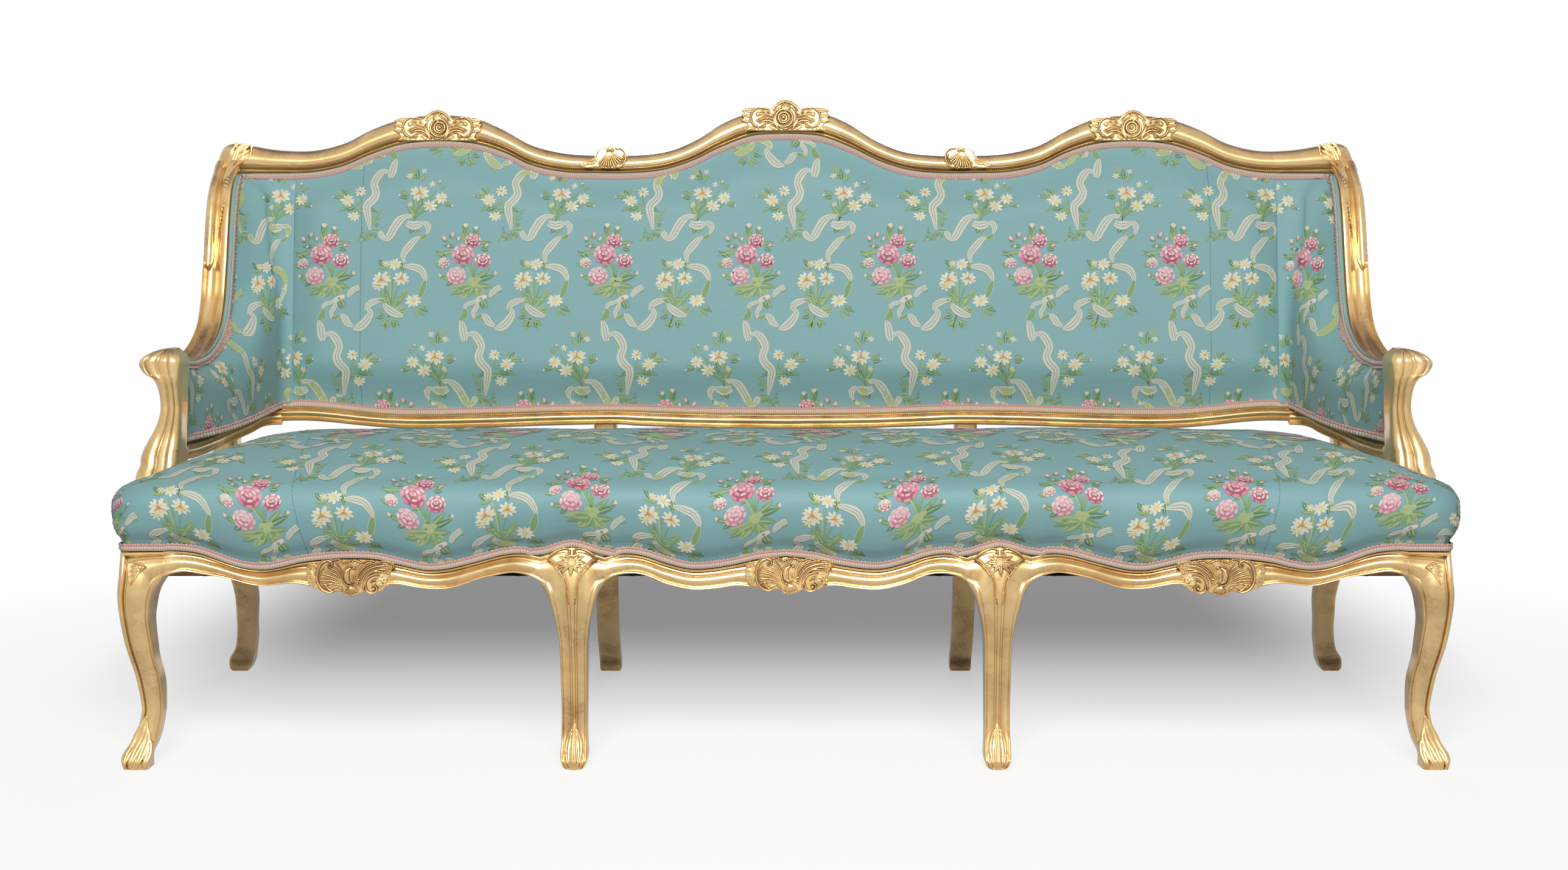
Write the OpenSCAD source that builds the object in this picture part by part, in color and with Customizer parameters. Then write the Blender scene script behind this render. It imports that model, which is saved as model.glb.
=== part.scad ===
// Wing-backed cabriole sofa with a carved gilt frame and a fixed padded seat, back and wings.
// X runs to the sitter's left, Y to the back and Z up, with the origin on the floor in the middle.

/* [Overall] */
// Width over the bulging sides of the seat
overall_w = 2090; // [1900:1:2400]
// Depth from the front of the seat to the heels of the rear legs
overall_d = 888; // [800:1:980]
// Height of the middle crest carving above the floor
overall_h = 1052; // [1020:1:1120]

/* [Seat frame] */
// Distance between the middles of the two inner front legs
inner_leg_spread = 654; // [560:1:740]
// Height of the flat top of the seat frame, on which the springing is nailed
deck_h = 309; // [300:1:330]
// Height of the knees of the front legs above the deck
knee_h = 36; // [26:1:56]
// Drop of the wavy front rail's lowest edge below the deck
rail_low_h = 34; // [24:1:47]
// Thickness of the front rail from front to back
rail_thick = 48; // [42:1:56]
// Thickness of its raised moulded band
band_thick = 25; // [20:1:28]
// Thickness of the side and rear rails
side_rail_thick = 44; // [36:1:50]
// Drop of the underside of the side, rear and cross rails below the deck
rail_under_h = 47; // [29:1:59]
// Width of the cross rails below the seat
cross_rail_w = 40; // [30:1:50]
// Length of the sides of the corner blocks
block_size = 90; // [60:1:110]
// Height of the corner blocks
block_h = 14; // [10:1:24]

/* [Legs] */
// Half width of a front leg at its knee
knee_half_w = 50; // [42:1:56]
// Width of the plain inner rear legs and their uprights
inner_post_w = 40; // [32:1:48]

/* [Back and wings] */
// Slope of the back from the upright, in degrees
rake = 9; // [5:1:12]
// Distance from the front rail's face to the back frame at its foot
back_set = 620; // [590:1:650]
// Height of that foot above the deck
back_foot_h = 191; // [181:1:211]
// Thickness of the back frame
back_thick = 38; // [30:1:46]
// Drop of the crest rail's underside in the valleys below the top of the middle crest
crest_low_h = 128; // [102:1:152]
// Step of the crest rail in front of the back frame
crest_step = 8; // [4:1:12]
// Thickness of the moulded bottom rail of the back
bottom_rail_thick = 20; // [14:1:24]
// Thickness of the wing boards across the sofa
wing_board = 44; // [36:1:48]
// Width of the wing boards seen from the side
wing_rail_w = 42; // [34:1:48]
// Height of the top of the arms above the deck
arm_h = 308; // [291:1:331]

/* [Upholstery] */
// Height of the crown of the seat above the deck
seat_h = 191; // [171:1:211]
// Overhang of the seat past the side rails
side_overhang = 25; // [15:1:40]
// Overhang of the seat past the front rail
front_overhang = 31; // [20:1:40]
// Crown of the padded back
back_crown = 35; // [24:1:44]
// Thickness of the padding where the wings meet the back
wing_swell = 71; // [50:1:80]
// Width of the gimp braid
gimp_w = 11; // [8:1:14]
// Thickness of the gimp braid
gimp_thick = 3; // [2:0.5:3.5]
// Thickness of the hessian and the lining cloths
cloth_thick = 1.5; // [1:0.1:2]
// Width of a webbing strap
strap_w = 50; // [40:1:60]
// Diameter of a seat spring at its ends
spring_d = 84; // [60:1:90]

/* [Carving] */
// Width of the shell carvings on the front rail
rail_carving_w = 144; // [110:1:170]
// Width of the crest carvings
crest_carving_w = 158; // [120:1:180]
// Width of the small shells in the valleys of the crest
valley_shell_w = 89; // [70:1:110]
// Relief of the carvings
relief = 8; // [5:1:11]

/* [Hidden] */
clear = 0.3;
over = 1;
back_inset = 4;
strap_thick = 1.7;
tack_d = 9;
tack_h = 1.2;
spring_wall = 3;
hessian_wall = 2;

rail_half = overall_w / 2 - side_overhang;
knee_z = deck_h + knee_h;
rail_low_z = deck_h - rail_low_h;
rail_under_z = deck_h - rail_under_h;
seat_z = deck_h + seat_h;
back_foot_z = deck_h + back_foot_h;
arm_z = deck_h + arm_h;
crest_low_z = overall_h - crest_low_h;
rail_y = front_overhang - overall_d / 2;
frame_d = overall_d - front_overhang;
back_share = 0.72346;
side_d = back_set / back_share;
leg_x = inner_leg_spread / 2;
corner_x = rail_half - knee_half_w * 0.5;
back_half = rail_half - back_inset;
wing_in = back_half - wing_board;
post_x = back_half - wing_board / 2;
rail_rise = knee_z - rail_low_z;
crest_rise = overall_h - crest_low_z;
steps = 4;

// Curve helpers: a smooth line through points, its parallel line, and outlines placed by shares

function smooth_line(p, n = steps) = [
  for (i = [0 : len(p) - 2], k = [0 : n - 1])
    let (a = p[max(i - 1, 0)], b = p[i], c = p[i + 1], d = p[min(i + 2, len(p) - 1)], t = k / n)
      (2 * b + (c - a) * t + (2 * a - 5 * b + 4 * c - d) * t * t
        + (3 * b - a - 3 * c + d) * t * t * t) / 2,
  p[len(p) - 1]];
function unit(v) = v / norm(v);
function parallel_line(p, d) = [
  for (i = [0 : len(p) - 1])
    let (t = unit(p[min(i + 1, len(p) - 1)] - p[max(i - 1, 0)])) p[i] + d * [t[1], -t[0]]];
function reversed(p) = [for (i = [len(p) - 1 : -1 : 0]) p[i]];
function placed(shares, w, h, at = [0, 0]) = [for (s = shares) [at[0] + s[0] * w, at[1] + s[1] * h]];
function both_sides(p) = concat([for (i = [len(p) - 1 : -1 : 1]) [-p[i][0], p[i][1]]], p);
function ease(t) = t <= 0 ? 0 : t >= 1 ? 1 : t * t * (3 - 2 * t);
function mix(a, b, t) = a + (b - a) * t;

// Lines of the front rail, by shares of a bay and of the rail's rise

mid_line_shares = [
  [0, 0.80], [0.123, 0.743], [0.245, 0.614], [0.368, 0.529], [0.46, 0.529], [0.567, 0.657],
  [0.66, 0.80], [0.739, 0.857], [0.804, 0.829], [0.847, 0.786]];
side_line_shares = [
  [0.075, 0.80], [0.105, 0.85], [0.134, 0.857], [0.171, 0.80], [0.231, 0.643], [0.291, 0.514],
  [0.338, 0.493], [0.392, 0.60], [0.45, 0.729], [0.509, 0.757], [0.568, 0.729], [0.626, 0.657],
  [0.667, 0.56], [0.707, 0.50], [0.748, 0.529], [0.787, 0.629], [0.826, 0.771], [0.866, 0.886],
  [0.914, 0.929], [0.937, 0.914]];
mid_under_shares = [
  [0, 0.03], [0.12, 0.06], [0.23, 0.12], [0.31, 0.07], [0.402, 0.03], [0.457, 0.043], [0.515, 0.1],
  [0.574, 0.18], [0.629, 0.30], [0.687, 0.386], [0.745, 0.40], [0.804, 0.357], [0.847, 0.243]];
side_under_shares = [
  [0.075, 0.243], [0.099, 0.357], [0.128, 0.414], [0.155, 0.40], [0.212, 0.286], [0.267, 0.1],
  [0.306, 0.043], [0.351, 0.071], [0.407, 0.157], [0.456, 0.086], [0.509, 0.03], [0.56, 0.05],
  [0.604, 0.114], [0.646, 0.18], [0.688, 0.143], [0.716, 0.121], [0.743, 0.157], [0.799, 0.3],
  [0.856, 0.386], [0.898, 0.443], [0.937, 0.357]];
bay = corner_x - leg_x;
mid_line = smooth_line(placed(mid_line_shares, leg_x, rail_rise, [0, rail_low_z]));
side_line = smooth_line(placed(side_line_shares, bay, rail_rise, [leg_x, rail_low_z]));
mid_under = smooth_line(placed(mid_under_shares, leg_x, rail_rise, [0, rail_low_z]));
side_under = smooth_line(placed(side_under_shares, bay, rail_rise, [leg_x, rail_low_z]));
line_top = mid_line[len(mid_line) - 1];
side_start = side_line[0];
side_end = side_line[len(side_line) - 1];
knee_line = concat(mid_line, [[leg_x, knee_z]], side_line, [[rail_half, side_end[1]]]);
function rail_line(x) = lookup(abs(x), knee_line);

// Extruders for boards sawn to a front view, a side view or a plan

module front_cut(points, y_from, y_to) {
  translate([0, rail_y + y_to, 0]) rotate([90, 0, 0]) linear_extrude(y_to - y_from) polygon(points);
}
module side_cut(points, x_from, x_to) {
  translate([x_from, rail_y, 0]) rotate([90, 0, 90]) linear_extrude(x_to - x_from) polygon(points);
}
module plan_cut(points, z_from, z_to) {
  translate([0, rail_y, z_from]) linear_extrude(z_to - z_from) polygon(points);
}
module raked(n_from, n_to, points) {
  translate([0, rail_y + back_set, back_foot_z]) rotate([90 - rake, 0, 0])
    translate([0, 0, -n_to]) linear_extrude(n_to - n_from) polygon(points);
}
module left() {
  mirror([1, 0, 0]) children();
}
function slope(z) = (z - back_foot_z) / cos(rake);
function back_at(h, n) = [
  back_set + h * sin(rake) + n * cos(rake), back_foot_z + h * cos(rake) - n * sin(rake)];

// Front legs

knee_shares = [
  [0.46, 0], [0.48, 0.04], [0.41, 0.10], [0.40, 0.174], [0.40, 0.278], [0.41, 0.388],
  [0.42, 0.499], [0.44, 0.58], [0.52, 0.664], [0.64, 0.736], [0.76, 0.788], [1, 0.845]];
corner_outer_shares = [
  [0.54, 0], [0.60, 0.055], [0.38, 0.11], [0.18, 0.165], [0.06, 0.232], [0.04, 0.278],
  [0.16, 0.388], [0.24, 0.443], [0.44, 0.554], [0.54, 0.664], [0.58, 0.774], [0.52, 0.87]];
corner_inner_shares = [
  [-0.24, 0], [-0.24, 0.055], [-0.42, 0.11], [-0.54, 0.165], [-0.62, 0.232], [-0.64, 0.278],
  [-0.62, 0.388], [-0.46, 0.499], [-0.42, 0.554], [-0.36, 0.664], [-0.40, 0.725], [-0.46, 0.774],
  [-0.58, 0.817], [-0.84, 0.87]];
leg_front_shares = [
  [-0.23, 0], [-0.27, 0.035], [-0.10, 0.08], [0.10, 0.145], [0.19, 0.232], [0.19, 0.32],
  [0.10, 0.435], [-0.08, 0.58], [-0.27, 0.71], [-0.375, 0.812], [-0.33, 0.90], [-0.15, 0.965],
  [-0.08, 1]];
leg_rear_shares = [
  [0.69, 0], [0.73, 0.04], [0.73, 0.116], [0.81, 0.232], [0.875, 0.348], [0.875, 0.464],
  [0.854, 0.58], [0.875, 0.68], [0.96, 0.76], [1, 0.826]];
leg_side = concat(
  smooth_line(placed(leg_front_shares, rail_thick, knee_z)),
  [[band_thick, knee_z], [band_thick, deck_h], [rail_thick, deck_h]],
  reversed(smooth_line(placed(leg_rear_shares, rail_thick, knee_z))));
module front_inner_leg() {
  half = smooth_line(placed(knee_shares, knee_half_w, knee_z));
  inner_x = leg_x - mid_line[len(mid_line) - 1][0];
  outer_x = side_line[0][0] - leg_x;
  outline = concat(
    [for (p = reversed(half)) [-min(p[0], inner_x), p[1]]], [for (p = half) [min(p[0], outer_x), p[1]]],
    [[outer_x, side_start[1]], [0, knee_z], [-inner_x, line_top[1]]]);
  color("goldenrod") intersection() {
    front_cut([for (p = outline) [p[0] + leg_x, p[1]]], -rail_thick, rail_thick);
    side_cut(leg_side, leg_x - 2 * knee_half_w, leg_x + 2 * knee_half_w);
  }
}
module front_corner_leg() {
  outer = smooth_line(placed(corner_outer_shares, knee_half_w, knee_z, [corner_x, 0]));
  inner = smooth_line(placed(corner_inner_shares, knee_half_w, knee_z, [corner_x, 0]));
  outline = concat(
    outer, [[rail_half, side_end[1]], [side_end[0], side_end[1]]],
    [for (p = reversed(inner)) [max(p[0], side_end[0]), p[1]]]);
  color("goldenrod") intersection() {
    front_cut(outline, -rail_thick, rail_thick);
    side_cut(leg_side, corner_x - 2 * knee_half_w, corner_x + 2 * knee_half_w);
  }
}

// Rear legs, which run on upwards as the uprights of the back

rear_front_shares = [
  [0.951, 0], [0.945, 0.04], [0.904, 0.10], [0.848, 0.20], [0.797, 0.31], [0.743, 0.46],
  [0.718, 0.60], [0.713, 0.66], [0.715, 0.86]];
rear_back_shares = [
  [1, 0], [0.995, 0.04], [0.949, 0.10], [0.893, 0.20], [0.844, 0.31], [0.807, 0.40],
  [0.778, 0.52], [0.762, 0.66], [0.760, 0.80]];
rear_outer_shares = [
  [0.98, 0], [1.05, 0.016], [0.98, 0.05], [0.57, 0.102], [0.30, 0.18], [0.18, 0.24],
  [0.07, 0.32], [0.12, 0.40], [0.30, 0.52], [0.5, 0.66]];
rear_inner_shares = [
  [0.22, 0], [0.0, 0.04], [-0.22, 0.09], [-0.43, 0.15], [-0.58, 0.22], [-0.80, 0.32],
  [-0.82, 0.40], [-0.66, 0.52], [-0.5, 0.66]];
// The upper end of a rear leg keeps with the back, and its foot with the depth of the whole sofa
function raked_leg(shares) = [for (q = shares) [
  q[0] * side_d + (frame_d - side_d) * max(0, (q[0] - back_share) / (1 - back_share)), q[1] * back_foot_z]];
function rear_side(z_top) = concat(
  smooth_line(raked_leg(rear_front_shares)),
  [back_at(0, 0), back_at(slope(z_top), 0), back_at(slope(z_top), back_thick), back_at(0, back_thick)],
  reversed(smooth_line(raked_leg(rear_back_shares))));
module rear_corner_leg() {
  outline = concat(
    smooth_line(placed(rear_outer_shares, wing_board, back_foot_z, [post_x, 0])),
    [[back_half, overall_h], [wing_in, overall_h]],
    reversed(smooth_line(placed(rear_inner_shares, wing_board, back_foot_z, [post_x, 0]))));
  color("darkgoldenrod") intersection() {
    front_cut(outline, frame_d / 2, frame_d + over);
    side_cut(rear_side(crest_low_z), post_x - 2 * wing_board, post_x + 2 * wing_board);
  }
}
module rear_inner_leg() {
  color("darkgoldenrod")
    side_cut(rear_side(crest_low_z - 2 * clear), leg_x - inner_post_w / 2, leg_x + inner_post_w / 2);
}

// Seat rails

module front_rail_side() {
  outline = concat(side_line, reversed(side_under));
  color("gold") {
    front_cut(outline, 0, band_thick);
    intersection() {
      front_cut(outline, band_thick, rail_thick);
      translate([0, -overall_d, 0]) cube([overall_w, 2 * overall_d, deck_h]);
    }
  }
}
module front_rail_middle() {
  outline = concat(both_sides(mid_line), reversed(both_sides(mid_under)));
  color("gold") {
    front_cut(outline, 0, band_thick);
    intersection() {
      front_cut(outline, band_thick, rail_thick);
      translate([-overall_w / 2, -overall_d, 0]) cube([overall_w, 2 * overall_d, deck_h]);
    }
  }
}
post_front = side_d * 0.711;
side_end_y = post_front;
side_under_rise_shares = [
  [0.056, 0.64], [0.12, 0.6], [0.23, 0.4], [0.35, 0.16], [0.45, 0.06], [0.58, 0.2], [0.66, 0.1], [0.715, 0]];
module side_rail() {
  band = band_thick * 0.8;
  outer_plan = [
    [rail_half - side_rail_thick, rail_thick], [rail_half, rail_thick],
    [back_half, side_end_y], [back_half - side_rail_thick, side_end_y]];
  band_plan = [
    [rail_half - band, rail_thick], [rail_half, rail_thick], [back_half, side_end_y],
    [back_half - band, side_end_y]];
  under = smooth_line(placed(side_under_rise_shares, side_d, deck_h - rail_under_z, [0, rail_under_z]));
  color("goldenrod") {
    intersection() {
      plan_cut(outer_plan, rail_under_z, deck_h);
      side_cut(concat(under, [[side_end_y, overall_h], [0, overall_h]]), 0, overall_w);
    }
    plan_cut(band_plan, deck_h, side_end[1]);
  }
}
rear_rail_y = side_d * 0.69;
rear_rail_back = side_d * 0.745;
rear_rail_end = post_x - wing_board * 0.67;
module rear_rail(x_from, x_to) {
  color("burlywood") plan_cut(
    [[x_from, rear_rail_y], [x_to, rear_rail_y], [x_to, rear_rail_back], [x_from, rear_rail_back]],
    rail_under_z, deck_h);
}
module cross_rail() {
  color("burlywood") plan_cut(
    [[leg_x - cross_rail_w / 2, rail_thick], [leg_x + cross_rail_w / 2, rail_thick],
     [leg_x + cross_rail_w / 2, rear_rail_y], [leg_x - cross_rail_w / 2, rear_rail_y]],
    rail_under_z, deck_h);
}
module corner_block_pair() {
  front_x = rail_half - side_rail_thick - clear;
  side_x = mix(rail_half, back_half, block_size / side_end_y) - side_rail_thick - clear;
  plan_cut([[front_x, rail_thick], [side_x, rail_thick + block_size], [front_x - block_size, rail_thick]],
    deck_h - block_h, deck_h);
  rear_x = back_half - side_rail_thick - clear;
  plan_cut([[rear_x, rear_rail_y], [rear_x, rear_rail_y - block_size], [rear_x - block_size, rear_rail_y]],
    deck_h - block_h, deck_h);
}
module corner_blocks() {
  color("burlywood") {
    corner_block_pair();
    left() corner_block_pair();
  }
}

// Back frame

crest_top_shares = [
  [0, 0.906], [0.059, 0.867], [0.109, 0.719], [0.158, 0.477], [0.208, 0.32], [0.267, 0.266],
  [0.337, 0.266], [0.391, 0.297], [0.446, 0.406], [0.495, 0.617], [0.545, 0.773], [0.609, 0.828],
  [0.673, 0.773], [0.728, 0.625], [0.777, 0.43], [0.832, 0.328], [0.891, 0.336], [0.941, 0.398],
  [0.970, 0.43], [0.990, 0.36], [1, 0.14], [1, 0]];
crest_under_shares = [
  [0, 0.547], [0.059, 0.516], [0.114, 0.359], [0.163, 0.172], [0.213, 0.047], [0.267, 0],
  [0.337, 0], [0.391, 0.016], [0.446, 0.109], [0.495, 0.289], [0.545, 0.406], [0.609, 0.445],
  [0.673, 0.398], [0.728, 0.258], [0.777, 0.094], [0.832, 0.008], [0.891, 0], [0.956, 0]];
slope_rise = crest_rise / cos(rake);
crest_top = smooth_line(placed(crest_top_shares, back_half, slope_rise, [0, slope(crest_low_z)]));
crest_under = smooth_line(placed(crest_under_shares, back_half, slope_rise, [0, slope(crest_low_z)]));
module crest_rail() {
  color("gold") raked(-crest_step, back_thick,
    concat(both_sides(crest_top), reversed(both_sides(crest_under))));
}
bottom_line_shares = [
  [0, -0.02], [0.137, -0.01], [0.22, 0.016], [0.302, 0.042], [0.412, 0.028], [0.52, -0.008],
  [0.633, -0.036], [0.74, -0.008], [0.852, 0.038], [0.886, 0.042]];
bottom_under_shares = [
  [0, -0.13], [0.137, -0.12], [0.25, -0.08], [0.302, -0.062], [0.412, -0.08], [0.52, -0.12],
  [0.633, -0.142], [0.74, -0.098], [0.852, -0.066], [0.886, -0.064]];
bottom_unit = back_half - wing_board / 4;
bottom_rise = back_foot_z / 2;
bottom_line = smooth_line(placed(bottom_line_shares, bottom_unit, bottom_rise));
bottom_under = smooth_line(placed(bottom_under_shares, bottom_unit, bottom_rise));
bottom_end = bottom_line[len(bottom_line) - 1];
module back_bottom_rail() {
  color("gold") raked(-bottom_rail_thick, 0,
    concat(both_sides(bottom_line), reversed(both_sides(bottom_under))));
}

// Wings and arms

wing_rise = crest_low_z - arm_z;
wing_line_shares = [
  [0.728, 0.935], [0.703, 0.827], [0.684, 0.694], [0.668, 0.554], [0.650, 0.414], [0.629, 0.277],
  [0.592, 0.149], [0.523, 0.058], [0.438, 0.003], [0.350, -0.012], [0.290, -0.007], [0.216, 0.01]];
wing_join = back_at(slope(crest_low_z) + wing_board / 2, -crest_step - clear / 3);
wing_line = smooth_line(concat([wing_join], placed(wing_line_shares, side_d, wing_rise, [0, arm_z])));
module wing_rail() {
  crest_h = slope(crest_low_z) - clear;
  low_join = back_at(crest_h - wing_board, -clear / 3);
  front_end = wing_line[len(wing_line) - 1][0];
  inner = [for (p = parallel_line(wing_line, -wing_rail_w)) if (p[1] < low_join[1]) [max(p[0], front_end), p[1]]];
  color("gold") side_cut(concat(wing_line, reversed(inner),
    [low_join, back_at(crest_h, -clear / 3), back_at(crest_h, -crest_step - clear / 3)]), wing_in, back_half);
}
support_outer_shares = [
  [-0.26, 1.082], [0.18, 1.069], [0.5, 1.01], [0.32, 0.957], [0.0, 0.927], [-0.16, 0.866],
  [-0.18, 0.774], [-0.02, 0.689], [0.26, 0.613], [0.5, 0.54], [0.54, 0.485], [0.68, 0.43],
  [0.7, 0.29], [0.5, 0.107]];
support_inner_shares = [
  [-1.0, 1.08], [-1.06, 1.01], [-1.0, 0.91], [-0.96, 0.76], [-0.9, 0.61], [-0.86, 0.43],
  [-0.82, 0.27], [-0.72, 0.107]];
support_front_shares = [
  [0.10, 1.082], [-0.02, 1.05], [-0.05, 0.95], [0.04, 0.87], [0.12, 0.78], [0.10, 0.66],
  [0.0, 0.56], [-0.12, 0.45], [-0.18, 0.35], [-0.14, 0.22], [-0.08, 0.107]];
support_rear_shares = [
  [0.86, 1.082], [0.87, 0.93], [0.84, 0.83], [0.84, 0.73], [0.86, 0.66], [1.03, 0.605],
  [1.06, 0.56], [1.06, 0.45], [1.15, 0.3], [1.12, 0.107]];
support_set = side_d * 0.13;
support_rise = arm_z - deck_h;
support_deep = wing_board * 1.9;
module arm_support() {
  foot = side_end[1];
  front_outline = concat(
    smooth_line(placed(support_outer_shares, wing_board, support_rise, [back_half - wing_board / 2, deck_h])),
    reversed(smooth_line(placed(support_inner_shares, wing_board, support_rise,
      [back_half - wing_board / 2, deck_h]))));
  side_outline = concat(
    smooth_line(placed(support_front_shares, support_deep, support_rise, [support_set, deck_h])),
    reversed(smooth_line(placed(support_rear_shares, support_deep, support_rise, [support_set, deck_h]))));
  color("gold") intersection() {
    front_cut(front_outline, 0, side_d / 2);
    side_cut(side_outline, back_half - 3 * wing_board, back_half + 2 * wing_board);
    translate([0, -overall_d, foot]) cube([overall_w, 2 * overall_d, overall_h]);
    wing_clearance();
  }
}
module wing_clearance() {
  wing_front = wing_line[len(wing_line) - 1][0] - clear;
  side_cut([[0, 0], [0, overall_h], [wing_front, overall_h], [wing_front, wing_foot_h - clear],
    [side_d / 2, wing_foot_h - clear], [side_d / 2, 0]], 0, overall_w);
}

// Wing bottom rails, which sweep round into the bottom rail of the back

low_top_shares = [
  [0.235, -0.026], [0.27, -0.036], [0.35, -0.042], [0.467, -0.044], [0.583, -0.04], [0.653, -0.016],
  [0.69, 0.01], [0.73, 0.022]];
low_under_shares = [
  [0.235, -0.076], [0.27, -0.086], [0.35, -0.094], [0.467, -0.096], [0.583, -0.09], [0.653, -0.066],
  [0.69, -0.042], [0.73, -0.034]];
module wing_bottom_rail() {
  low_end = bottom_end[0];
  low_start = support_set + 1.06 * support_deep + clear;
  plan = concat(
    [[wing_in - wing_board * 0.15, low_start], [wing_in - wing_board * 0.15, side_d * 0.53]],
    [[wing_in - wing_board * 0.28, side_d * 0.60], [wing_in - wing_board * 0.8, side_d * 0.655],
     [mix(low_end, wing_in, 0.3), side_d * 0.691], [low_end, side_d * 0.70]],
    [[low_end, side_d * 0.722], [mix(low_end, wing_in, 0.5), side_d * 0.716],
     [wing_in - clear, side_d * 0.70],
     [wing_in + wing_board * 0.45, side_d * 0.65], [wing_in + wing_board * 0.7, side_d * 0.55],
     [wing_in + wing_board * 0.7, low_start]]);
  color("gold") intersection() {
    plan_cut(plan, deck_h, overall_h);
    side_cut(concat(
      smooth_line(placed(low_top_shares, side_d, back_foot_z, [0, back_foot_z])),
      reversed(smooth_line(placed(low_under_shares, side_d, back_foot_z, [0, back_foot_z])))),
      0, overall_w);
  }
}

// Carvings: a lobed shell plate with fan ribs and a raised boss

module shell_carving(w, h, lobes) {
  outline = [for (i = [0 : 6 * lobes - 1])
    let (a = 360 * i / (6 * lobes), swell = 0.9 + 0.1 * abs(cos(lobes * a / 2)))
      [w / 2 * swell * cos(a), h / 2 * swell * sin(a)]];
  linear_extrude(relief / 2) polygon(outline);
  for (a = [20 : 20 : 160])
    rotate(a) translate([h * 0.12, 0, relief / 2]) rotate([0, 90, 0])
      cylinder(h = h * 0.24, r = relief / 4, $fn = 24);
  translate([0, 0, relief / 2]) intersection() {
    cylinder(h = relief / 2, r = h * 0.16, $fn = 48);
    translate([0, 0, relief / 2 - h * 0.3]) sphere(r = h * 0.3, $fn = 48);
  }
}
module on_rail(x, z) {
  translate([x, rail_y, z]) rotate([90, 0, 0]) children();
}
module on_crest(x, h) {
  translate([0, rail_y + back_set, back_foot_z]) rotate([90 - rake, 0, 0])
    translate([x, h, crest_step]) children();
}
rail_carving_h = rail_carving_w * 0.38;
rail_carving_z = rail_low_z + rail_rise * 0.34;
side_carving_x = mix(leg_x, corner_x, 0.509);
crest_carving_h = crest_carving_w * 0.34;
crest_top_h = slope(overall_h);
side_crest_x = back_half * 0.609;
module flower(r, petals) {
  outline = [for (i = [0 : 8 * petals - 1])
    let (a = 360 * i / (8 * petals)) r * (0.62 + 0.38 * abs(cos(petals * a / 2))) * [cos(a), sin(a)]];
  linear_extrude(relief / 2) polygon(outline);
  cylinder(h = relief * 0.75, r = r * 0.3, $fn = 32);
}
knee_front = rail_thick * 0.38;
module knee_flowers() {
  spot = knee_z * 0.86;
  color("gold") for (side = [-1, 1])
    translate([side * leg_x, rail_y - knee_front, spot]) rotate([90, 0, 0]) flower(knee_half_w * 0.52, 9);
}
module corner_leaves() {
  leaf_shares = [
    [-0.1, 0.885], [0.3, 0.82], [0.52, 0.80], [0.46, 0.86], [0.38, 0.93], [0.1, 0.955], [-0.2, 0.94]];
  outline = smooth_line(placed(leaf_shares, knee_half_w, knee_z, [corner_x, 0]), 3);
  color("gold") for (side = [0, 1]) mirror([side, 0, 0])
    front_cut(outline, -knee_front - relief / 2, -knee_front);
}

// Springing under the seat

web_top = deck_h + strap_thick;
spring_top = seat_z * 0.80;
springing_x = rail_half - side_rail_thick - block_size / 3;
springing_front = rail_thick + strap_thick;
springing_rear = rear_rail_y - strap_thick;
module seat_webbing() {
  span_x = back_half - side_rail_thick * 0.6;
  front_y = band_thick + 2 * clear;
  color("tan") {
    for (y = [springing_front + strap_w * 0.6 : strap_w * 1.8 : springing_rear])
      translate([-span_x, rail_y + y - strap_w / 2, deck_h]) cube([2 * span_x, strap_w, strap_thick]);
    for (k = [-9 : 9])
      translate([k * strap_w * 2 - strap_w / 2, rail_y + front_y, deck_h])
        cube([strap_w, rear_rail_y + strap_w * 0.35 - front_y, strap_thick]);
  }
}
module spring(h) {
  color("silver") rotate_extrude($fn = 32) polygon([
    [spring_d / 2, 0], [spring_d / 3, h / 2], [spring_d / 2, h],
    [spring_d / 2 - spring_wall, h], [spring_d / 3 - spring_wall, h / 2], [spring_d / 2 - spring_wall, 0]]);
}
module seat_springs() {
  rows = 4;
  mid_edge = leg_x - cross_rail_w / 2 - spring_d;
  side_from = leg_x + cross_rail_w / 2 + spring_d;
  side_to = springing_x - spring_d;
  for (r = [0 : rows - 1]) {
    y = mix(springing_front + spring_d * 0.9, springing_rear - spring_d * 0.9, r / (rows - 1));
    for (k = [0 : 2])
      translate([mix(-mid_edge, mid_edge, k / 2), rail_y + y, web_top]) spring(spring_top - web_top);
    for (k = [0 : 4], side = [-1, 1])
      translate([side * mix(side_from, side_to, k / 4), rail_y + y, web_top]) spring(spring_top - web_top);
  }
}
module spring_hessian() {
  color("peru") difference() {
    translate([-springing_x, rail_y + springing_front, web_top])
      cube([2 * springing_x, springing_rear - springing_front, spring_top - web_top + hessian_wall]);
    translate([-springing_x + hessian_wall, rail_y + springing_front + hessian_wall, web_top - over])
      cube([2 * (springing_x - hessian_wall), springing_rear - springing_front - 2 * hessian_wall,
        spring_top - web_top + over]);
  }
}
cover_z = deck_h - block_h - cloth_thick;
cover_in = leg_x + cross_rail_w / 2;
module dust_cover() {
  z_to = cover_z + cloth_thick;
  side_plan = [[cover_in, rail_thick], [rail_half - side_rail_thick, rail_thick],
    [back_half - side_rail_thick, rear_rail_y], [cover_in, rear_rail_y]];
  mid_x = leg_x - cross_rail_w / 2;
  color("dimgray") {
    plan_cut([[-mid_x, rail_thick], [mid_x, rail_thick], [mid_x, rear_rail_y], [-mid_x, rear_rail_y]],
      cover_z, z_to);
    for (side = [0, 1]) mirror([side, 0, 0]) plan_cut(side_plan, cover_z, z_to);
  }
}
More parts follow.
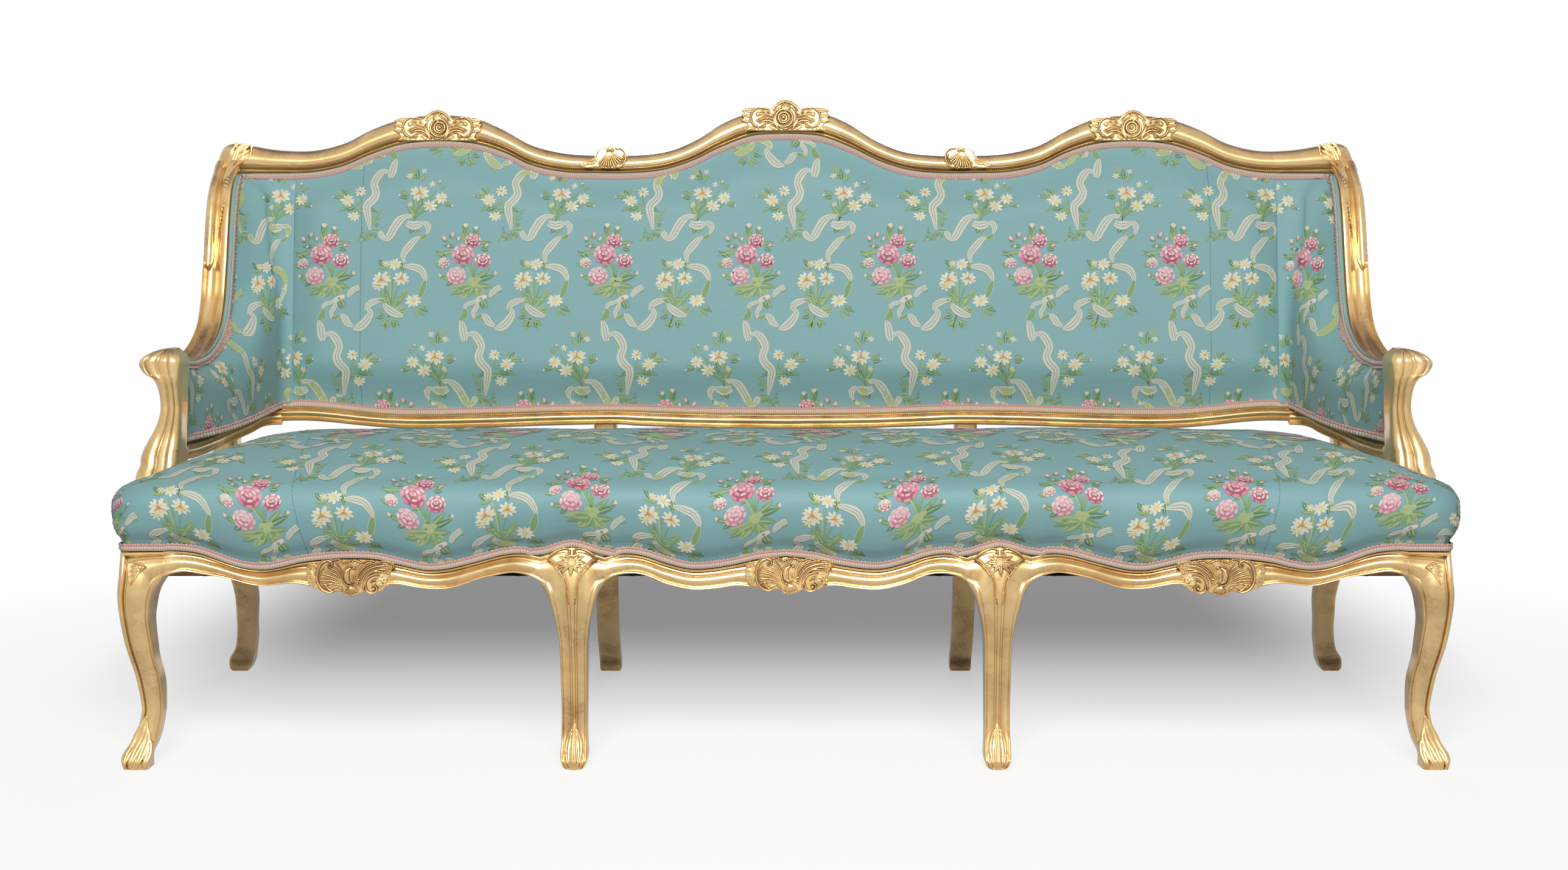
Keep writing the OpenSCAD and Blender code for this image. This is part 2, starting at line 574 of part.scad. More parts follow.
module dust_cover_tacks() {
  edge = tack_d;
  rows_y = [rail_thick + edge, rear_rail_y - edge];
  mid_to = leg_x - cross_rail_w / 2 - edge;
  side_to = back_half - side_rail_thick - edge;
  color("darkgray") for (y = rows_y) {
    for (k = [0 : 10]) tack(mix(-mid_to, mid_to, k / 10), y);
    for (k = [0 : 10], side = [-1, 1]) tack(side * mix(cover_in + edge, side_to, k / 10), y);
  }
}
module tack(x, y) {
  translate([x, rail_y + y, cover_z - tack_h]) cylinder(h = tack_h, d = tack_d, $fn = 16);
}

// Seat pad: closed rings of points, from the cavity over the springs out to the rail and up to the crown

pad_front_count = 36;
pad_side_count = 9;
pad_rear_count = 18;
pad_around = concat(
  [for (i = [0 : pad_front_count - 1]) [-1 + 2 * i / pad_front_count, -1]],
  [for (i = [0 : pad_side_count - 1]) [1, -1 + 2 * i / pad_side_count]],
  [for (i = [0 : pad_rear_count - 1]) [1 - 2 * i / pad_rear_count, 1]],
  [for (i = [0 : pad_side_count - 1]) [-1, 1 - 2 * i / pad_side_count]]);
pad_rear_y = post_front - side_overhang * 0.1 - clear;
pad_mid_y = pad_rear_y / 2;
pad_half_d = pad_rear_y / 2;
pad_line_h = rail_low_z + rail_rise * 0.757;
pad_rise = seat_z - pad_line_h;
// Each bulge ring: overhang share, rise share, share of the way to a level ring, squareness
pad_bulge_shares = [
  [0, 0, 0, 60], [0, 0.085, 0, 60], [0.45, 0.16, 0.05, 24], [0.83, 0.31, 0.2, 16], [1, 0.46, 0.45, 14],
  [0.9, 0.57, 0.75, 12], [0.45, 0.66, 1, 12]];
// Each crown ring: inset share of half the depth, rise share
pad_crown_shares = [
  [0.05, 0.72], [0.14, 0.79], [0.27, 0.865], [0.43, 0.93], [0.62, 0.975], [0.84, 0.998]];
function pad_round(s, p) = s / pow(pow(abs(s[0]), p) + pow(abs(s[1]), p), 1 / p);
function pad_width(sy) = mix(rail_half, back_half, (sy + 1) / 2);
pad_step = 2 * rail_half / pad_front_count;
function rail_high(x) = max([for (d = [-0.9 : 0.1 : 0.9]) rail_line(x + d * pad_step)]);
function pad_line(s, x) =
  s[1] <= -1 ? rail_high(x) : s[1] >= 1 && abs(s[0]) < 0.86 ? web_top + cloth_thick : side_end[1];
function pad_point(s, p, out, z) =
  let (r = pad_round(s, p), o_x = out, o_y = r[1] > 0 && out > 0 ? out * 0.1 : out * front_overhang / side_overhang)
    [r[0] * (pad_width(r[1]) + (out > 0 ? o_x : out)),
     rail_y + pad_mid_y + r[1] * (pad_half_d + (out > 0 ? o_y : out)), z];
rear_sink_share = 0.12;
side_sink_share = 0.18;
// Drop of the crown at the place c in from the edge: gentle to the rear, and under the wing rails
function pad_sink(s, c) = ease((s[1] + 0.2) / 1.2) * rear_sink_share * (1 - c) +
  ease((abs(s[0]) - 0.9) / 0.1) * ease((s[1] + 1) / 0.5) * side_sink_share * (1 - c) * (1 - c);
function bulge_ring(b) = [for (s = pad_around)
  let (line = pad_line(s, s[0] * rail_half), level = mix(line, pad_line_h, b[2]))
    pad_point(s, b[3], b[0] * side_overhang, level + clear + b[1] * pad_rise * (1 - pad_sink(s, 0)))];
function crown_ring(c) = [for (s = pad_around)
  pad_point(s, 10, -c[0] * pad_half_d,
    pad_line_h + c[1] * pad_rise * (1 - pad_sink(s, c[0])))];
function floor_ring(inset, z, p) = [for (s = pad_around) pad_point(s, p, -inset, z)];
function line_ring(inset) = [for (s = pad_around) let (q = pad_point(s, 60, -inset, 0))
  [q[0], q[1], pad_line(s, s[0] * rail_half) + clear]];
function cavity_ring(z) = [for (s = pad_around) [
  s[0] * (springing_x + clear), rail_y + mix(springing_front - clear, springing_rear + clear, (s[1] + 1) / 2),
  z]];
pad_rings = concat(
  [cavity_ring(spring_top + hessian_wall + clear), cavity_ring(web_top + clear)],
  [floor_ring(band_thick + clear, web_top + clear, 60), line_ring(band_thick + clear)],
  [for (b = pad_bulge_shares) bulge_ring(b)],
  [for (c = pad_crown_shares) crown_ring(c)]);
module ringed_solid(rings, low_centre, high_centre) {
  n = len(rings[0]);
  m = len(rings);
  points = concat([for (r = rings, p = r) p], [low_centre, high_centre]);
  sides = [for (k = [0 : m - 2], i = [0 : n - 1], h = [0, 1])
    let (a = k * n + i, b = k * n + (i + 1) % n, c = a + n, d = b + n)
      h == 0 ? [a, c, b] : [b, c, d]];
  low = [for (i = [0 : n - 1]) [i, (i + 1) % n, m * n]];
  high = [for (i = [0 : n - 1]) [(m - 1) * n + i, m * n + 1, (m - 1) * n + (i + 1) % n]];
  polyhedron(points, concat(sides, low, high), convexity = 6);
}
module seat_pad() {
  notch_in = back_half - wing_board * 1.6 - clear;
  notch_from = support_set - support_deep * 0.18 - over;
  notch_to = support_set + support_deep * 1.18 + over;
  color("cadetblue") difference() {
    ringed_solid(pad_rings,
      [0, rail_y + pad_mid_y, spring_top + hessian_wall + clear], [0, rail_y + pad_mid_y, seat_z]);
    for (side = [0, 1]) mirror([side, 0, 0])
      translate([notch_in, rail_y + notch_from, deck_h + clear / 2])
        cube([overall_w, notch_to - notch_from, seat_z]);
  }
}
module seat_gimp() {
  line = concat(
    [for (p = reversed(knee_line)) [-p[0], p[1]]], [for (p = knee_line) p]);
  upper = [for (p = reversed(line)) [p[0], p[1] + gimp_w]];
  side_plan = [
    [rail_half + clear, 0], [rail_half + clear + gimp_thick, 0],
    [back_half + clear + gimp_thick, side_end_y], [back_half + clear, side_end_y]];
  color("mistyrose") {
    front_cut(concat(line, upper), -gimp_thick - clear, -clear);
    for (side = [0, 1]) mirror([side, 0, 0]) intersection() {
      plan_cut(side_plan, side_end[1], side_end[1] + gimp_w);
      translate([0, rail_y - gimp_thick, 0]) cube([overall_w, support_set, overall_h]);
    }
    for (side = [0, 1]) mirror([side, 0, 0])
      translate([rail_half - clear, rail_y - gimp_thick - clear, side_end[1]])
        cube([2 * clear + gimp_thick, gimp_thick + clear + over, gimp_w]);
  }
}

// Back upholstery

back_pad_x = bottom_end[0] + clear;
back_columns = 40;
back_rows_shares = [0, 0, 0.04, 0.1, 0.2, 0.35, 0.5, 0.65, 0.8, 0.9, 0.96, 1, 1];
back_step = 2 * back_pad_x / back_columns;
near_shares = [-0.6, -0.3, 0, 0.3, 0.6];
function under_at(x) = min([for (d = near_shares) lookup(abs(x + d * back_step), crest_under)]) - clear;
function bottom_at(x) = max([for (d = near_shares) lookup(abs(x + d * back_step), bottom_line)]) + clear;
function back_row(x, k) =
  let (edge = k == 0 || k == len(back_rows_shares) - 1 ? 0 : gimp_w + over)
    mix(bottom_at(x) + edge, under_at(x) - edge, back_rows_shares[k]);
function pad_swell(v, u) =
  let (up = ease(min(v, 1 - v) / 0.2), out = 0.3 + 0.7 * ease((1 - abs(u)) / 0.08))
    bottom_rail_thick / 4 + (back_crown - bottom_rail_thick / 4) * up * out;
module back_pad() {
  n = len(back_rows_shares);
  front = [for (i = [0 : back_columns], k = [0 : n - 1])
    let (u = -1 + 2 * i / back_columns, x = u * back_pad_x)
      [x, back_row(x, k), pad_swell(back_rows_shares[k], u)]];
  rear = [for (i = [0 : back_columns], e = [0, 1])
    let (x = (-1 + 2 * i / back_columns) * back_pad_x) [x, e == 0 ? bottom_at(x) : under_at(x), cloth_thick]];
  r = len(front);
  faces = concat(
    [for (i = [0 : back_columns - 1], k = [0 : n - 2], h = [0, 1])
      let (a = i * n + k, b = a + 1, c = a + n, d = c + 1) h == 0 ? [a, b, c] : [b, d, c]],
    [for (i = [0 : back_columns - 1], h = [0, 1])
      let (a = r + 2 * i, b = a + 1, c = a + 2, d = a + 3) h == 0 ? [a, c, b] : [b, c, d]],
    [for (i = [0 : back_columns - 1], h = [0, 1])
      let (a = i * n, b = r + 2 * i, c = a + n, d = b + 2) h == 0 ? [a, c, b] : [b, c, d]],
    [for (i = [0 : back_columns - 1], h = [0, 1])
      let (a = i * n + n - 1, b = r + 2 * i + 1, c = a + n, d = b + 2) h == 0 ? [a, b, c] : [b, d, c]],
    [for (k = [0 : n - 2]) [k, r, k + 1]], [[n - 1, r, r + 1]],
    let (q = back_columns * n, s = r + 2 * back_columns)
      concat([for (k = [0 : n - 2]) [q + k, q + k + 1, s]], [[q + n - 1, s + 1, s]]));
  color("cadetblue") translate([0, rail_y + back_set, back_foot_z]) rotate([90 - rake, 0, 0])
    polyhedron(concat(front, rear), faces, convexity = 4);
}
module back_hessian() {
  low = slope(back_foot_z) + bottom_rise * 0.05;
  x = wing_in - clear;
  outline = concat(
    [for (p = reversed(bottom_line)) [-p[0], p[1] + clear]], [for (p = bottom_line) [p[0], p[1] + clear]],
    [[x, low], [x, slope(crest_low_z) - clear], [bottom_end[0], slope(crest_low_z) - clear]],
    [for (p = reversed(both_sides(crest_under))) if (abs(p[0]) < bottom_end[0]) [p[0], p[1] - clear]],
    [[-bottom_end[0], slope(crest_low_z) - clear], [-x, slope(crest_low_z) - clear], [-x, low]]);
  color("peru") raked(-cloth_thick, 0, outline);
}
module back_gimp() {
  face = bottom_rail_thick / 4 + clear;
  top = [for (p = both_sides(crest_under)) if (abs(p[0]) < bottom_end[0]) p];
  low = both_sides(bottom_line);
  color("mistyrose") {
    raked(-face - gimp_thick, -face,
      concat([for (p = top) [p[0], p[1] - clear]], [for (p = reversed(top)) [p[0], p[1] - clear - gimp_w]]));
    raked(-face - gimp_thick, -face,
      concat([for (p = low) [p[0], p[1] + clear]], [for (p = reversed(low)) [p[0], p[1] + clear + gimp_w]]));
  }
}
module back_outer_panel() {
  x = back_half - relief / 2;
  top = slope(crest_low_z) + crest_rise / 8;
  color("cadetblue") raked(back_thick, back_thick + cloth_thick,
    [[-x, 0], [x, 0], [x, top], [-x, top]]);
}

// Wing upholstery: rows run from the gimp on the wing rail back to the crease beside the back

wing_rows = 15;
wing_columns = 10;
wing_face = wing_in - cloth_thick;
wing_edge_x = wing_face - relief * 0.7;
wing_front_y = wing_line[len(wing_line) - 1][0] + clear;
wing_foot_h = back_foot_z - relief * 1.6;
arm_run = concat([[wing_front_y, wing_foot_h], [wing_front_y, mix(wing_foot_h, arm_z, 0.5)]],
  [for (p = parallel_line(reversed(wing_line), -clear)) if (p[1] < crest_low_z - over) p]);
function run_length(p, i = 0) = i >= len(p) - 1 ? [0] :
  let (rest = run_length(p, i + 1), d = norm(p[i + 1] - p[i])) concat([0], [for (r = rest) r + d]);
arm_lengths = run_length(arm_run);
arm_total = arm_lengths[len(arm_lengths) - 1];
function arm_point(v) = [
  lookup(v * arm_total, [for (i = [0 : len(arm_run) - 1]) [arm_lengths[i], arm_run[i][0]]]),
  lookup(v * arm_total, [for (i = [0 : len(arm_run) - 1]) [arm_lengths[i], arm_run[i][1]]])];
function crease_point(v) =
  back_at(mix(bottom_end[1] + clear, slope(crest_low_z) - over, v), -cloth_thick - clear / 3);
gimp_room = gimp_w + 4 * over;
// Length of the flat edge under the gimp, measured along a row that meets the edge at a slant
function flat_edge(v) =
  let (run = unit(arm_point(min(1, v + 0.02)) - arm_point(max(0, v - 0.02))),
       row = unit(crease_point(v) - arm_point(v)))
    gimp_room / max(0.15, abs(run[0] * row[1] - run[1] * row[0]));
function side_gap(p, a, b) =
  let (d = b - a, t = max(0, min(1, (p - a) * d / (d * d)))) norm(p - a - t * d);
function run_gap(p) = min([for (i = [1 : len(arm_run) - 1]) side_gap(p, arm_run[i - 1], arm_run[i])]);
function wing_grid(v, k) =
  let (a = arm_point(v), b = crease_point(v), l = norm(b - a), edge = flat_edge(v),
       s = k == 0 ? 0 : mix(edge, l, (k - 1) / (wing_columns - 1)),
       t = max(0, (s - edge) / (l - edge)), p = mix(a, b, s / l),
       full = wing_swell * pow(t, 1.5) + relief * 1.6 * sin(180 * t),
       swell = min(full, max(0, run_gap(p) - gimp_room)),
       dip = relief * sin(180 * s / l) * max(0, 1 - 6 * v))
    [wing_edge_x - swell * mix(0.93, 1, ease(5 * v)), rail_y + p[0], p[1] - dip];
module wing_pad() {
  inner = [for (j = [0 : wing_rows], k = [0 : wing_columns]) wing_grid(j / wing_rows, k)];
  outer = [for (p = inner) [wing_face, p[1], p[2]]];
  n = wing_columns + 1;
  r = len(inner);
  faces = concat(
    [for (j = [0 : wing_rows - 1], k = [0 : wing_columns - 1], h = [0, 1])
      let (a = j * n + k, b = a + 1, c = a + n, d = c + 1) h == 0 ? [a, c, b] : [b, c, d]],
    [for (j = [0 : wing_rows - 1], k = [0 : wing_columns - 1], h = [0, 1])
      let (a = r + j * n + k, b = a + 1, c = a + n, d = c + 1) h == 0 ? [a, b, c] : [b, d, c]],
    [for (k = [0 : wing_columns - 1], h = [0, 1])
      let (a = k, b = k + 1, c = r + k, d = r + k + 1) h == 0 ? [a, b, c] : [b, d, c]],
    [for (k = [0 : wing_columns - 1], h = [0, 1])
      let (a = wing_rows * n + k, b = a + 1, c = a + r, d = b + r) h == 0 ? [a, c, b] : [b, c, d]],
    [for (j = [0 : wing_rows - 1], h = [0, 1])
      let (a = j * n, b = a + n, c = a + r, d = b + r) h == 0 ? [a, c, b] : [b, c, d]],
    [for (j = [0 : wing_rows - 1], h = [0, 1])
      let (a = j * n + n - 1, b = a + n, c = a + r, d = b + r) h == 0 ? [a, b, c] : [b, d, c]]);
  color("cadetblue") polyhedron(concat(inner, outer), [for (f = faces) reversed(f)], convexity = 4);
}
wing_outline = concat(arm_run, [crease_point(1), crease_point(0)]);
module wing_hessian() {
  color("peru") side_cut(wing_outline, wing_face, wing_in);
}
module wing_outer_panel() {
  edge = [for (p = parallel_line(arm_run, wing_rail_w / 3)) p];
  rear = back_at(slope(crest_low_z) - over, back_thick / 2);
  low = back_at(0, back_thick / 2);
  color("cadetblue") side_cut(concat(
    [for (p = edge) if (p[0] > wing_front_y + wing_rail_w / 3 && p[1] < rear[1]) p], [rear, low,
    [wing_front_y + wing_rail_w / 3, low[1] - relief * 2]]), back_half, back_half + cloth_thick);
}
module wing_gimp() {
  near = [for (i = [2 : len(arm_run) - 1]) arm_run[i]];
  x_to = wing_edge_x - clear;
  color("mistyrose") {
    side_cut(concat(near, reversed(parallel_line(near, gimp_w))), x_to - gimp_thick, x_to);
    side_cut([[wing_front_y, wing_foot_h], [wing_front_y + gimp_w, wing_foot_h],
      [wing_front_y + gimp_w, near[0][1] - gimp_w / 2], [wing_front_y, near[0][1] - gimp_w / 2]],
      x_to - gimp_thick, x_to);
  }
}

module carving_on_crest(x, top) {
  color("gold") on_crest(x, top - crest_carving_h / 2) shell_carving(crest_carving_w, crest_carving_h, 11);
}
module carving_on_rail(x) {
  color("gold") on_rail(x, rail_carving_z) shell_carving(rail_carving_w, rail_carving_h, 12);
}
module valley_shell(x) {
  color("gold") on_crest(x, slope(crest_low_z) + crest_rise * 0.18)
    shell_carving(valley_shell_w, valley_shell_w * 0.4, 7);
}
side_crest_top = slope(crest_low_z) + slope_rise * 0.86;

left() front_corner_leg();  // front_corner_leg_left
front_corner_leg();  // front_corner_leg_right
left() front_inner_leg();  // front_inner_leg_left
front_inner_leg();  // front_inner_leg_right
left() rear_corner_leg();  // rear_corner_leg_left
rear_corner_leg();  // rear_corner_leg_right
left() rear_inner_leg();  // rear_inner_leg_left
rear_inner_leg();  // rear_inner_leg_right
left() front_rail_side();  // front_rail_left
front_rail_middle();
front_rail_side();  // front_rail_right
left() side_rail();  // side_rail_left
side_rail();  // side_rail_right
rear_rail(-rear_rail_end, -leg_x - inner_post_w / 2);  // rear_rail_left
rear_rail(-leg_x + inner_post_w / 2, leg_x - inner_post_w / 2);  // rear_rail_middle
rear_rail(leg_x + inner_post_w / 2, rear_rail_end);  // rear_rail_right
left() cross_rail();  // cross_rail_left
cross_rail();  // cross_rail_right
corner_blocks();
crest_rail();
back_bottom_rail();
left() wing_rail();  // wing_rail_left
wing_rail();  // wing_rail_right
left() arm_support();  // arm_support_left
arm_support();  // arm_support_right
left() wing_bottom_rail();  // wing_bottom_rail_left
wing_bottom_rail();  // wing_bottom_rail_right
carving_on_crest(-side_crest_x, side_crest_top);  // crest_carving_left
carving_on_crest(0, crest_top_h);  // crest_carving_middle
carving_on_crest(side_crest_x, side_crest_top);  // crest_carving_right
valley_shell(-leg_x);  // crest_shell_left
valley_shell(leg_x);  // crest_shell_right
carving_on_rail(-side_carving_x);  // rail_carving_left
carving_on_rail(0);  // rail_carving_middle
carving_on_rail(side_carving_x);  // rail_carving_right
knee_flowers();
corner_leaves();
seat_webbing();
seat_springs();
spring_hessian();
seat_pad();
seat_gimp();
dust_cover();
dust_cover_tacks();
back_hessian();
back_pad();
back_gimp();
back_outer_panel();
left() wing_hessian();  // wing_hessian_left
wing_hessian();  // wing_hessian_right
left() wing_pad();  // wing_pad_left
wing_pad();  // wing_pad_right
left() wing_gimp();  // wing_gimp_left
wing_gimp();  // wing_gimp_right
left() wing_outer_panel();  // wing_outer_panel_left
wing_outer_panel();  // wing_outer_panel_right
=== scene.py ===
import math
import random

import bpy
import numpy as np
from mathutils import Matrix, Vector


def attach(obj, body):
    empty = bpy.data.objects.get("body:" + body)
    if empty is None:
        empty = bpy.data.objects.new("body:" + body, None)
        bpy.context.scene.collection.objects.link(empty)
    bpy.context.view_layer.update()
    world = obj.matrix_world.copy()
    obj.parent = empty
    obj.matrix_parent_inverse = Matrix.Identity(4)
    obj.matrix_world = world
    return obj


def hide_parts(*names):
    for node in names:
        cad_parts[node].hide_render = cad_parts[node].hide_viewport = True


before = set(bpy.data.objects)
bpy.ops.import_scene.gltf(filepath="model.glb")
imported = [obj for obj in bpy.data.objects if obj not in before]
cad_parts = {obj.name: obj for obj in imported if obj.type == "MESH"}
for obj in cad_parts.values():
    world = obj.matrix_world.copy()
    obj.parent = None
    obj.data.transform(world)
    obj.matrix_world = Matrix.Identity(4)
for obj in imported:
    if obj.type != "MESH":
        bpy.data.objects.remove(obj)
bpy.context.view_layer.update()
print("frame loaded")

# sizes shared by the pieces, in metres, as in the part
sofa = {
    "railHalf": 1.020, "backHalf": 1.016, "wingIn": 0.972, "postX": 0.994, "railY": -0.413, "deck": 0.309,
    "lowZ": 0.275, "kneeZ": 0.345, "rise": 0.070, "legX": 0.327, "cornerX": 0.995, "kneeHalf": 0.050,
    "railThick": 0.048, "bandThick": 0.025, "footZ": 0.500, "backSet": 0.620, "rake": math.radians(9),
    "crestLow": 0.924, "height": 1.052, "armZ": 0.617, "side": 0.857, "board": 0.044, "sideTop": 0.339}
railY, railHalf, legX, kneeHalf, kneeZ, deck = (
    sofa[k] for k in ("railY", "railHalf", "legX", "kneeHalf", "kneeZ", "deck"))
backHalf, wingIn, board, footZ, crestLow, armZ = (
    sofa[k] for k in ("backHalf", "wingIn", "board", "footZ", "crestLow", "armZ"))


# lines
def smoothLine(points, steps=8):
    p = np.array(points, float)
    out = []
    for i in range(len(p) - 1):
        a, b, c, d = p[max(i - 1, 0)], p[i], p[i + 1], p[min(i + 2, len(p) - 1)]
        for k in range(steps):
            t = k / steps
            square, cube = 2 * a - 5 * b + 4 * c - d, 3 * b - a - 3 * c + d
            out.append((2 * b + (c - a) * t + square * t * t + cube * t ** 3) / 2)
    return np.array(out + [p[-1]])


def placed(shares, w, h, at=(0, 0)):
    return smoothLine([(at[0] + x * w, at[1] + z * h) for x, z in shares])


def lengths(line):
    return np.r_[0, np.cumsum(np.linalg.norm(np.diff(line, axis=0), axis=1))]


def spaced(line, count):
    line = np.array(line, float)
    d = lengths(line)
    s = np.linspace(0, d[-1], count)
    return np.stack([np.interp(s, d, line[:, k]) for k in range(line.shape[1])], 1)


def ease(t):
    t = np.clip(t, 0, 1)
    return t * t * (3 - 2 * t)


def mix(a, b, t):
    return a + (b - a) * t


def lineAt(line, x):
    return np.interp(x, line[:, 0], line[:, 1])


def heightAt(line, z):
    return np.interp(z, line[:, 1], line[:, 0])


def unit(v):
    return v / np.linalg.norm(v, axis=-1, keepdims=True).clip(1e-12)


def onBack(x, h, n):
    # a place on the sloping back: x across, h up the slope, n behind its front face
    r = sofa["rake"]
    x, h, n = np.broadcast_arrays(x, h, n)
    return np.stack([x, railY + sofa["backSet"] + h * math.sin(r) + n * math.cos(r),
                     footZ + h * math.cos(r) - n * math.sin(r)], -1)


def upSlope(z):
    return (z - footZ) / math.cos(sofa["rake"])


# making and finishing pieces
def chooseOnly(piece):
    if bpy.context.object and bpy.context.object.mode != "OBJECT":
        bpy.ops.object.mode_set(mode="OBJECT")
    bpy.ops.object.select_all(action="DESELECT")
    bpy.context.view_layer.objects.active = piece
    piece.select_set(True)


def edited(piece, *steps):
    chooseOnly(piece)
    bpy.ops.object.mode_set(mode="EDIT")
    bpy.ops.mesh.select_all(action="SELECT")
    for step in steps:
        step()
    bpy.ops.object.mode_set(mode="OBJECT")
    return piece


def closeUp(piece, reach=1e-5):
    return edited(piece, lambda: bpy.ops.mesh.remove_doubles(threshold=reach),
                  lambda: bpy.ops.mesh.fill_holes(sides=0),
                  lambda: bpy.ops.mesh.select_all(action="SELECT"),
                  lambda: bpy.ops.mesh.normals_make_consistent(inside=False))


def drawnGrid(name, rings, uv=None):
    # a grid primitive whose points are drawn out to the rings, row by row
    rings = np.asarray(rings, float)
    rows, columns = rings.shape[:2]
    bpy.ops.object.select_all(action="DESELECT")
    bpy.ops.mesh.primitive_grid_add(x_subdivisions=columns - 1, y_subdivisions=rows - 1, size=1)
    piece = bpy.context.object
    piece.name = piece.data.name = name
    piece.data.vertices.foreach_set("co", rings.reshape(-1).astype(np.float32))
    if uv is not None:
        corner = np.zeros(len(piece.data.loops), np.int32)
        piece.data.loops.foreach_get("vertex_index", corner)
        flat = np.asarray(uv, float).reshape(-1, 2)[corner]
        piece.data.uv_layers[0].data.foreach_set("uv", flat.reshape(-1).astype(np.float32))
    piece.data.update()
    return piece


def lofted(name, rings):
    # closed rings: the first point of each is repeated at its end, and both ends are capped
    rings = np.asarray(rings, float)
    rings = np.concatenate([rings, rings[:, :1]], 1)
    return closeUp(drawnGrid(name, rings))


def joined(name, pieces):
    chooseOnly(pieces[0])
    for other in pieces[1:]:
        other.select_set(True)
    bpy.ops.object.join()
    piece = bpy.context.object
    piece.name = piece.data.name = name
    return piece


def mirrored(piece, name):
    chooseOnly(piece)
    bpy.ops.object.duplicate()
    copy = bpy.context.object
    copy.name = copy.data.name = name
    copy.data.transform(Matrix.Scale(-1, 4, (1, 0, 0)))
    copy.data.flip_normals()
    return copy


def smoothed(piece, angle=38):
    chooseOnly(piece)
    bpy.ops.object.shade_smooth_by_angle(angle=math.radians(angle))
    return piece


def shadeAndHollowTone(piece, spread=3, depth=0.0010, low=0.0, topShade=0.0, lowDarkening=0.0):
    # old gilding: how far a point lies in a hollow, with a painted dark reflection added on faces that look
    # upwards and a darkening towards the bottom; kept as a number on the mesh for the finish to read
    mesh = piece.data
    count = len(mesh.vertices)
    co = np.zeros(count * 3)
    mesh.vertices.foreach_get("co", co)
    co = co.reshape(-1, 3)
    normals = np.zeros(count * 3)
    mesh.vertices.foreach_get("normal", normals)
    normals = normals.reshape(-1, 3)
    ends = np.zeros(len(mesh.edges) * 2, np.int64)
    mesh.edges.foreach_get("vertices", ends)
    ends = ends.reshape(-1, 2)
    degree = np.bincount(ends.reshape(-1), minlength=count).clip(1)[:, None]
    soft = co.copy()
    for _ in range(spread):
        total = np.zeros_like(soft)
        for axis in range(3):
            total[:, axis] = (np.bincount(ends[:, 0], soft[ends[:, 1], axis], count)
                              + np.bincount(ends[:, 1], soft[ends[:, 0], axis], count))
        soft = total / degree
    # faces that look upwards get a painted dark reflection; points low down get darker
    topShadeAndLow = topShade * np.clip((normals[:, 2] - 0.5) / 0.4, 0, 1) + lowDarkening * np.clip(1 - co[:, 2] / 0.16, 0, 1)
    tone = np.clip(((soft - co) * normals).sum(1) / depth + low + topShadeAndLow, 0, 1)
    layer = mesh.attributes.new("tone", "FLOAT", "POINT")
    layer.data.foreach_set("value", tone.astype(np.float32))
    return piece


def settle(piece, finish, slot, *nodes):
    piece.data.materials.clear()
    piece.data.materials.append(finish)
    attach(piece, "root")
    if nodes:
        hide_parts(*nodes)
    return piece


def settlePair(piece, finish, node=None, slot="gilt_wood"):
    # the mirror image on the other side, then the piece itself
    here, there = ("Right", "Left") if piece.name.endswith("Right") else ("Left", "Right")
    copy = mirrored(piece, piece.name.replace(here, there))
    for one, word in ((copy, there), (piece, here)):
        settle(one, finish, slot, *([node + "_" + word.lower()] if node else []))


# finishes
class Wire:
    # a shader socket on which sums can be written
    def __init__(self, finish, socket):
        self.finish, self.socket = finish, socket

    def __add__(self, other): return self.finish.sum("ADD", self, other)
    def __radd__(self, other): return self.finish.sum("ADD", other, self)
    def __sub__(self, other): return self.finish.sum("SUBTRACT", self, other)
    def __rsub__(self, other): return self.finish.sum("SUBTRACT", other, self)
    def __mul__(self, other): return self.finish.sum("MULTIPLY", self, other)
    def __rmul__(self, other): return self.finish.sum("MULTIPLY", other, self)
    def held(self): return self.finish.sum("ADD", self, 0.0, clamp=True)


class Nodes:
    def __init__(self, tree):
        self.tree = tree

    def node(self, kind, settings=None, sockets=None, out=0):
        made = self.tree.nodes.new("ShaderNode" + kind)
        for key, value in (settings or {}).items():
            if key == "stops":
                ramp = made.color_ramp
                while len(ramp.elements) < len(value):
                    ramp.elements.new(0.5)
                for element, (place, colour) in zip(ramp.elements, value):
                    element.position, element.color = place, (*colour, 1)
            else:
                setattr(made, key, value)
        for key, value in (sockets or {}).items():
            if isinstance(value, Wire):
                self.tree.links.new(value.socket, made.inputs[key])
            else:
                made.inputs[key].default_value = value
        return Wire(self, made.outputs[out])

    def sum(self, operation, a, b, clamp=False):
        return self.node("Math", {"operation": operation, "use_clamp": clamp}, {0: a, 1: b})


class Finish(Nodes):
    def __init__(self, name, **constants):
        self.material = bpy.data.materials.new(name)
        self.material.use_nodes = True
        super().__init__(self.material.node_tree)
        self.shader = next(n for n in self.tree.nodes if n.type == "BSDF_PRINCIPLED")
        for key, value in constants.items():
            self.shader.inputs[key.replace("_", " ")].default_value = value

    def noise(self, place, scale, detail, rough=0.5):
        return self.node("TexNoise",
                         sockets={"Vector": place, "Scale": scale, "Detail": detail, "Roughness": rough})

    def wave(self, place, way, scale, distortion, detail=2.0):
        return self.node("TexWave", {"wave_type": "BANDS", "bands_direction": way},
                         {"Vector": place, "Scale": scale, "Distortion": distortion, "Detail": detail})

    def stretched(self, place, scale):
        return self.node("Mapping", sockets={"Vector": place, "Scale": scale})

    def bump(self, strength, distance, height):
        return self.node("Bump", sockets={"Strength": strength, "Distance": distance, "Height": height})

    def blend(self, factor, a, b):
        return self.node("Mix", {"data_type": "RGBA"}, {0: factor, 6: a, 7: b}, out=2)

    def feed(self, **links):
        for key, wire in links.items():
            self.tree.links.new(wire.socket, self.shader.inputs[key.replace("_", " ")])
        return self.material


